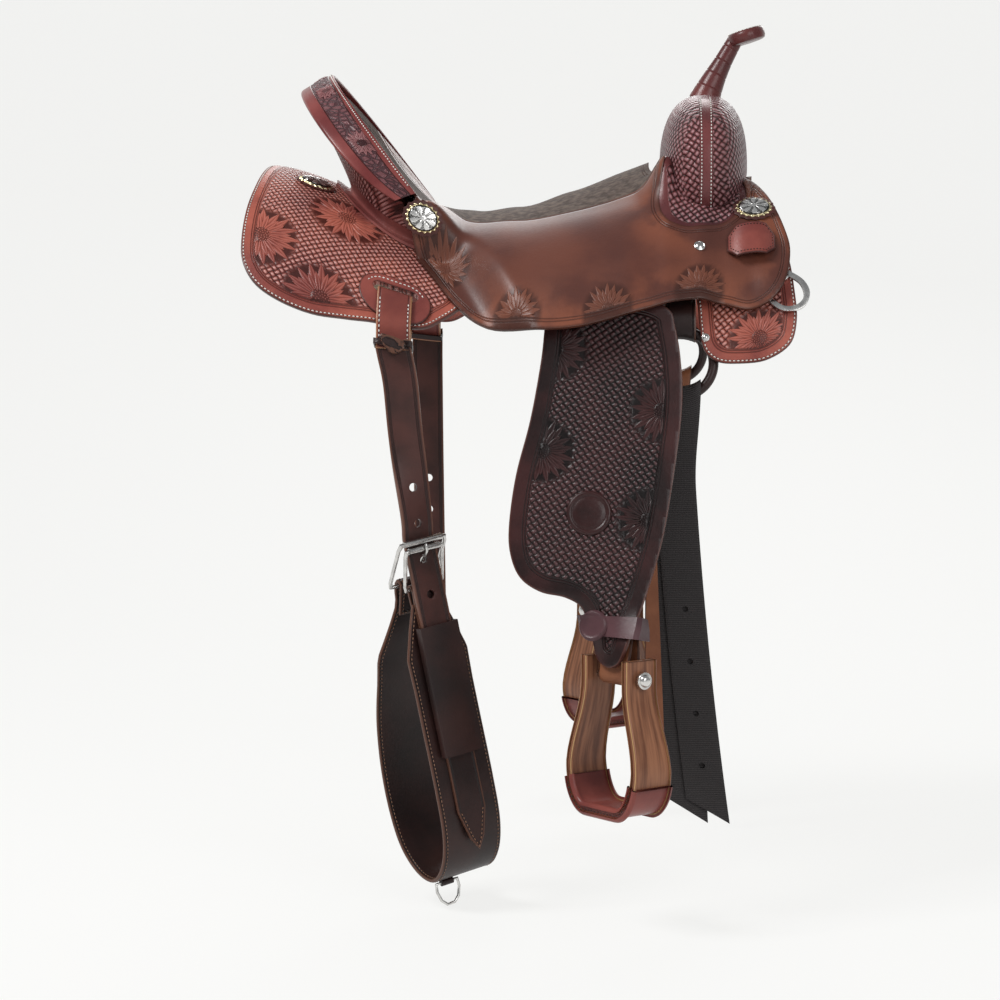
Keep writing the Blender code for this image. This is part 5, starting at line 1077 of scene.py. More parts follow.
def flower_relief(bm, marks, centre, radius, disc, place, height, hold, petals=17, turn=0.0):
    for ring, (reach, inner, wide, lift) in enumerate(((1.0, 0.80, 0.118, 0.0017), (0.76, 0.72, 0.098, 0.0026))):
        for p in range(petals):
            angle = turn + 2 * math.pi * (p + 0.5 * ring) / petals
            c, s = math.cos(angle), math.sin(angle)
            sway = 0.05 * math.sin(p * 2.7 + ring)
            grid = []
            for i in range(8):
                t = i / 7
                r = mix(disc * inner, radius * reach * (1 + 0.06 * math.sin(p * 5.1)), t)
                half = radius * wide * max(0.03, math.sin(math.pi * min(1.0, t * 0.88 + 0.12)) ** 0.75)
                row = []
                for j in range(7):
                    w = j / 3 - 1
                    side = w * half + sway * r * t
                    dome = max(0.0, 1 - w * w) ** 0.5
                    vein = 0.55 * math.exp(-(w / 0.22) ** 2) * (1 - t * 0.5)
                    rise = lift * (dome - vein) * (1 - 0.35 * t) - 0.0005
                    row.append((centre[0] + c * r - s * side, centre[1] + s * r + c * side, rise,
                                max(0.0, dome - 1.4 * vein)))
                grid.append(row)
            patch(bm, marks, grid, place, height, hold)
    rows = 5
    around = 20
    grid = []
    for i in range(rows + 1):
        r = disc * (1 - i / rows)
        rise = 0.0016 + 0.0007 * (i / rows) - (0.0022 if i == 0 else 0.0)
        grid.append([(centre[0] + r * math.cos(2 * math.pi * j / around),
                      centre[1] + r * math.sin(2 * math.pi * j / around), rise, 0.35) for j in range(around + 1)])
    patch(bm, marks, grid, place, height, hold)
    for k in range(1, 44):
        r = disc * 0.88 * math.sqrt(k / 44)
        a = k * 2.39996
        u, v = centre[0] + r * math.cos(a), centre[1] + r * math.sin(a)
        e = disc * 0.075
        top = 0.0030
        grid = [[(u - e, v - e, 0.0010, 0.2), (u, v - e, 0.0020, 0.5), (u + e, v - e, 0.0010, 0.2)],
                [(u - e, v, 0.0020, 0.5), (u, v, top, 1.0), (u + e, v, 0.0020, 0.5)],
                [(u - e, v + e, 0.0010, 0.2), (u, v + e, 0.0020, 0.5), (u + e, v + e, 0.0010, 0.2)]]
        patch(bm, marks, grid, place, height, hold)


def flowers_on(name, body, mat, flowers, place, height, outline, border, disc_share=0.30, rise=1.0):
    """Carved flowers (u, v, radius) on a leather, held back at its border."""
    bm, marks = relief_blank()
    distance = rim_distance(outline)
    ring = [Vector((p[0], p[1])) for p in outline]

    def inside(u, v):
        odd = False
        for a, b in zip(ring, ring[1:] + ring[:1]):
            if (a.y > v) != (b.y > v) and u < (b.x - a.x) * (v - a.y) / (b.y - a.y) + a.x:
                odd = not odd
        return odd

    def hold(u, v):
        if not inside(u, v):
            return 0.0
        return smooth((float(distance([(u, v)])[0]) - border) / 0.0016)
    for k, (u, v, radius) in enumerate(flowers):
        flower_relief(bm, marks, (u, v), radius, radius * disc_share,
                      lambda a, b, h: place(a, b, height + (h - height) * rise), height, hold, turn=k * 0.7)
    bmesh.ops.delete(bm, geom=[v for v in bm.verts if not v.link_faces], context="VERTS")
    bm.normal_update()
    for face in bm.faces:
        middle = face.calc_center_median()
        outward = Vector((min(0.0, middle.x + 0.1) * 0.5, middle.y, middle.z + 0.10))
        if face.normal.dot(outward) < 0:
            face.normal_flip()
    carving = put(name, mesh_of(name, bm), mat)
    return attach(carving, body)


# %% [markdown]
# ## Skirts and woolskin
#
# The two skirts are the big leathers under everything. Behind the cantle they are basket-stamped, with a
# whole flower under the concho and two half ones growing from the border. A stitched line holds the
# woolskin lining just inside the edge.

# %% Skirts
SKIRT_REAR_EDGE = ((-0.290, 0.040), (-0.296, 0.114), (-0.301, 0.168), (-0.302, 0.216), (-0.298, 0.246))
SKIRT_REAR_FOOT = ((-0.282, 0.272), (-0.254, 0.287), (-0.219, 0.291), (-0.182, 0.283), (-0.153, 0.275),
                   (-0.122, 0.270), (-0.095, 0.262), (-0.074, 0.244), (-0.058, 0.226))
SKIRT_CUTAWAY = ((-0.032, 0.190), (-0.005, 0.160), (0.050, 0.146), (0.120, 0.146), (0.165, 0.160),
                 (0.192, 0.200), (0.202, 0.245))
SKIRT_FRONT_FOOT = ((0.205, 0.277), (0.209, 0.303), (0.222, 0.319), (0.243, 0.326), (0.276, 0.327),
                    (0.303, 0.311), (0.311, 0.284))
SKIRT_FRONT_EDGE = ((0.309, 0.249), (0.303, 0.205), (0.290, 0.159), (0.275, 0.114), (0.259, 0.081))
CHANNEL_S = 0.040
FLEECE_OUTLINE = ((-0.284, 0.012), (-0.284, 0.012), (-0.288, 0.040), (-0.291, 0.114), (-0.295, 0.168),
                  (-0.296, 0.216), (-0.290, 0.243), (-0.276, 0.265), (-0.250, 0.279), (-0.219, 0.283),
                  (-0.192, 0.276), (-0.176, 0.258), (-0.168, 0.222), (-0.150, 0.200), (-0.100, 0.196),
                  (-0.060, 0.190), (-0.030, 0.168), (0.000, 0.150), (0.050, 0.138), (0.120, 0.138),
                  (0.200, 0.138), (0.240, 0.150), (0.250, 0.200), (0.253, 0.260), (0.262, 0.305),
                  (0.278, 0.320), (0.296, 0.306), (0.304, 0.284), (0.302, 0.249), (0.296, 0.205),
                  (0.283, 0.159), (0.268, 0.114), (0.250, 0.080), (0.225, 0.055), (0.225, 0.055),
                  (-0.100, 0.050), (-0.100, 0.050), (-0.150, 0.012), (-0.150, 0.012))
SLOT_X = -0.1290
SLOT_S = 0.2290
SLOT_LENGTH = 0.0500
SLOT_WIDTH = 0.0150
PLATE_LENGTH = 0.0800
PLATE_WIDTH = 0.0560
FOLD_END_S = 0.3000
FOLD_SLANT = -0.24
HINGE_GAP = 0.0044
FLANK_W = 0.0380
BUCKLE_TURN = math.radians(35)
CINCH_W = 0.0760
DEE_OFF = -0.0180
BUCKLE_INNER_W = 0.0480
BUCKLE_WIRE_R = 0.0022
BUCKLE_ROLLER_R = 0.0034
SKIRT_FLOWERS = ((-0.190, 0.135, 0.042), (-0.2815, 0.207, 0.043), (-0.2105, 0.2715, 0.043), (0.270, 0.302, 0.034))


def side_name(side):
    return "right" if side == RIGHT else "left"


def skirts():
    top = ((0.240, CHANNEL_S + 0.012), (0.215, CHANNEL_S), (0.215, CHANNEL_S), (-0.090, CHANNEL_S),
           (-0.090, CHANNEL_S), (-0.140, GAP / 2), (-0.140, GAP / 2), (-0.285, GAP / 2), (-0.285, GAP / 2))
    outline = curved((*SKIRT_REAR_EDGE, *SKIRT_REAR_FOOT, *SKIRT_CUTAWAY, *SKIRT_FRONT_FOOT,
                      *SKIRT_FRONT_EDGE, *top), 6)
    slot = round_slot(SLOT_X, SLOT_S, SLOT_LENGTH, SLOT_WIDTH, 8)
    plate = round_slot(SLOT_X, SLOT_S + 0.009, PLATE_LENGTH, PLATE_WIDTH, 12)
    for side in (RIGHT, LEFT):
        form = on_form(side)
        tag = side_name(side)
        leather("skirt_" + tag, OXBLOOD, outline, SKIRT_T, form, holes=(slot,), flowers=SKIRT_FLOWERS)
        flowers_on("skirt_flowers_" + tag, "saddle", OXBLOOD, SKIRT_FLOWERS, form, SKIRT_T, outline, 0.0145)
        stitches("skirt_stitches_" + tag, "saddle", inset_path(outline, 0.0028, lambda x, s: s > 0.030), form, SKIRT_T)
        leather("slot_plate_" + tag, OXBLOOD_PLAIN, plate, PLATE_T,
                lambda x, s, h: form(x, s, h + SKIRT_T + GAP), 0.003, 0.003, holes=(slot,))
        stitches("slot_plate_stitches_" + tag, "saddle", inset_path(plate, 0.0060, lambda x, s: s < SLOT_S), form,
                 SKIRT_T + PLATE_T + GAP)


def woolskin():
    outline = curved(FLEECE_OUTLINE, 3)
    for side in (RIGHT, LEFT):
        form = on_form(side)

        def pile(x, s, h):
            depth = FLEECE_T - h
            curl = (0.5 + 0.28 * math.sin(x * 310 + 2 * math.sin(s * 190))
                    + 0.22 * math.sin(s * 290 + 3 * math.sin(x * 130)))
            return form(x, s, h - FLEECE_T - LINING_GAP - 0.0022 * curl * smooth(depth / FLEECE_T))
        lining = leather("fleece_" + side_name(side), WOOL, outline, FLEECE_T, pile, 0.006, 0.006, rounding=0.004)


skirts()
woolskin()
print("skirts cut,", sum(len(p.data.polygons) for p in PIECES.values()), "faces so far")

# %% [markdown]
# ## Fork, horn and cantle
#
# The fork's swell is leather drawn tight over wood, so it is a rounded solid with the gullet cut away. The
# horn is tall and wrapped, as barrel racers like it. The cantle has a hollow stamped back, a rolled
# binding along its top, and a carved face band inside it.

# %% Swell
BAR_T = 0.0120
BAR_OUTER_S = 0.122
WINDOW_OUTER_S = 0.094
GROOVE_UNDER = 0.0052
GROOVE_OVER = 0.0030
SWELL_X = 0.2130
SWELL_Z = 0.150
SWELL_HALF_LENGTH = 0.0505
SWELL_HALF_WIDTH = 0.165
SWELL_HALF_HEIGHT = 0.086
SWELL_POWER = 2.5
GULLET_HALF_WIDTH = 0.072
GULLET_TOP_Z = 0.1535
HORN_WRAP_BASE_R = 0.0165
HORN_WRAP_TOP_R = 0.0125
HORN_CAP_LENGTH = 0.044
HORN_CAP_WIDTH = 0.052
HORN_CAP_T = 0.0150
HORN_CAP_TILT = math.radians(17)


def swell_solid(name, mat, inset):
    bm = bmesh.new()
    bmesh.ops.create_uvsphere(bm, u_segments=72, v_segments=56, radius=1.0)
    size = Vector((SWELL_HALF_LENGTH - inset, SWELL_HALF_WIDTH - inset, SWELL_HALF_HEIGHT - inset))
    for vert in bm.verts:
        d = Vector((vert.co.x, vert.co.z, vert.co.y))
        r = sum(abs(c) ** SWELL_POWER for c in d) ** (-1 / SWELL_POWER)
        vert.co = Vector((SWELL_X + d.x * r * size.x, d.y * r * size.y, SWELL_Z + d.z * r * size.z))
    bmesh.ops.recalc_face_normals(bm, faces=bm.faces)
    uv = bm.loops.layers.uv.new("flat")
    rim = bm.verts.layers.float.new("rim")
    bm.verts.ensure_lookup_table()
    for vert in bm.verts:
        vert[rim] = abs(vert.co.x - SWELL_X) + 0.0080 if abs(vert.co.y) > 0.09 else 0.05
    for face in bm.faces:
        n = face.normal
        for loop in face.loops:
            x, y, z = loop.vert.co
            loop[uv].uv = (x, z) if abs(n.y) > 0.6 else (y, x) if n.z > 0.75 else (y, z)
    return finish(name, bm, mat)


def form_slab(name, low, high, reach):
    """Everything on the form between two heights, out to the reach on both sides, as a cutter."""
    outline = [(0.130, -reach), (0.300, -reach), (0.300, reach), (0.130, reach)]
    form = on_form(RIGHT)
    return leather(name, TREE_WOOD, outline, high - low, lambda x, s, h: form(x, s, low + h), 0.02, 0.015)


def gullet_cutter():
    steps = 32
    arch = [(GULLET_HALF_WIDTH * math.cos(math.pi * k / steps),
             GULLET_TOP_Z - 0.09 + 0.09 * math.sin(math.pi * k / steps)) for k in range(steps + 1)]
    outline = [(-GULLET_HALF_WIDTH, 0.0)] + [(-y, z) for y, z in arch] + [(GULLET_HALF_WIDTH, 0.0)]
    bm = flat_mesh(outline, (), 0.30)
    for vert in bm.verts:
        vert.co = Vector((SWELL_X - 0.15 + vert.co.z, vert.co.x, vert.co.y))
    return finish("gullet_cutter", bm, TREE_WOOD)


# %% Horn
HORN_PATH = ((0.204, 0.195), (0.212, 0.225), (0.2235, 0.252), (0.2355, 0.275), (0.2455, 0.293))


def horn_tube(name, mat, start, end, r_start, r_end, sides=40, steps=40, swell=None):
    path = Path([Vector((x, 0, z)) for x, z in HORN_PATH])
    rings = []
    for k in range(steps + 1):
        length = mix(start, end, k / steps) * path.length
        point, tangent = path.at(length)
        across = Vector((0, 1, 0))
        up = tangent.cross(across)
        r = mix(r_start, r_end, k / steps) + (swell(k / steps) if swell else 0.0)
        rings.append(ring_round(point, across, r, up, r, sides))
    return loft(name, mat, rings)


def horn_cap_matrix():
    x, z = HORN_PATH[-1]
    tilt = Matrix.Rotation(-HORN_CAP_TILT, 4, "Y")
    return Matrix.Translation((x + 0.017, 0, z + 0.0115)) @ tilt


def horn():
    def wound(k):
        return 0.0018 * (1 - k) ** 6 - 0.0034 * smooth(k * 1.3) - 0.0005 * (abs(math.sin(k * math.pi * 4.5)) < 0.12)

    horn_tube("horn_wrap", HORN_LEATHER, 0.34, 1.06, HORN_WRAP_BASE_R, HORN_WRAP_TOP_R, steps=90, swell=wound)
    matrix = horn_cap_matrix()
    half = HORN_CAP_T / 2
    rings = []
    profile = ((0.02, -half), (0.80, -half), (0.93, -half * 0.86), (0.99, -half * 0.45), (1.0, 0.0),
               (0.99, half * 0.45), (0.93, half * 0.84), (0.84, half * 0.98), (0.815, half * 0.90),
               (0.79, half * 0.98), (0.5, half), (0.02, half))
    around = 64
    for share, z in profile:
        rings.append([matrix @ Vector((HORN_CAP_LENGTH / 2 * share * math.cos(2 * math.pi * j / around),
                                       HORN_CAP_WIDTH / 2 * share * math.sin(2 * math.pi * j / around), z))
                      for j in range(around)])
    loft("horn", HORN_LEATHER, rings)
    ring = [Vector((HORN_CAP_LENGTH * 0.450 * math.cos(2 * math.pi * j / 60),
                    HORN_CAP_WIDTH * 0.450 * math.sin(2 * math.pi * j / 60))) for j in range(61)]
    stitches("horn_stitches", "saddle", [ring], lambda u, v, h: matrix @ Vector((u, v, h)), half * 0.90)


def fork():
    cover = swell_solid("fork_cover", SWELL_LEATHER_AND_SHADE, 0.0)
    bars_top = SKIRT_T + GAP + BAR_T + GROUND_GAP
    boolean(cover, form_slab("below", -0.12, bars_top, 0.29))
    boolean(cover, gullet_cutter())
    shade(cover)
    for side in (RIGHT, LEFT):
        rows = []
        for shift in (-0.0052, 0.0052):
            run = []
            for k in range(60):
                a = math.radians(-62 + 124 * k / 59)
                run.append(Vector((shift, a)))
            rows.append(run)

        def on_swell(u, v, h, side=side):
            d = Vector((u / SWELL_HALF_LENGTH, math.cos(v), math.sin(v)))
            r = sum(abs(c) ** SWELL_POWER for c in d) ** (-1 / SWELL_POWER) * (1 + h * 8)
            return Vector((SWELL_X + d.x * r * SWELL_HALF_LENGTH, side * d.y * r * SWELL_HALF_WIDTH,
                           SWELL_Z + d.z * r * SWELL_HALF_HEIGHT))
        stitches("swell_stitches_" + side_name(side), "saddle", rows, on_swell, 0.0004, 0.045)


horn()
fork()
print("fork cover has", len(PIECES["fork_cover"].data.polygons), "faces")

# %% Cantle
def rim_rear(phi, inset=0.0):
    """Rear edge of the cantle's rim; the angle runs from -90 degrees, right corner, to 90, left corner."""
    c, s = math.cos(phi), math.sin(phi)
    return Vector((CANTLE_CORNER_X - (RIM_REAR_RUN - inset) * c ** RIM_BOW, (CANTLE_HALF_WIDTH - inset) * s,
                   RIM_REAR_Z + (RIM_REAR_RISE - inset) * c))


def rim_front(phi, inset=0.0):
    c, s = math.cos(phi), math.sin(phi)
    return Vector((RIM_FRONT_X - (RIM_FRONT_RUN - inset * 0.5) * c, (RIM_FRONT_HALF_WIDTH - inset) * s,
                   RIM_FRONT_Z + (RIM_FRONT_RISE - inset) * c))


def arch_angles(limit, count):
    return [math.radians(limit) * (2 * k / count - 1) for k in range(count + 1)]


def on_skirt(x, out, height):
    """The point at the plan place (x, out) that lies the given height above the form."""
    b = ridge_z(x) - FORM_ROOT_Z
    a = half_width(x)
    t = math.asin(min(0.99, abs(out) / (a + height)))
    normal = Vector((b * math.sin(t), a * math.cos(t))).normalized()
    return Vector((x, math.copysign(a * math.sin(t) + normal.x * height, out),
                   FORM_ROOT_Z + b * math.cos(t) + normal.y * height))


BACK_RUN = 0.088
BACK_HALF_WIDTH = 0.128


def cantle_rear(phi, inset, foot_height):
    """Top, middle and foot of the cantle's hollow rear face, moved inwards by the inset."""
    c, s = math.cos(phi), math.sin(phi)
    inward = Vector((c, -s, 0)) * inset
    top = rim_rear(phi, BINDING_T - 0.0004) + inward
    foot = on_skirt(CANTLE_CORNER_X - (BACK_RUN - inset) * c, (BACK_HALF_WIDTH - inset) * s, foot_height)
    middle = mix(top, foot, 0.5) + Vector((0.003 * c, -0.002 * s, 0))
    return top, middle, foot


def cantle():
    rings = []
    for phi in arch_angles(88, 80):
        c, s = math.cos(phi), math.sin(phi)
        lift = SKIRT_T + 0.0012
        top, middle, foot = cantle_rear(phi, 0.0, lift + 0.0032)
        top_in, middle_in, foot_in = cantle_rear(phi, COVER_T, lift)
        flange_x = CANTLE_CORNER_X - (BACK_RUN + 0.016) * c
        flange_out = (BACK_HALF_WIDTH + 0.012) * s
        flange_top = on_skirt(flange_x, flange_out, lift + 0.0028)
        flange = on_skirt(flange_x, flange_out, lift)
        outer = curved((top, middle, foot, flange_top), 8, closed=False)
        inner = curved((foot_in, middle_in, top_in), 4, closed=False)
        rings.append([*outer, flange, *inner])
    back = loft("cantle_back", BACK_LEATHER, rings)
    rim = back.data.attributes["rim"].data
    for item, vert in zip(rim, back.data.vertices):
        over = vert.co.z - on_skirt(vert.co.x, vert.co.y, SKIRT_T).z
        item.value = 0.0080 + 0.012 * smooth((over - 0.016) / 0.004)
    spread_map(back, lambda co: (math.atan2(co.y, co.z - 0.06) * 0.19, co.z * 1.05 - co.x * 0.25))

    rings = []
    for phi in arch_angles(87, 96):
        rear = rim_rear(phi)
        front = rim_front(phi)
        radial = Vector((-0.25 * math.cos(phi), math.sin(phi), math.cos(phi))).normalized()
        along = (front - rear).normalized()
        t = BINDING_T
        ring = [rear - radial * t * 0.75 - along * t * 0.10,
                rear - radial * t * 0.25 - along * t * 0.55,
                rear + radial * t * 0.35 - along * t * 0.45,
                rear + radial * t * 0.60 + along * t * 0.30,
                mix(rear, front, 0.5) + radial * t * 0.55,
                front + radial * t * 0.15 - along * 0.002,
                front - radial * t * 0.20,
                front - radial * t * 0.55 - along * 0.002,
                mix(rear, front, 0.5) - radial * t * 0.45,
                rear - radial * t * 0.75 + along * t * 0.60]
        rings.append(curved(ring, 5))
    binding = loft("cantle_binding", band_finish(), rings)
    spread_map(binding, band_share)


def spread_map(piece, place_on):
    """Lays the piece's own map by a function of each corner's place."""
    uv = piece.data.uv_layers["flat"].data
    for loop in piece.data.loops:
        uv[loop.index].uv = place_on(piece.data.vertices[loop.vertex_index].co)


def band_share(co):
    """Share of the binding's width, from its rear rim to its front edge, and the arc along it in metres."""
    phi = math.atan2(co.y / CANTLE_HALF_WIDTH, (co.z - RIM_REAR_Z) / RIM_REAR_RISE)
    phi = max(-1.56, min(1.56, phi))
    rear = rim_rear(phi)
    width = rim_front(phi) - rear
    return (co - rear).dot(width) / width.length_squared, phi * 0.20


def band_finish():
    """Rolled plain rear edge, and a carved panel of leaves between two grooves. Painted shade darkens the cuts between
    the leaves, the carved ground and the grooves; painted highlights lie on the carved tops.
    """
    paint = Paint("cantle_band", 0.30)
    body = paint.object_place()
    share = paint.parts(paint.flat_place())[0]
    relief = paint.mark("relief")
    tooled = paint.mark("tooled")
    panel = share.rise(0.29, 0.31) * (1 - share.rise(0.83, 0.85)) * (1 - tooled)
    leaf_place = paint.turned(paint.flat_place(), (5.0, 120.0, 1.0), 0.3)
    cells = paint.add("ShaderNodeTexVoronoi", {"feature": "DISTANCE_TO_EDGE"},
                      {"Vector": leaf_place, "Scale": 1.0}, "Distance")
    veins = (cells * 46.0).wave() * 0.5 + 0.5
    leaf = cells.rise(0.02, 0.20)
    mottle = paint.noise(body, 20.0, 4.0).rise(0.3, 0.7)
    fine = paint.noise(body, 700.0, 2.0)
    plain = paint.mixed(mottle, (0.125, 0.022, 0.022), (0.225, 0.056, 0.050))
    # Painted shade in the cuts between the leaves.
    carved = paint.mixed(leaf * 0.7 + veins * 0.3, (0.016, 0.006, 0.009), (0.175, 0.066, 0.072))
    colour = paint.mixed(panel, plain, carved)
    crest = tooled * relief.rise(0.75, 1.0)
    # Painted shade on the carved ground, then a painted highlight on the carved tops.
    colour = paint.mixed(tooled, colour, (0.022, 0.008, 0.010))
    colour = paint.mixed(tooled * relief.rise(0.25, 0.75), colour, (0.190, 0.070, 0.072))
    colour = paint.mixed(crest, colour, (0.430, 0.230, 0.235))
    height = fine * 0.00006 + panel * (leaf * 0.0012 + veins * 0.0003)
    for line in (0.285, 0.86):
        groove = share.near(line, 0.022)
        height = height - groove * 0.0009
        # Painted shade in the grooves.
        colour = paint.mixed(groove * 0.85, colour, (0.022, 0.007, 0.008))
    paint.show(Base_Color=colour, Roughness=0.24 + fine * 0.12 + panel * 0.10)
    paint.bump(height)
    return paint.material


def band_place(share, phi, h):
    """Point of the binding's outer face: share from its rear rim to its front edge."""
    rear = rim_rear(phi)
    front = rim_front(phi)
    radial = Vector((-0.25 * math.cos(phi), math.sin(phi), math.cos(phi))).normalized()
    lift = mix(0.60, 0.15, share) + 0.42 * math.sin(math.pi * share) * 0.5
    return mix(rear, front, share) + radial * (BINDING_T * lift + h)


def cantle_trim():
    run = [Vector((0.93, math.radians(-84 + 168 * k / 160))) for k in range(161)]
    stitches("cantle_stitches", "saddle", [run], band_place, 0.0003, 0.020)
    flat = [(0.0125, -0.31), (0.0335, -0.31), (0.0335, 0.31), (0.0125, 0.31)]
    flowers = [(0.0245, phi * 0.20, 0.021) for phi in (-1.10, -0.50, 0.0, 0.50, 1.10)]

    def band(u, v, h):
        return band_place(u / 0.040, v / 0.20, h)
    flowers_on("cantle_flowers", "saddle", PIECES["cantle_binding"].data.materials[0], flowers, band, 0.0, flat, 0.0,
               rise=0.8)


cantle()
cantle_trim()
print("cantle done")

# %% [markdown]
# ## Seat
#
# Seat and jockeys are one leather in this build: it covers the ground seat, runs up the cantle's dish and
# out over the skirts. It is padded under the rider, smooth and brown on the jockeys, and rough side out
# on top for grip.

# %% Seat finish
def seat_finish():
    paint = Paint("seat_brown_and_suede", 0.36)
    body = paint.object_place()
    rim = paint.mark("rim")
    tooled = paint.mark("tooled")
    relief = paint.mark("relief")
    u, v, _ = paint.parts(paint.flat_place())
    mottle = paint.noise(body, 14.0, 4.0).rise(0.3, 0.7)
    pores = paint.noise(body, 330.0, 3.0)
    nap = paint.noise(body, 130.0, 5.0)
    grain = paint.mixed(mottle, (0.080, 0.026, 0.019), (0.128, 0.042, 0.027))
    # Orange-brown tone near the cut edge, flecked by the mottle.
    orange_near_rim = rim.near(0.0, 0.055) * mottle.rise(0.2, 0.8)
    grain = paint.mixed(orange_near_rim * 0.62, grain, (0.250, 0.078, 0.040))
    suede = paint.mixed(nap.rise(0.3, 0.7), (0.050, 0.034, 0.028), (0.125, 0.092, 0.074))
    edge = v.size() + ((u - 0.02) * (u - 0.02)) * 0.6
    top = 1 - edge.rise(0.1040, 0.1065)
    colour = paint.mixed(top, grain, suede)
    seam = edge.near(0.1085, 0.0022)
    colour = paint.mixed(seam * 0.8, colour, (0.035, 0.014, 0.009))
    # Painted shade on the carved ground between the petals, and a painted highlight on their raised tops.
    ground = tooled * (1 - relief.rise(0.05, 0.6))
    colour = paint.mixed(ground * 0.80, colour, (0.040, 0.013, 0.009))
    colour = paint.mixed(relief * tooled * 0.3, colour, (0.30, 0.11, 0.06))
    height = pores * 0.00012 + top * nap * 0.0009 - seam * 0.0012
    for line in (0.0062, 0.0088):
        groove = rim.near(line, 0.0010)
        height = height - groove * 0.0006
        # Painted shade in the border grooves.
        colour = paint.mixed(groove * 0.7, colour, (0.045, 0.014, 0.009))
    cut = 1 - rim.rise(0.0004, 0.0030)
    colour = paint.mixed(cut * 0.75, colour, (0.050, 0.016, 0.010))
    paint.show(Base_Color=colour, Roughness=0.30 + pores * 0.16 + top * 0.42)
    paint.bump(height)
    return paint.material


# %% Seat
def mirrored(half):
    """Closed outline from a half with s >= 0, its two ends on s = 0."""
    return list(half) + [(x, -s) for x, s in reversed(half) if s > 1e-6]


SEAT_FRONT = ((0.1500, 0.0), (0.1500, 0.0), (0.1500, 0.040), (0.1550, 0.070), (0.1640, 0.092), (0.1675, 0.100),
              (0.1675, 0.100), (0.1640, 0.112), (0.1610, 0.130), (0.1640, 0.150), (0.1760, 0.166),
              (0.2050, 0.172), (0.2380, 0.162), (0.2560, 0.136), (0.2570, 0.104), (0.2500, 0.082),
              (0.2500, 0.082), (0.2640, 0.094))
SEAT_EDGE = ((0.285, 0.132), (0.300, 0.175), (0.305, 0.205), (0.299, 0.241), (0.283, 0.264), (0.258, 0.272),
             (0.227, 0.262), (0.194, 0.255), (0.140, 0.261), (0.075, 0.269), (0.021, 0.268), (-0.034, 0.252),
             (-0.067, 0.224), (-0.094, 0.185))


def seat_arc_at(x, out):
    """Arc length s at which the seat's face has the plan half-width out."""
    low, high = 0.0, 0.25
    for _ in range(24):
        s = (low + high) / 2
        half, _, normal = section(x, s)
        if half + normal.x * seat_height(x, s) < out:
            low = s
        else:
            high = s
    return low


def seat_rear(count=12):
    points = []
    for k in range(count + 1):
        phi = math.radians(88) * (1 - k / count)
        point = rim_front(phi, 0.004)
        x = point.x + 0.002 + 0.002 * math.cos(phi)
        points.append((x, 0.0 if k == count else seat_arc_at(x, point.y)))
    return points


SEAT_FLOWERS = ((-0.078, 0.176, 0.030), (0.005, 0.254, 0.028), (0.105, 0.258, 0.028), (0.205, 0.246, 0.028))


def seat():
    finish_of_seat = seat_finish()
    half = curved((*SEAT_FRONT, *SEAT_EDGE, (-0.114, 0.156)), 6, closed=False)
    half = [tuple(p) for p in half] + seat_rear(24)
    outline = mirrored(half)
    both = [(x, s * side, r) for x, s, r in SEAT_FLOWERS for side in (1, -1)]
    body = leather("seat_leather", finish_of_seat, outline, SEAT_T, under_seat(SEAT_T), flowers=both)
    boolean(body, swell_solid("swell_clearance", finish_of_seat, -0.0008))
    shade(body)
    flowers_on("seat_flowers", "saddle", finish_of_seat, both, under_seat(0.0), 0.0, outline, 0.0092)
    plate = [(0.136, 0.0), (0.136, 0.055), (0.118, 0.082), (0.050, 0.088), (-0.035, 0.086),
             (-0.070, 0.066), (-0.080, 0.0)]
    base = curved(((0.158, 0.098), (0.156, 0.130), (0.162, 0.160), (0.185, 0.178), (0.215, 0.180), (0.246, 0.170),
                   (0.264, 0.140), (0.262, 0.100), (0.235, 0.086), (0.195, 0.084)), 6)
    for side in (RIGHT, LEFT):
        face = over_seat(side)
        collar = leather("swell_collar_" + side_name(side), SWELL_LEATHER_AND_SHADE, base, 0.0020,
                         lambda x, s, h: face(x, s, h - SEAT_T - 0.0006 + 0.0030 * smooth(1 - abs(s - 0.13) / 0.05)))
        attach(collar, "saddle")
    depth = SEAT_T + GROUND_GAP + GROUND_T
    pad = leather("ground_seat", FOAM, [tuple(p) for p in curved(mirrored(plate), 2)], GROUND_T,
                  under_seat(depth), 0.012, 0.012, rounding=0.003)


seat()
print("seat has", len(PIECES["seat_leather"].data.polygons), "faces")

# %% [markdown]
# ## Fenders, stirrup leathers and stirrups
#
# A fender shields the rider's leg and hangs with the stirrup leather behind it. Both turn at the neck so
# that the stirrup faces forward. The stirrup is bent laminated wood on a steel bolt, its foot wrapped in
# leather.

# %% Fenders
FENDER_TILT = math.radians(13)
FENDER_OUT = 0.2210
PIVOT_X = 0.1080
PIVOT_Z = -0.0300
STIRRUP_LEATHER_W = 0.066
BOLT_DROP = 0.3810
DRAWN_DROP = 0.3810
TWIST_FROM = BOLT_DROP - 0.096
TWIST_TO = BOLT_DROP - 0.009
HOBBLE_ABOVE_BOLT = 0.052
TURN_RIGHT = math.radians(50)
TURN_LEFT = math.radians(40)
LEAN_LEFT = math.radians(2.0)
HUNG = ((RIGHT, TURN_RIGHT, 0.0), (LEFT, TURN_LEFT, LEAN_LEFT))
LAYER_LEATHER = LOOP_T + GAP
LAYER_OUTER = LAYER_LEATHER + STIRRUP_LEATHER_T + GAP
LAYER_FENDER = LAYER_OUTER + LOOP_T + GAP
BOLT_AHEAD = 0.0100
BOLT_R = 0.0045
TWIST_GAP = 0.0016
BOLT_N = LAYER_FENDER - GAP - TWIST_GAP - STIRRUP_LEATHER_T - GAP * 2 - BOLT_R
STIRRUP_TOP_HALF = 0.0290
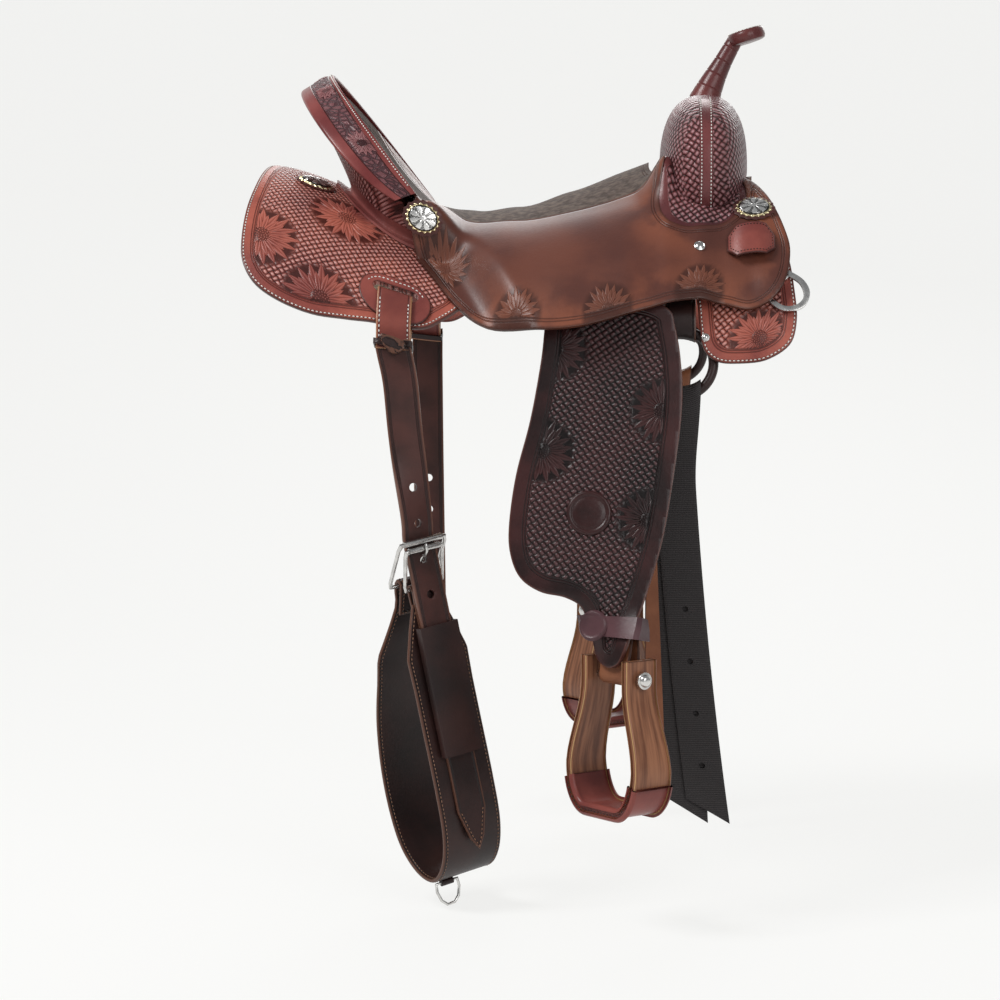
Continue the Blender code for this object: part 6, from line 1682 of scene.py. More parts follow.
STIRRUP_TREAD_HALF = 0.0600
STIRRUP_WOOD_T = 0.0105
STIRRUP_DEPTH_TOP = 0.0420
STIRRUP_DEPTH_TREAD = 0.0520
STIRRUP_DROP = 0.1500
STIRRUP_ABOVE_BOLT = 0.0210
TREAD_WRAP_T = 0.0022


def plane_frame(side, lean=0.0):
    """Axes of the fender plane: origin at the swing pivot, forward, down and outward directions."""
    origin = Vector((PIVOT_X, side * FENDER_OUT, PIVOT_Z))
    outward = Vector((0, side * math.cos(FENDER_TILT), math.sin(FENDER_TILT)))
    down = Vector((0, side * math.sin(FENDER_TILT), -math.cos(FENDER_TILT)))
    forward = Vector((1, 0, 0))
    turn = Matrix.Rotation(lean * side, 3, outward)
    return origin, turn @ forward, turn @ down, outward


def in_plane(side, base, lean=0.0, turn=0.0):
    """Wraps on the fender plane: u forward of the pivot, v down, h over the base height.

    From TWIST_FROM the leather turns about its middle, until its width lies along the level stirrup bolt.
    """
    origin, forward, down, outward = plane_frame(side, lean)
    bolt = bolt_point(side, lean)
    level = bolt_axis(side, turn)

    def place(u, v, h):
        twist = smooth((v - TWIST_FROM) / (TWIST_TO - TWIST_FROM))
        across = mix(forward, level, twist).normalized()
        along = (down - across * down.dot(across)).normalized()
        away = across.cross(along)
        if away.dot(outward) < 0:
            away.negate()
        hung = origin + down * v + outward * BOLT_N
        centre = mix(hung, bolt + along * (v - BOLT_DROP), twist)
        return centre + across * u + away * (base + h - BOLT_N)
    return place


def bolt_point(side, lean):
    origin, forward, down, outward = plane_frame(side, lean)
    return origin + forward * BOLT_AHEAD + down * BOLT_DROP + outward * BOLT_N


def bolt_axis(side, turn):
    """Level direction of the stirrup bolt, outward end first turned towards the horse's head."""
    return Vector((math.cos(turn), side * math.sin(turn), 0))


FENDER_OUTLINE = ((-0.070, -0.018), (-0.072, 0.000), (-0.076, 0.040), (-0.087, 0.104), (-0.102, 0.165),
                  (-0.109, 0.220), (-0.107, 0.252), (-0.096, 0.277), (-0.074, 0.292), (-0.048, 0.298),
                  (-0.031, 0.309), (-0.026, 0.330), (-0.025, 0.352), (-0.020, 0.366), (-0.002, 0.373),
                  (0.014, 0.368), (0.021, 0.354), (0.026, 0.332), (0.038, 0.300), (0.057, 0.235),
                  (0.071, 0.150), (0.078, 0.085), (0.076, 0.035), (0.070, 0.000), (0.064, -0.018),
                  (0.040, -0.030), (0.000, -0.034), (-0.045, -0.030))
LOOP_DROP = 0.048
LOOP_GAP = 0.0011
LEATHER_TOP = 0.0040
FENDER_FLOWERS = ((-0.0600, 0.026, 0.036), (0.0560, 0.094, 0.036), (-0.0740, 0.138, 0.036), (0.0420, 0.214, 0.036))


def stirrup_leather_loops():
    """The fold of each stirrup leather over its bar; both plies end either side of the hanging leather."""
    base = SKIRT_T + GAP
    strip_low = base + GROOVE_UNDER
    strip_high = base + BAR_T - GROOVE_OVER
    t = LOOP_T
    for side in (RIGHT, LEFT):
        origin, _, down, outward = plane_frame(side)
        form = on_form(side)

        def plane_point(x, v, n):
            return Vector((x, 0, 0)) + Vector((0, origin.y, origin.z)) + down * v + outward * n

        def path_at(x):
            high = strip_high + LOOP_GAP + t / 2
            low = strip_low - LOOP_GAP - t / 2
            inner = WINDOW_OUTER_S - LOOP_GAP - t / 2 - 0.0008
            return Path([
                plane_point(x, LOOP_DROP, LAYER_OUTER + t / 2), plane_point(x, 0.016, LAYER_OUTER + t / 2),
                plane_point(x, -0.018, LAYER_OUTER + t / 2), plane_point(x, -0.018, LAYER_OUTER + t / 2),
                form(x, 0.178, 0.0205), form(x, 0.145, 0.0165), form(x, BAR_OUTER_S, high), form(x, 0.104, high),
                form(x, inner + 0.001, high - 0.0008), form(x, inner, (high + low) / 2),
                form(x, inner + 0.001, low + 0.0008), form(x, 0.104, low),
                form(x, BAR_OUTER_S, low), form(x, 0.150, 0.0115), form(x, 0.180, 0.0125),
                plane_point(x, -0.018, t / 2), plane_point(x, -0.018, t / 2), plane_point(x, 0.016, t / 2),
                plane_point(x, LOOP_DROP, t / 2)], 6)
        paths = {}

        def place(u, v, h):
            x = PIVOT_X + u
            key = round(x, 5)
            if key not in paths:
                paths[key] = path_at(x)
            path = paths[key]
            point, tangent = path.at(v * path.length)
            normal = Vector((1, 0, 0)).cross(tangent)
            return point + normal * (h - t / 2)
        middle = path_at(PIVOT_X)
        leather("stirrup_leather_loop_" + side_name(side), RUSSET, strap_outline(STIRRUP_LEATHER_W, 1.0), t, place,
                0.006, 0.0045 / middle.length, scale_v=middle.length)


def fenders():
    for side, turn, lean in HUNG:
        tag = side_name(side)
        place = in_plane(side, LAYER_FENDER, lean, turn)
        outline = [(u, v * BOLT_DROP / DRAWN_DROP) for u, v in curved(FENDER_OUTLINE, 8)]
        leather("fender_" + tag, FENDER_BROWN_AND_SHADE, outline, FENDER_T, place,
                flowers=FENDER_FLOWERS)
        fittings_of_fender(place, outline, tag)
        stirrup_leather(side, turn, lean)
        hobble_strap(side, turn, lean)
        stirrup(side, turn, lean)


def stirrup_leather(side, turn, lean):
    """Hanging leather: down behind the fender, round the roller, and up again behind itself."""
    t = STIRRUP_LEATHER_T
    middle = BOLT_N
    front = LAYER_LEATHER + t / 2
    near_fender = LAYER_FENDER - GAP - t / 2
    wrap = BOLT_R + GAP * 2 + t / 2
    points = [(LEATHER_TOP, front), (0.020, front), (0.078, front), (0.112, near_fender), (0.170, near_fender),
              (BOLT_DROP - 0.141, near_fender), (BOLT_DROP - 0.101, near_fender - TWIST_GAP),
              (BOLT_DROP - 0.051, near_fender - TWIST_GAP), (BOLT_DROP - 0.010, near_fender - TWIST_GAP),
              (BOLT_DROP, middle + wrap)]
    for k in range(1, 6):
        angle = math.pi * k / 6
        points.append((BOLT_DROP + wrap * math.sin(angle), middle + wrap * math.cos(angle)))
    back = near_fender - TWIST_GAP - t - GAP
    points += [(BOLT_DROP, middle - wrap), (BOLT_DROP - 0.022, middle - wrap * 0.9), (BOLT_DROP - 0.056, back - 0.0052),
               (BOLT_DROP - 0.096, back - 0.0012), (BOLT_DROP - 0.119, back), (BOLT_DROP - 0.166, back)]
    path = Path([Vector((v, n, 0)) for v, n in points], 5)
    plane = in_plane(side, 0.0, lean, turn)

    def place(u, v, h):
        point, tangent = path.at(v)
        return plane(u, point.x - tangent.y * (h - t / 2), point.y + tangent.x * (h - t / 2))
    width = 0.046
    half = STIRRUP_LEATHER_W / 2
    narrow = width / 2
    neck = BOLT_DROP - 0.081
    shoulder = BOLT_DROP - 0.151
    outline = [(-half, 0.0), (half, 0.0), (half, shoulder), (narrow, neck), (narrow, path.length),
               (-narrow, path.length), (-narrow, neck), (-half, shoulder)]
    leather("stirrup_leather_" + side_name(side), RUSSET, outline, t, place)


def hobble_strap(side, turn, lean):
    """Strap round fender neck and stirrup leather, just over the stirrup."""
    t = 0.0030
    v_mid = BOLT_DROP - HOBBLE_ABOVE_BOLT
    low = BOLT_N - 0.0075
    high = LAYER_FENDER + FENDER_T + 0.0016
    half = 0.0340
    width = 0.022
    place_plane = in_plane(side, 0.0, lean, turn)

    def band(grow):
        cut = 0.003 + grow * 0.6
        a, b, c, d = -half - grow, half + grow, low - grow, high + grow
        inner = half * 0.5
        return [(a + cut, c), (-inner, c), (0.0, c), (inner, c), (b - cut, c), (b, c + cut), (b, d - cut),
                (b - cut, d), (inner, d), (0.0, d), (-inner, d), (a + cut, d), (a, d - cut), (a, c + cut)]
    rings = []
    for grow, v in ((0.0, -0.5), (t, -0.5), (t, 0.0), (t, 0.5), (0.0, 0.5), (0.0, 0.0)):
        rings.append([place_plane(u, v_mid + v * width, n) for u, n in band(grow)])
    loft("hobble_strap_" + side_name(side), HOBBLE_LEATHER, rings, closed=True)


# %% Stirrups
def stirrup_half_width(z):
    """Half the stirrup's inside width at z below the bolt: a bell, narrow above and round at the foot."""
    drop = -z / STIRRUP_DROP
    return mix(STIRRUP_TOP_HALF, STIRRUP_TREAD_HALF - STIRRUP_WOOD_T, smooth((drop - 0.05) / 0.62))


def stirrup_profile(grow=0.0):
    """Right half of the wooden bow as (inside, outside) points from its top to the middle of the tread."""
    points = []
    heights = [STIRRUP_ABOVE_BOLT, 0.012, 0.0, -0.012, -0.024, -0.036, -0.048, -0.060, -0.072, -0.084, -0.096]
    for z in heights:
        w = stirrup_half_width(z)
        points.append(((w - grow, z), (w + STIRRUP_WOOD_T + grow, z)))
    foot_in = -STIRRUP_DROP + STIRRUP_WOOD_T
    w = stirrup_half_width(-0.096)
    r_in = Vector((0.024, foot_in + 0.096))
    turns = 14
    for k in range(1, turns + 1):
        a = math.radians(90) * k / turns
        inside = (w - r_in.x * (1 - math.cos(a)), -0.096 + r_in.y * math.sin(a))
        outward = Vector((math.cos(a), -math.sin(a)))
        points.append(((inside[0] - outward.x * grow, inside[1] - outward.y * grow),
                       (inside[0] + outward.x * (STIRRUP_WOOD_T + grow),
                        inside[1] + outward.y * (STIRRUP_WOOD_T + grow))))
    points.append(((0.012, foot_in + grow), (0.012, foot_in - STIRRUP_WOOD_T - grow)))
    points.append(((0.0, foot_in + grow), (0.0, foot_in - STIRRUP_WOOD_T - grow)))
    return points


def stirrup_depth(z):
    return mix(STIRRUP_DEPTH_TOP, STIRRUP_DEPTH_TREAD, smooth(-z / (STIRRUP_DROP * 0.9)))


def bow(name, mat, matrix, grow, skip, soft=0.0022):
    """The bent bow, or its lower part with skip pairs left out at each end, grown on every side."""
    half = stirrup_profile(grow)[skip:]
    pairs = half + [((-a[0], a[1]), (-b[0], b[1])) for a, b in reversed(half[:-1])]
    rings = []
    for inside, outside in pairs:
        z_mid = (inside[1] + outside[1]) / 2
        d = stirrup_depth(z_mid) / 2 + grow
        a = Vector((inside[0], 0, inside[1]))
        b = Vector((outside[0], 0, outside[1]))
        to = (b - a).normalized()
        across = (b - a).length
        ring = []
        for side, end, steps in ((-1, 0, range(5)), (-1, 1, range(4, -1, -1)),
                                 (1, 1, range(5)), (1, 0, range(4, -1, -1))):
            for k in steps:
                angle = math.radians(90) * k / 4
                inset = soft - soft * math.sin(angle)
                depth = d - soft + soft * math.cos(angle)
                ring.append(a + to * (across - inset if end else inset) + Vector((0, side * depth, 0)))
        rings.append([matrix @ p for p in ring])
    return loft(name, mat, rings)


def rod(name, mat, centre, axis, r, length, sides=40):
    axis = axis.normalized()
    turn = axis.to_track_quat("Z", "Y").to_matrix().to_4x4()
    bm = bmesh.new()
    bmesh.ops.create_cone(bm, cap_ends=True, segments=sides, radius1=r, radius2=r, depth=length,
                          matrix=Matrix.Translation(centre) @ turn)
    return finish(name, bm, mat)


def stirrup(side, turn, lean):
    tag = side_name(side)
    centre = bolt_point(side, lean)
    across = bolt_axis(side, turn)
    depth = Vector((0, 0, 1)).cross(across)
    matrix = axes_at(centre, across, depth, Vector((0, 0, 1)))
    wood = bow("stirrup_" + tag, STIRRUP_WOOD, matrix, 0.0, 0)
    mark_plies(wood, matrix)
    bow("stirrup_tread_" + tag, OXBLOOD_PLAIN, matrix, GAP + TREAD_WRAP_T, 13, 0.0044)
    lace_tread(tag, matrix)
    outside = stirrup_half_width(0.0) + STIRRUP_WOOD_T
    shank = outside * 2 + 0.0020
    along = across.to_track_quat("Z", "Y").to_matrix()
    rings = []
    profile = [(-shank / 2 - 0.0086, 0.0010), (-shank / 2 - 0.0084, 0.0036), (-shank / 2 - 0.0070, 0.0058),
               (-shank / 2 - 0.0046, 0.0068), (-shank / 2 - 0.0040, 0.0070), (-shank / 2 - 0.0038, 0.0092),
               (-shank / 2 - 0.0030, 0.0095), (-shank / 2 - 0.0008, 0.0095), (-shank / 2 - 0.0004, 0.0090),
               (-shank / 2 - 0.0004, BOLT_R)]
    profile += [(-z, r) for z, r in reversed(profile)]
    for z, r in profile:
        ring = ring_round(Vector(), Vector((1, 0, 0)), r, Vector((0, 1, 0)), r, 32)
        rings.append([centre + across * z + along @ point for point in ring])
    loft("stirrup_bolt_" + tag, STAINLESS, rings)


def lace_tread(tag, matrix):
    """Laced seam along both edges of the wrapped tread."""
    half = [Vector((a[0] * 0.5 + b[0] * 0.5, a[1] * 0.5 + b[1] * 0.5)) for a, b in stirrup_profile()[14:]]
    run = half + [Vector((-p.x, p.y)) for p in reversed(half[:-1])]
    for sign, end in ((-1, "near"), (1, "far")):
        def edge(u, v, h, sign=sign):
            return matrix @ Vector((u, sign * (stirrup_depth(v) / 2 + GAP + TREAD_WRAP_T + h), v))
        stitches("tread_lace_" + end + "_" + tag, tag + "_stirrup", [run], edge, 0.0, 0.0052, RUSSET_LACE, 0.0008)


def mark_plies(wood, matrix):
    """Marks each corner with its share of the wood's thickness, from the inside of the bend to the outside."""
    inverse = matrix.inverted()
    layer = wood.data.attributes["relief"]
    half = stirrup_profile()
    middles = [(Vector(a), Vector(b)) for a, b in half]
    for item, vert in zip(layer.data, wood.data.vertices):
        at = inverse @ vert.co
        flat = Vector((abs(at.x), at.z))
        best = min(middles, key=lambda ab: ((ab[0] + ab[1]) / 2 - flat).length)
        to = best[1] - best[0]
        item.value = (flat - best[0]).dot(to) / to.length_squared


def fittings_of_fender(place, outline, tag):
    flowers_on("fender_flowers_" + tag, tag + "_fender", FENDER_BROWN_AND_SHADE, FENDER_FLOWERS, place, FENDER_T, outline, 0.0182)
    bm, marks = relief_blank()
    centre = (-0.0225, 0.206)
    rings = ((0.0245, -0.0006), (0.0240, 0.0012), (0.0215, 0.0022), (0.0190, 0.0012), (0.0182, 0.0003),
             (0.0174, 0.0008), (0.0120, 0.0011), (0.0004, 0.0012))
    grid = [[(centre[0] + r * math.cos(2 * math.pi * j / 64), centre[1] + r * math.sin(2 * math.pi * j / 64), rise, 0.6)
             for j in range(65)] for r, rise in rings]
    patch(bm, marks, grid, place, FENDER_T, lambda u, v: 1.0)
    medallion = put("fender_medallion_" + tag, mesh_of("fender_medallion", bm), FENDER_BROWN_AND_SHADE)
    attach(medallion, tag + "_fender")


RUSSET_LACE = leather_finish("lace", (0.16, 0.055, 0.035), (0.085, 0.026, 0.018), 0.42)
stirrup_leather_loops()
fenders()
print("fenders and stirrups:", sum(len(p.data.polygons) for p in PIECES.values()), "faces so far")

# %% [markdown]
# ## Front rigging
#
# A leather-wrapped ring hangs under the front of each skirt from a folded plate. The off side carries a
# doubled nylon billet with punched holes, the near side a soft latigo.

# %% Rigging
RING_X = 0.1840
RING_S = 0.3120
RING_R = 0.0365
RING_WIRE_R = 0.0055
RING_SINK = 0.0100
RIGGING_STRAP_W = 0.034
BILLET_W = 0.0445
BILLET_DROP = 0.4730


def ring_frame(side):
    """Centre of the rigging ring, down and outward directions of its plane."""
    form = on_form(side)
    centre = form(RING_X, RING_S, -RING_SINK)
    down = (form(RING_X, RING_S + 0.01, 0) - form(RING_X, RING_S - 0.01, 0))
    down.x = 0
    down.normalize()
    outward = Vector((0, side * -down.z, side * down.y))
    return centre, down, outward


def rigging():
    for side in (RIGHT, LEFT):
        tag = side_name(side)
        centre, down, outward = ring_frame(side)
        top = centre - down * RING_R
        steps = 72
        sides = 24
        rings = []
        for k in range(steps):
            a = 2 * math.pi * k / steps
            radial = Vector((1, 0, 0)) * math.cos(a) + down * math.sin(a)
            rings.append(ring_round(centre + radial * RING_R, radial, RING_WIRE_R, outward, RING_WIRE_R, sides))
        # The ring takes the dark brown finish; its darkness is partly painted shade, as the ring hangs in shadow under
        # the skirt.
        loft("rigging_ring_" + tag, DARK_BROWN_AND_SHADE, rings, closed=True)
        rigging_plate(side, top, down, outward)
        hanging_billet(side, centre, down)


def ring_rise(u):
    """How far the ring's wire has curved away at u from the middle of a strap folded over it."""
    return RING_R - math.sqrt(RING_R * RING_R - u * u)


def rigging_plate(side, top, down, outward):
    """Leather plate under the skirt, folded round the top of the ring."""
    t = 0.0030
    wrap = RING_WIRE_R + 0.0014 + t / 2
    form = on_form(side)
    high = -0.0031 - t / 2
    low = high - t - GAP * 2
    points = [form(RING_X, 0.165, high), form(RING_X, 0.200, high), form(RING_X, 0.228, high),
              top - down * 0.020 + outward * wrap * 0.85]
    for k in range(0, 7):
        a = math.pi * k / 6
        points.append(top + down * (wrap * math.sin(a)) + outward * (wrap * math.cos(a)))
    points += [top - down * 0.020 - outward * wrap * 0.95, form(RING_X, 0.228, low - 0.001), form(RING_X, 0.205, low)]
    path = Path(points, 5)
    flat = ribbon(path, lambda v: Vector((1, 0, 0)))

    def place(u, v, h):
        point = path.at(v)[0]
        near = 1 - smooth((point - top).dot(-down) / 0.030)
        return flat(u, v, h - t / 2) + down * (ring_rise(u) * near)
    outline = strap_outline(RIGGING_STRAP_W, path.length)
    leather("rigging_plate_" + side_name(side), DARK_BROWN_AND_SHADE, outline, t, place, 0.004, 0.004)


def hanging_billet(side, centre, down):
    """Off billet of nylon, or the latigo of leather: a long strap folded double over the ring."""
    nylon = side == RIGHT
    t = NYLON_T if nylon else 0.0036
    wrap = RING_WIRE_R + 0.0046 + t / 2
    wrap_high = RING_WIRE_R + 0.0030 + t / 2
    foot = centre + down * RING_R
    level = Vector((0, side, 0))
    plumb = Vector((0, 0, -1))
    apart = t / 2 + GAP

    def ply(sign):
        return [foot + plumb * BILLET_DROP + level * (sign * apart), foot + plumb * 0.300 + level * (sign * apart),
                foot + plumb * 0.150 + level * (sign * apart), foot + plumb * 0.070 + level * (sign * (apart + 0.0006)),
                foot + plumb * 0.032 + level * (sign * wrap * 0.62),
                foot + plumb * 0.010 + level * (sign * wrap * 0.97)]
    points = ply(1)
    for k in range(1, 6):
        a = math.pi * k / 6
        points.append(foot - plumb * (wrap_high * math.sin(a)) + level * (wrap * math.cos(a)))
    points += list(reversed(ply(-1)))
    path = Path(points, 5)
    half_length = path.length / 2
    lean = 0.045 if nylon else -0.005
    spread_ply = 0.024 if nylon else 0.006

    def place(u, v, h):
        point, tangent = path.at(v)
        from_top = abs(v - half_length)
        shift = lean * from_top - 0.011 * smooth(from_top / 0.12)
        if v < half_length:
            shift += spread_ply * (from_top / half_length) ** 2
        normal = Vector((1, 0, 0)).cross(tangent)
        rise = ring_rise(u) * (1 - smooth((from_top - 0.010) / 0.060))
        return point + Vector((u + shift, 0, rise)) + normal * (h - t / 2)
    half = BILLET_W / 2
    slant = 0.028 if nylon else 0.018
    outline = [(-half, slant), (half, 0.0), (half, path.length), (-half, path.length - slant)]
    holes = []
    if nylon:
        for row in range(4):
            reach = 0.065 + row * 0.058
            holes += [circle(0.0, reach, 0.0032), circle(0.0, path.length - reach, 0.0032)]
    else:
        for row in range(3):
            holes.append(circle(0.0, 0.060 + row * 0.050, 0.0030))
    leather("off_billet" if nylon else "latigo", NYLON if nylon else RUSSET, outline, t, place, holes=holes)


rigging()
print("ring and billets hung")

# %% [markdown]
# ## Flank gear
#
# The rear billets pass through the slots and fold round the foot of the skirt, where lace ties both plies.
# The off billet goes through a double buckle, and the cinch hangs from it in a long loop.

# %% Flank gear
def flank_hinge(side):
    """Where the billet leaves its laced fold: the axis on which it swings."""
    return on_form(side)(SLOT_X + 0.002, FOLD_END_S + HINGE_GAP, 0.0042)


def flank_folds():
    """Fold of each flank billet through its slot and round the foot of the skirt, and its lace."""
    t = FOLD_T
    front = SKIRT_T + PLATE_T + GAP * 7 + t / 2
    back = -GAP * 6 - t / 2
    mid = 0.0042
    edge_s = SLOT_S + SLOT_WIDTH / 2
    points = [(FOLD_END_S, mid + t / 2 + GAP), (FOLD_END_S - 0.014, mid + t / 2 + GAP + 0.0012),
              (0.272, front + 0.0002), (0.256, front), (edge_s + 0.006, front),
              (edge_s - 0.0020, front - 0.0004), (edge_s - t / 2 - 0.0020, (front + back) / 2 + 0.003),
              (edge_s - t / 2 - 0.0020, (front + back) / 2 - 0.003),
              (edge_s - 0.0020, back + 0.0004), (edge_s + 0.006, back), (0.256, back), (0.272, back),
              (FOLD_END_S - 0.014, mid - t / 2 - GAP - 0.0012), (FOLD_END_S, mid - t / 2 - GAP)]
    for side in (RIGHT, LEFT):
        tag = side_name(side)
        place, path = section_ribbon(points, side, SLOT_X)
        outline = strap_outline(FLANK_W, path.length)
        leather("flank_fold_" + tag, FOLD_LEATHER, outline, t, lambda u, v, h: place(u, v, h - t / 2), 0.003, 0.003)
        for edge in (-1, 1):
            run = [Vector((edge * (FLANK_W / 2 - 0.0035), 0.006 + 0.0005 * k)) for k in range(100)]
            stitches("flank_fold_stitches_" + tag + ("_rear" if edge < 0 else "_front"), "saddle", [run],
                     lambda u, v, h: place(u, v, -h), t / 2)
        lace(side, tag, mid, t)


def lace(side, tag, mid, t):
    """Lace tied round both plies, with a flat knot in front."""
    form = on_form(side)
    s_mid = FOLD_END_S - 0.0065
    reach = t + GAP * 2 + 0.0030
    half = FLANK_W / 2 + GAP * 2
    thick = 0.0016
    inner = [(-half, -reach), (half, -reach), (half, reach), (-half, reach)]
    outer = [(u + math.copysign(thick, u), n + math.copysign(thick, n)) for u, n in inner]
    bands = []
    for ring, s in ((inner, -0.003), (outer, -0.003), (outer, 0.003), (inner, 0.003)):
        bands.append([form(SLOT_X + u, s_mid + s + FOLD_SLANT * u, mid + n) for u, n in ring])
    band = loft("flank_lace_" + tag, DARK_BROWN_AND_SHADE, bands, closed=True)
    knot = [(-0.012, -0.005), (0.012, -0.005), (0.013, 0.003), (0.004, 0.011), (-0.004, 0.011), (-0.013, 0.003)]
    piece = leather("knot", DARK_BROWN_AND_SHADE, [tuple(p) for p in curved(knot, 2)], 0.0050,
                    lambda u, v, h: form(SLOT_X + u, s_mid + v, mid + reach + 0.0003 + h), 0.0025, 0.0025)
    boolean(band, piece, "UNION")


BUCKLE_AT = Vector((-0.099, HALF_WIDTH_REAR - 0.012, -0.278))
DOWN_X = 0.205


def buckle_frame(side):
    """Axes at the buckles: across the strap, outward and down along the cinch."""
    down = Vector((DOWN_X, side * 0.0, -1)).normalized()
    across = Vector((math.cos(BUCKLE_TURN), -side * math.sin(BUCKLE_TURN), 0))
    across = (across - down * across.dot(down)).normalized()
    outward = across.cross(down)
    if outward.y * side < 0:
        outward.negate()
    origin = Vector((BUCKLE_AT.x, side * BUCKLE_AT.y, BUCKLE_AT.z))
    return origin, across, outward, down


TAIL = 0.205
HOLE_PITCH = 0.040


def flank_billets():
    for side in (RIGHT, LEFT):
        hinge = flank_hinge(side)
        t = BILLET_T
        origin, across, _, down = buckle_frame(side)
        if side == RIGHT:
            points = [hinge, hinge + Vector((0.006, side * 0.0005, -0.030)),
                      mix(hinge, origin, 0.42), mix(hinge, origin, 0.8),
                      origin - down * 0.020, origin, origin + down * 0.06, origin + down * 0.13, origin + down * TAIL]
            width_dir = [Vector((1, 0, 0)), across]
            turn_from, turn_to = 0.06, 0.185
            top_slant = 0.0
        else:
            points = [hinge, hinge + Vector((0.0, 0.0, -0.030)), hinge + Vector((0.001, 0, -0.14)),
                      hinge + Vector((0.003, 0, -0.28)), hinge + Vector((0.005, 0, -0.40))]
            width_dir = [Vector((1, 0, 0)), Vector((1, 0, 0))]
            turn_from, turn_to = 0.1, 0.2
            top_slant = FOLD_SLANT
        path = Path(points, 8)

        def width_of(v):
            return mix(width_dir[0], width_dir[1], smooth((v - turn_from) / (turn_to - turn_from))).normalized()
        place = ribbon(path, width_of)
        round_top = t / 2
        outline = strap_outline(FLANK_W, path.length, 0.020, -0.0150)
        pin_v = path.length - TAIL + 0.0042 if side == RIGHT else 0.25
        holes = [circle(0.0, pin_v + k * HOLE_PITCH, 0.0047) for k in (-2, -1, 0, 1)]
        holes = [h for h in holes if h[0][1] > 0.04]

        def rounded(u, v, h):
            near = max(0.0, 1 - (v + 0.0150) / round_top)
            squeeze = math.sqrt(max(0.04, 1 - near * near))
            slanted = v + top_slant * u * (1 - smooth(v / 0.060))
            return place(u, slanted, (h - t / 2) * squeeze)
        leather("flank_billet_" + side_name(side), BILLET_BROWN, outline, t, rounded, holes=holes)


def flank_cinch():
    side = RIGHT
    origin, across, outward, down = buckle_frame(side)

    def at(w, n, t):
        return origin + across * w + outward * n + down * t
    heel_front = (-0.0105, 0.036)
    heel_rear = (-0.0330, 0.030)
    top_front = (BILLET_T / 2 + 0.0024 + BUCKLE_ROLLER_R, -0.0075)
    top_rear = (BILLET_T / 2 + 0.0034 + BUCKLE_ROLLER_R, -0.0160)
    wire_buckle("front", at, heel_front, top_front, BUCKLE_INNER_W / 2)
    wire_buckle("rear", at, heel_rear, top_rear, BUCKLE_INNER_W / 2 + 0.0060)

    t = CINCH_T
    n0 = heel_front[0]
    loop = [(n0, 0.052), (n0, 0.100), (n0, 0.180), (n0, 0.260), (n0 - 0.004, 0.310), (n0 - 0.020, 0.345),
            (n0 - 0.048, 0.364), (n0 - 0.082, 0.353), (n0 - 0.107, 0.318), (n0 - 0.113, 0.255),
            (n0 - 0.100, 0.185), (n0 - 0.070, 0.120), (n0 - 0.047, 0.076)]
    wrap = BUCKLE_WIRE_R + GAP * 3 + CINCH_T / 2
    heel = Vector(heel_rear)
    along = Vector((0.42, -0.907))
    beside = Vector((-0.907, -0.42))
    loop.append(tuple(heel + beside * wrap - along * 0.014))
    for k in range(7):
        a = math.pi * k / 6
        loop.append(tuple(heel + beside * (wrap * math.cos(a)) + along * (wrap * math.sin(a))))
    loop += [tuple(heel - beside * wrap - along * 0.014), tuple(heel - beside * (wrap - 0.0002) - along * 0.034)]
    path = Path([at(0, n, d) for n, d in loop], 6)
    place = ribbon(path, lambda v: across)
    wide = CINCH_W / 2
    narrow = FLANK_W / 2
    neck = 0.055
    top = path.length - 0.080
    outline = curved(((-narrow, 0.0), (-narrow, 0.0), (narrow, 0.0), (narrow, 0.0), (wide, neck),
                      (wide, neck + 0.04), (wide, path.length / 2), (wide, top - neck - 0.04),
                      (wide, top - neck), (narrow, top), (narrow, top + 0.02), (narrow, path.length),
                      (narrow, path.length), (-narrow, path.length), (-narrow, path.length), (-narrow, top + 0.02),
                      (-narrow, top), (-wide, top - neck), (-wide, top - neck - 0.04),
                      (-wide, path.length / 2), (-wide, neck + 0.04), (-wide, neck)), 2)
    leather("flank_cinch", DARK_BROWN_AND_SHADE, [tuple(p) for p in outline], t,
            lambda u, v, h: place(u, v, h - t / 2))
    for sign, tag in ((1, "outer"), (-1, "inner")):
        stitches("flank_cinch_stitches_" + tag, "right_flank_gear", inset_path(outline, 0.0042),
                 lambda u, v, h, sign=sign: place(u, v, h * sign), t / 2, 0.0046, TAN_THREAD, 0.00052)
    chape(at, heel_front, across)
    tongue(at, heel_front)
    keeper_sleeve(at)
    cinch_dee(at, n0)


def wire_loop(name, centres, normal, r, mitred=False):
    """A closed steel wire through the centres, all in the plane across the normal."""
    rings = []
    for k, centre in enumerate(centres):
        ahead = centres[(k + 1) % len(centres)]
        tangent = (ahead - centres[k - 1]).normalized()
        stretch = 1.0 / max(0.7, abs((ahead - centre).normalized().dot(tangent))) if mitred else 1.0
        rings.append(ring_round(centre, tangent.cross(normal), r * stretch, normal, r, 24))
    return loft(name, STAINLESS, rings, closed=True)


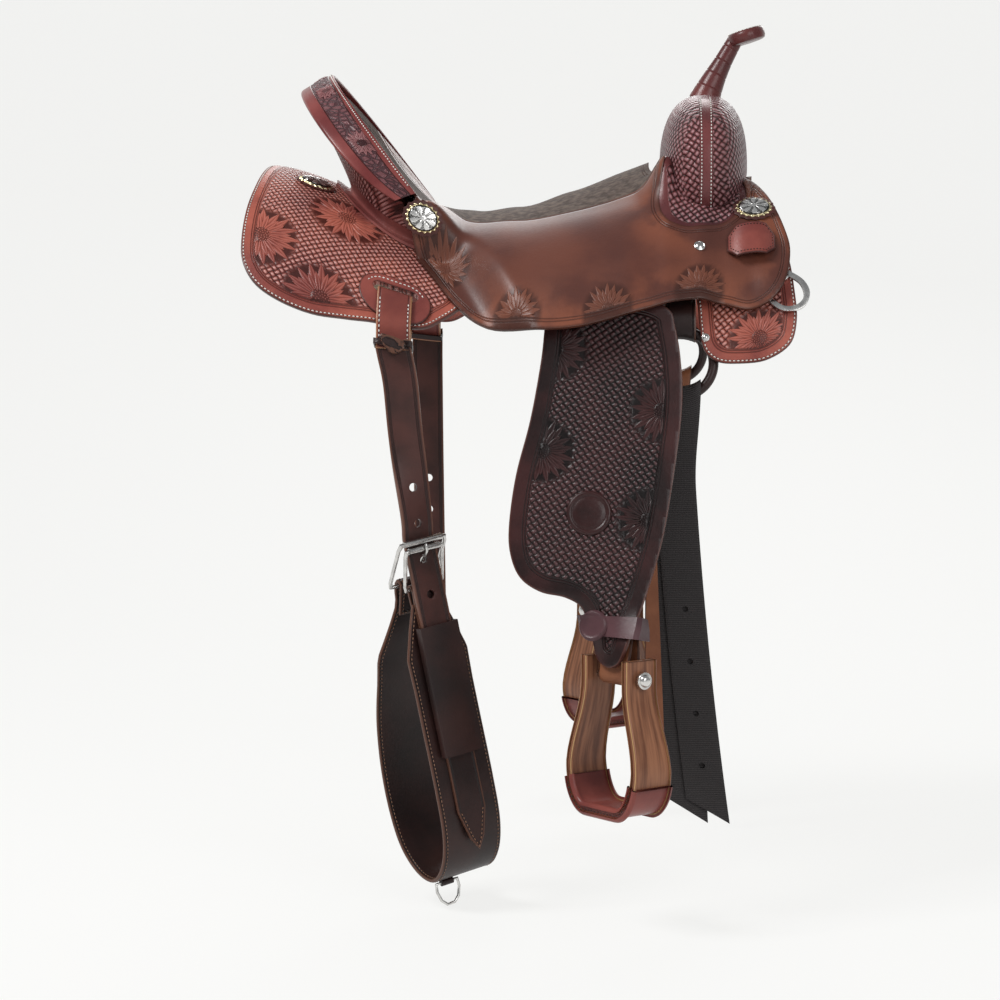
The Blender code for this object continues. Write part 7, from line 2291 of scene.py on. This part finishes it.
def wire_buckle(tag, at, heel, top, half):
    """Rectangular wire frame with rounded corners, its heel bar under the strap and its roller bar over it."""
    (n0, t0), (n1, t1) = heel, top
    corner = 0.12
    straight = 0.84
    loop = [(-1, 1 - corner), (-1 + corner * 0.6, 1), (-straight, 1), (straight, 1), (1 - corner * 0.6, 1),
            (1, 1 - corner), (1, corner), (1 - corner * 0.6, 0), (straight, 0), (-straight, 0),
            (-1 + corner * 0.6, 0), (-1, corner)]
    centres = [at(w * half, mix(n0, n1, k), mix(t0, t1, k)) for w, k in loop]
    along = (at(0, n1, t1) - at(0, n0, t0)).normalized()
    across = (at(1, 0, 0) - at(0, 0, 0)).normalized()
    wire_loop("flank_buckle_" + tag, centres, across.cross(along), BUCKLE_WIRE_R, mitred=True)
    bar = at(0, n1, t1)
    length = (half * straight - GAP * 2) * 2
    roller = rod("buckle_roller_" + tag, STAINLESS, bar, across, BUCKLE_ROLLER_R, length)
    boolean(roller, rod("bore", STAINLESS, bar, across, BUCKLE_WIRE_R + GAP, 0.1))


def chape(at, heel, across):
    """Strap folded round the near heel bar; its outer tail lies on the cinch and ends in a point."""
    t = CHAPE_T
    wrap = BUCKLE_WIRE_R + GAP * 3 + t / 2
    n0, t0 = heel
    outer = n0 + CINCH_T / 2 + GAP + t / 2
    inner = n0 - CINCH_T / 2 - GAP - t / 2
    points = [at(0, outer, 0.334), at(0, outer, 0.200), at(0, outer, 0.100), at(0, outer, 0.054),
              at(0, n0 + wrap, t0 + 0.008)]
    for k in range(0, 7):
        a = math.pi * k / 6
        points.append(at(0, n0 + wrap * math.cos(a), t0 - wrap * math.sin(a)))
    points += [at(0, n0 - wrap, t0 + 0.008), at(0, inner, 0.054), at(0, inner, 0.080), at(0, inner, 0.105)]
    path = Path(points, 5)
    place = ribbon(path, lambda v: across)
    half = 0.018
    outline = [(-half, 0.045), (-half * 0.5, 0.014), (0.0, 0.0), (half * 0.5, 0.014), (half, 0.045),
               (half, path.length), (-half, path.length)]
    fold = path.length - (0.105 - t0 + math.pi * wrap / 2)
    slot = [(u, fold + v) for v, u in round_slot(0.0, 0.0, 0.026, 0.0052)]
    stitches("flank_chape_stitches", "right_flank_gear", inset_path(outline, 0.0036, lambda u, v: v < 0.24),
             lambda u, v, h: place(u, v, h), t / 2, 0.0046, TAN_THREAD, 0.00052)
    leather("flank_chape", DARK_BROWN_AND_SHADE, outline, t, lambda u, v, h: place(u, v, h - t / 2), 0.003, 0.003,
            holes=(slot,))


def tube(name, mat, points, r, sides=16):
    """A round bar along a smooth line through the points."""
    path = [Vector(p) for p in points]
    rings = []
    first = (path[1] - path[0]).normalized()
    side = first.orthogonal().normalized()
    for k, point in enumerate(path):
        tangent = (path[min(k + 1, len(path) - 1)] - path[max(k - 1, 0)]).normalized()
        side = (side - tangent * side.dot(tangent)).normalized()
        up = tangent.cross(side)
        rings.append(ring_round(point, side, r, up, r, sides))
    return loft(name, mat, rings)


def washer(name, mat, at, w, n, t, inner_r, outer_r, steps=32):
    """A short sleeve round the line across the strap at (n, t)."""
    bands = []
    for end, r in ((-w, inner_r), (-w, outer_r), (w, outer_r), (w, inner_r)):
        bands.append([at(end, n + r * math.cos(2 * math.pi * k / steps), t + r * math.sin(2 * math.pi * k / steps))
                      for k in range(steps)])
    return loft(name, mat, bands, closed=True)


def tongue(at, heel):
    """Tongue of the near buckle: turns on the heel bar, comes up through the billet and lies on the roller."""
    n0, t0 = heel
    r = 0.0015
    eye = washer("flank_tongue", STAINLESS, at, 0.0016, n0, t0, BUCKLE_WIRE_R + GAP * 3, BUCKLE_WIRE_R + 0.0022)
    bend = curved([at(0, n0 + 0.0036, t0 - 0.001), at(0, -0.0056, t0 - 0.008), at(0, -0.0046, 0.0130),
                   at(0, -0.0034, 0.0074), at(0, 0.0, 0.0040), at(0, 0.0054, 0.0018), at(0, 0.0124, -0.0038),
                   at(0, 0.0140, -0.0078), at(0, 0.0136, -0.0120)], 6, closed=False)
    boolean(eye, tube("shank", STAINLESS, bend, r, 16), "UNION")


def keeper_sleeve(at):
    """Flat sleeve on the near leg that holds the billet's tail."""
    top_t, foot_t = 0.078, 0.224
    half = FLANK_W / 2 + 0.0030
    deep = BILLET_T / 2 + GAP * 3
    wall = KEEPER_T
    inner = [(-half, -deep + 0.0004), (0, -deep), (half, -deep + 0.0004), (half + 0.001, 0), (half, deep + 0.001),
             (0, deep + 0.0035), (-half, deep + 0.001), (-half - 0.001, 0)]
    outer = [(w + math.copysign(wall, w) * (abs(w) > 0.001),
              n + (wall if n > deep * 0.5 else -wall * 0.55 if n < 0 else 0)) for w, n in inner]
    bands = []
    for ring, t in ((inner, top_t), (outer, top_t), (outer, foot_t), (inner, foot_t)):
        bands.append([at(w, n, t) for w, n in ring])
    loft("flank_keeper", DARK_BROWN_AND_SHADE, bands, closed=True)


def cinch_dee(at, n0):
    """Small dee hanging from the foot of the cinch on a folded tab."""
    foot_n, foot_t = n0 - 0.052, 0.364
    bar_n, bar_t = foot_n, foot_t + CINCH_T / 2 + GAP + 0.0036
    width = 0.014
    r = 0.0018
    drop = 0.026
    loop = [(-1, 0.0), (-0.5, 0.0), (0.5, 0.0), (1, 0.0), (1.05, 0.35), (0.8, 0.75), (0.35, 0.97), (-0.35, 0.97),
            (-0.8, 0.75), (-1.05, 0.35)]
    centres = [at(DEE_OFF + w * width, bar_n, bar_t + d * drop) for w, d in loop]
    wire_loop("cinch_dee", centres, (at(0, 1, 0) - at(0, 0, 0)).normalized(), r)

    def beside(w, n, t):
        return at(DEE_OFF + w, n, t)
    washer("cinch_dee_loop", DARK_BROWN_AND_SHADE, beside, 0.0075, bar_n, bar_t, r + GAP, r + GAP + 0.0018)


flank_folds()
flank_billets()
flank_cinch()
print("flank gear hung")

# %% [markdown]
# ## Silver and small fittings
#
# Three engraved conchos on each side stand on scalloped leather rosettes. An eight-sided keeper lies under
# the front one, and a flat dee for the breast collar sits at the front of the skirt.

# %% Silver
CONCHO_LENGTH = 0.0400
CONCHO_WIDTH = 0.0320
CONCHO_T = 0.0060
DEE_T = 0.0030


def stand_on(side, x, s, place):
    """Matrix at a point of the surface: its Z axis out of the surface, its X axis forward."""
    e = 0.012
    origin = place(x, s, 0.0)
    ahead = (place(x + e, s, 0.0) - place(x - e, s, 0.0)).normalized()
    below = place(x, s + e, 0.0) - place(x, s - e, 0.0)
    normal = ahead.cross(below).normalized()
    if normal.y * side < 0 or normal.z < 0:
        normal.negate()
    return axes_at(origin, ahead, normal.cross(ahead), normal)


def disc(name, mat, matrix, length, width, height, rows=26, around=120, closed_below=-0.0004):
    """Oval dome from a height(r, a) of the share of its radius and the angle; marks come back with the height."""
    bm, marks = relief_blank()
    rings = []
    for i in range(rows + 1):
        r = 1 - i / rows
        ring = []
        for j in range(around):
            a = 2 * math.pi * j / around
            reach, z, cut, gilt = height(r, a)
            vert = bm.verts.new(matrix @ Vector((reach * length / 2 * math.cos(a), reach * width / 2 * math.sin(a), z)))
            vert[marks[0]] = cut
            vert[marks[1]] = gilt
            vert[marks[2]] = 0.05
            ring.append(vert)
            if r == 0:
                break
        rings.append(ring)
    for low, high in zip(rings, rings[1:]):
        for j in range(around):
            jj = (j + 1) % around
            if len(high) == 1:
                bm.faces.new((low[j], low[jj], high[0]))
            else:
                bm.faces.new((low[j], low[jj], high[jj], high[j]))
    edge = rings[0]
    base = []
    for j in range(around):
        a = 2 * math.pi * j / around
        reach = height(1.0, a)[0] * 0.97
        base.append(bm.verts.new(matrix @ Vector((reach * length / 2 * math.cos(a),
                                                  reach * width / 2 * math.sin(a), closed_below))))
    for j in range(around):
        jj = (j + 1) % around
        bm.faces.new((edge[jj], edge[j], base[j], base[jj]))
    bm.faces.new(base[::-1])
    return finish(name, bm, mat)


def concho_height(r, a):
    """Engraved face: rope rim, a plain sunk ring, leaves round an eight-pointed star."""
    if r > 0.86:
        t = (r - 0.86) / 0.14
        rope = 0.5 + 0.5 * math.cos(a * 18)
        reach = r * (1 + 0.055 * math.cos(a * 18) * smooth(t * 1.4))
        edge = 0.0004 * rope - 0.0010 * smooth((t - 0.8) * 5)
        return (reach, CONCHO_T * (0.26 + 0.16 * math.sin(math.pi * min(1.0, t + 0.12))) + edge,
                0.45 + 0.55 * rope, 1.0)
    dome = math.sqrt(max(0.0, 1 - (r * 0.92) ** 2))
    z = CONCHO_T * (0.30 + 0.66 * dome)
    if r > 0.78:
        return r, z - 0.0007, 0.12, 0.0
    leaf = math.cos(a * 8)
    star = smooth((leaf * 0.5 + 0.5 - abs(r - 0.52) * 1.7) * 3.0)
    line = abs(math.sin(a * 24 + r * 9)) * 0.25
    core = smooth((0.17 - r) / 0.03)
    cut = max(star * (1 - line), core, 0.30 + 0.25 * math.sin(r * 40) * math.sin(a * 16))
    return r, z + 0.00055 * (cut - 0.5), 0.35 + 0.65 * cut, 0.0


def rosette_height(r, a):
    reach = r * (1 + 0.035 * math.cos(a * 16) * smooth((r - 0.6) / 0.4))
    return reach, 0.0016 * (1 - smooth((r - 0.92) / 0.08) * 0.7), 0.4, 0.0


def concho(tag, side, x, s, place):
    """Domed oval concho on its leather rosette, standing on the surface that place(x, s, 0) draws."""
    matrix = stand_on(side, x, s, place)
    inverse = matrix.inverted()
    reach = CONCHO_LENGTH * 0.45
    lift = max((inverse @ place(x + dx * reach, s + ds * reach * 0.8, 0.0)).z
               for dx in (-1, -0.5, 0, 0.5, 1) for ds in (-1, -0.5, 0, 0.5, 1))
    base = matrix @ Matrix.Translation((0, 0, lift + GAP))
    disc("concho_" + tag + "_" + side_name(side), SILVER, base, CONCHO_LENGTH, CONCHO_WIDTH, concho_height)
    rosette = disc("rosette_" + tag + "_" + side_name(side), ROSETTE, base, CONCHO_LENGTH * 1.17, CONCHO_WIDTH * 1.19,
                   rosette_height, 8, 96)
    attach(rosette, "saddle")


def screw(name, side, x, s, place, r=0.0062):
    """Round-headed screw in a small cup."""
    matrix = stand_on(side, x, s, place)

    def height(share, a):
        if share > 0.72:
            return share, 0.0010 + 0.0006 * math.sin(math.pi * (share - 0.72) / 0.28), 0.7, 0.0
        return share, 0.0006 + 0.0022 * math.sqrt(max(0.0, 1 - (share / 0.72) ** 2)), 0.9, 0.0
    head = disc(name + "_" + side_name(side), STAINLESS, matrix, r * 2, r * 2, height, 12, 32)
    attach(head, "saddle")


ROSETTE = leather_finish("rosette_leather", (0.110, 0.034, 0.028), (0.050, 0.016, 0.014), 0.42)


def breast_dee(side):
    """Flat cast dee under the front of the jockey."""
    tag = side_name(side)
    form = on_form(side)
    base = stand_on(side, 0.2930, 0.2480, lambda x, s, h: form(x, s, h + SKIRT_T))
    turn = Matrix.Rotation(math.radians(42) * side, 4, "Z")
    matrix = base @ turn
    outer = [(0.0, -0.019), (0.010, -0.0215), (0.026, -0.020), (0.038, -0.009), (0.0405, 0.004), (0.034, 0.017),
             (0.020, 0.0235), (0.004, 0.0225), (0.0, 0.019)]
    inner = [(0.005, -0.0150), (0.012, -0.0160), (0.0240, -0.0145), (0.0325, -0.006), (0.0340, 0.004),
             (0.0285, 0.0125), (0.018, 0.0175), (0.006, 0.0165), (0.005, 0.014)]
    bm = flat_mesh([tuple(p) for p in curved(outer, 8)], ([tuple(p) for p in curved(inner, 8)],), DEE_T, 0.0009)
    bmesh.ops.triangulate(bm, faces=[f for f in bm.faces if len(f.verts) > 4])
    bm.transform(matrix @ Matrix.Translation((-0.006, 0, 0.0012)))
    finish("breast_dee_" + tag, bm, STAINLESS)


def fittings():
    for side in (RIGHT, LEFT):
        seat_face = over_seat(side)
        form = on_form(side)
        concho("front", side, 0.2660, 0.1500, seat_face)
        concho("cantle", side, -0.1025, 0.1500, seat_face)
        concho("rear", side, -0.2320, 0.0740, lambda x, s, h: form(x, s, h + SKIRT_T))
        strap_keeper(side)
        breast_dee(side)
        screw("screw", side, 0.205, 0.1986, seat_face)
        screw("rivet", side, 0.2115, 0.292, lambda x, s, h: form(x, s, h + SKIRT_T), 0.0045)


def strap_keeper(side):
    """Eight-sided leather keeper under the front concho, bulged so that a strap passes down behind it."""
    seat_face = over_seat(side)
    half_u, half_v, cut = 0.0265, 0.0185, 0.010
    outline = [(-half_u, -half_v + cut), (-half_u + cut, -half_v), (half_u - cut, -half_v), (half_u, -half_v + cut),
               (half_u, half_v - cut), (half_u - cut, half_v), (-half_u + cut, half_v), (-half_u, half_v - cut)]
    t = 0.0030

    def place(u, v, h):
        x, s = 0.2620 + u, 0.1975 + v
        bulge = 0.0105 * (1 - (u / half_u) ** 2)
        return seat_face(x, s, GAP * 2 + bulge + h)
    leather("strap_keeper_" + side_name(side), OXBLOOD_PLAIN, outline, t, place, 0.003, 0.003)
    stitches("keeper_stitches_" + side_name(side), "saddle", inset_path(outline, 0.0035), place, t, 0.0034,
             OXBLOOD_PLAIN)


def hobble_medallions():
    """Round end of each hobble strap, with a bare disc."""
    for side, turn, lean in HUNG:
        place = in_plane(side, 0.0, lean, turn)
        u, v, h = -0.0180, BOLT_DROP - HOBBLE_ABOVE_BOLT, LAYER_FENDER + FENDER_T + 0.0016 + 0.0030
        origin = place(u, v, h)
        ahead = (place(u + 0.01, v, h) - origin).normalized()
        out = (place(u, v, h + 0.01) - origin).normalized()
        matrix = axes_at(origin, ahead, out.cross(ahead), out)

        def height(share, a):
            ring = 0.0007 * math.exp(-((share - 0.80) / 0.05) ** 2)
            bowl = 0.0026 * (1 - smooth((share - 0.90) / 0.10))
            return share, bowl + ring, 0.3 + 400 * ring, 0.0
        end = disc("hobble_end_" + side_name(side), HOBBLE_LEATHER, matrix, 0.034, 0.034, height, 16, 64)
        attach(end, side_name(side) + "_fender")


fittings()
hobble_medallions()
print("silver fitted")

# %% [markdown]
# ## Every piece in its place
#
# Each piece now rides with the body that its CAD node belongs to, and stands for that node. The tree stays
# as it is in the frame, under its rawhide.

# %% Riding
for node_name, piece in PIECES.items():
    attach(piece, BODY_OF[node_name])
    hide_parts(node_name)
missing = sorted(set(BODY_OF) - set(PIECES))
print("pieces:", len(PIECES), "kept as in the frame:", ", ".join(missing))
made_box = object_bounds()
[[[float(value) for value in corner] for corner in box] for box in (cad_box, made_box)]
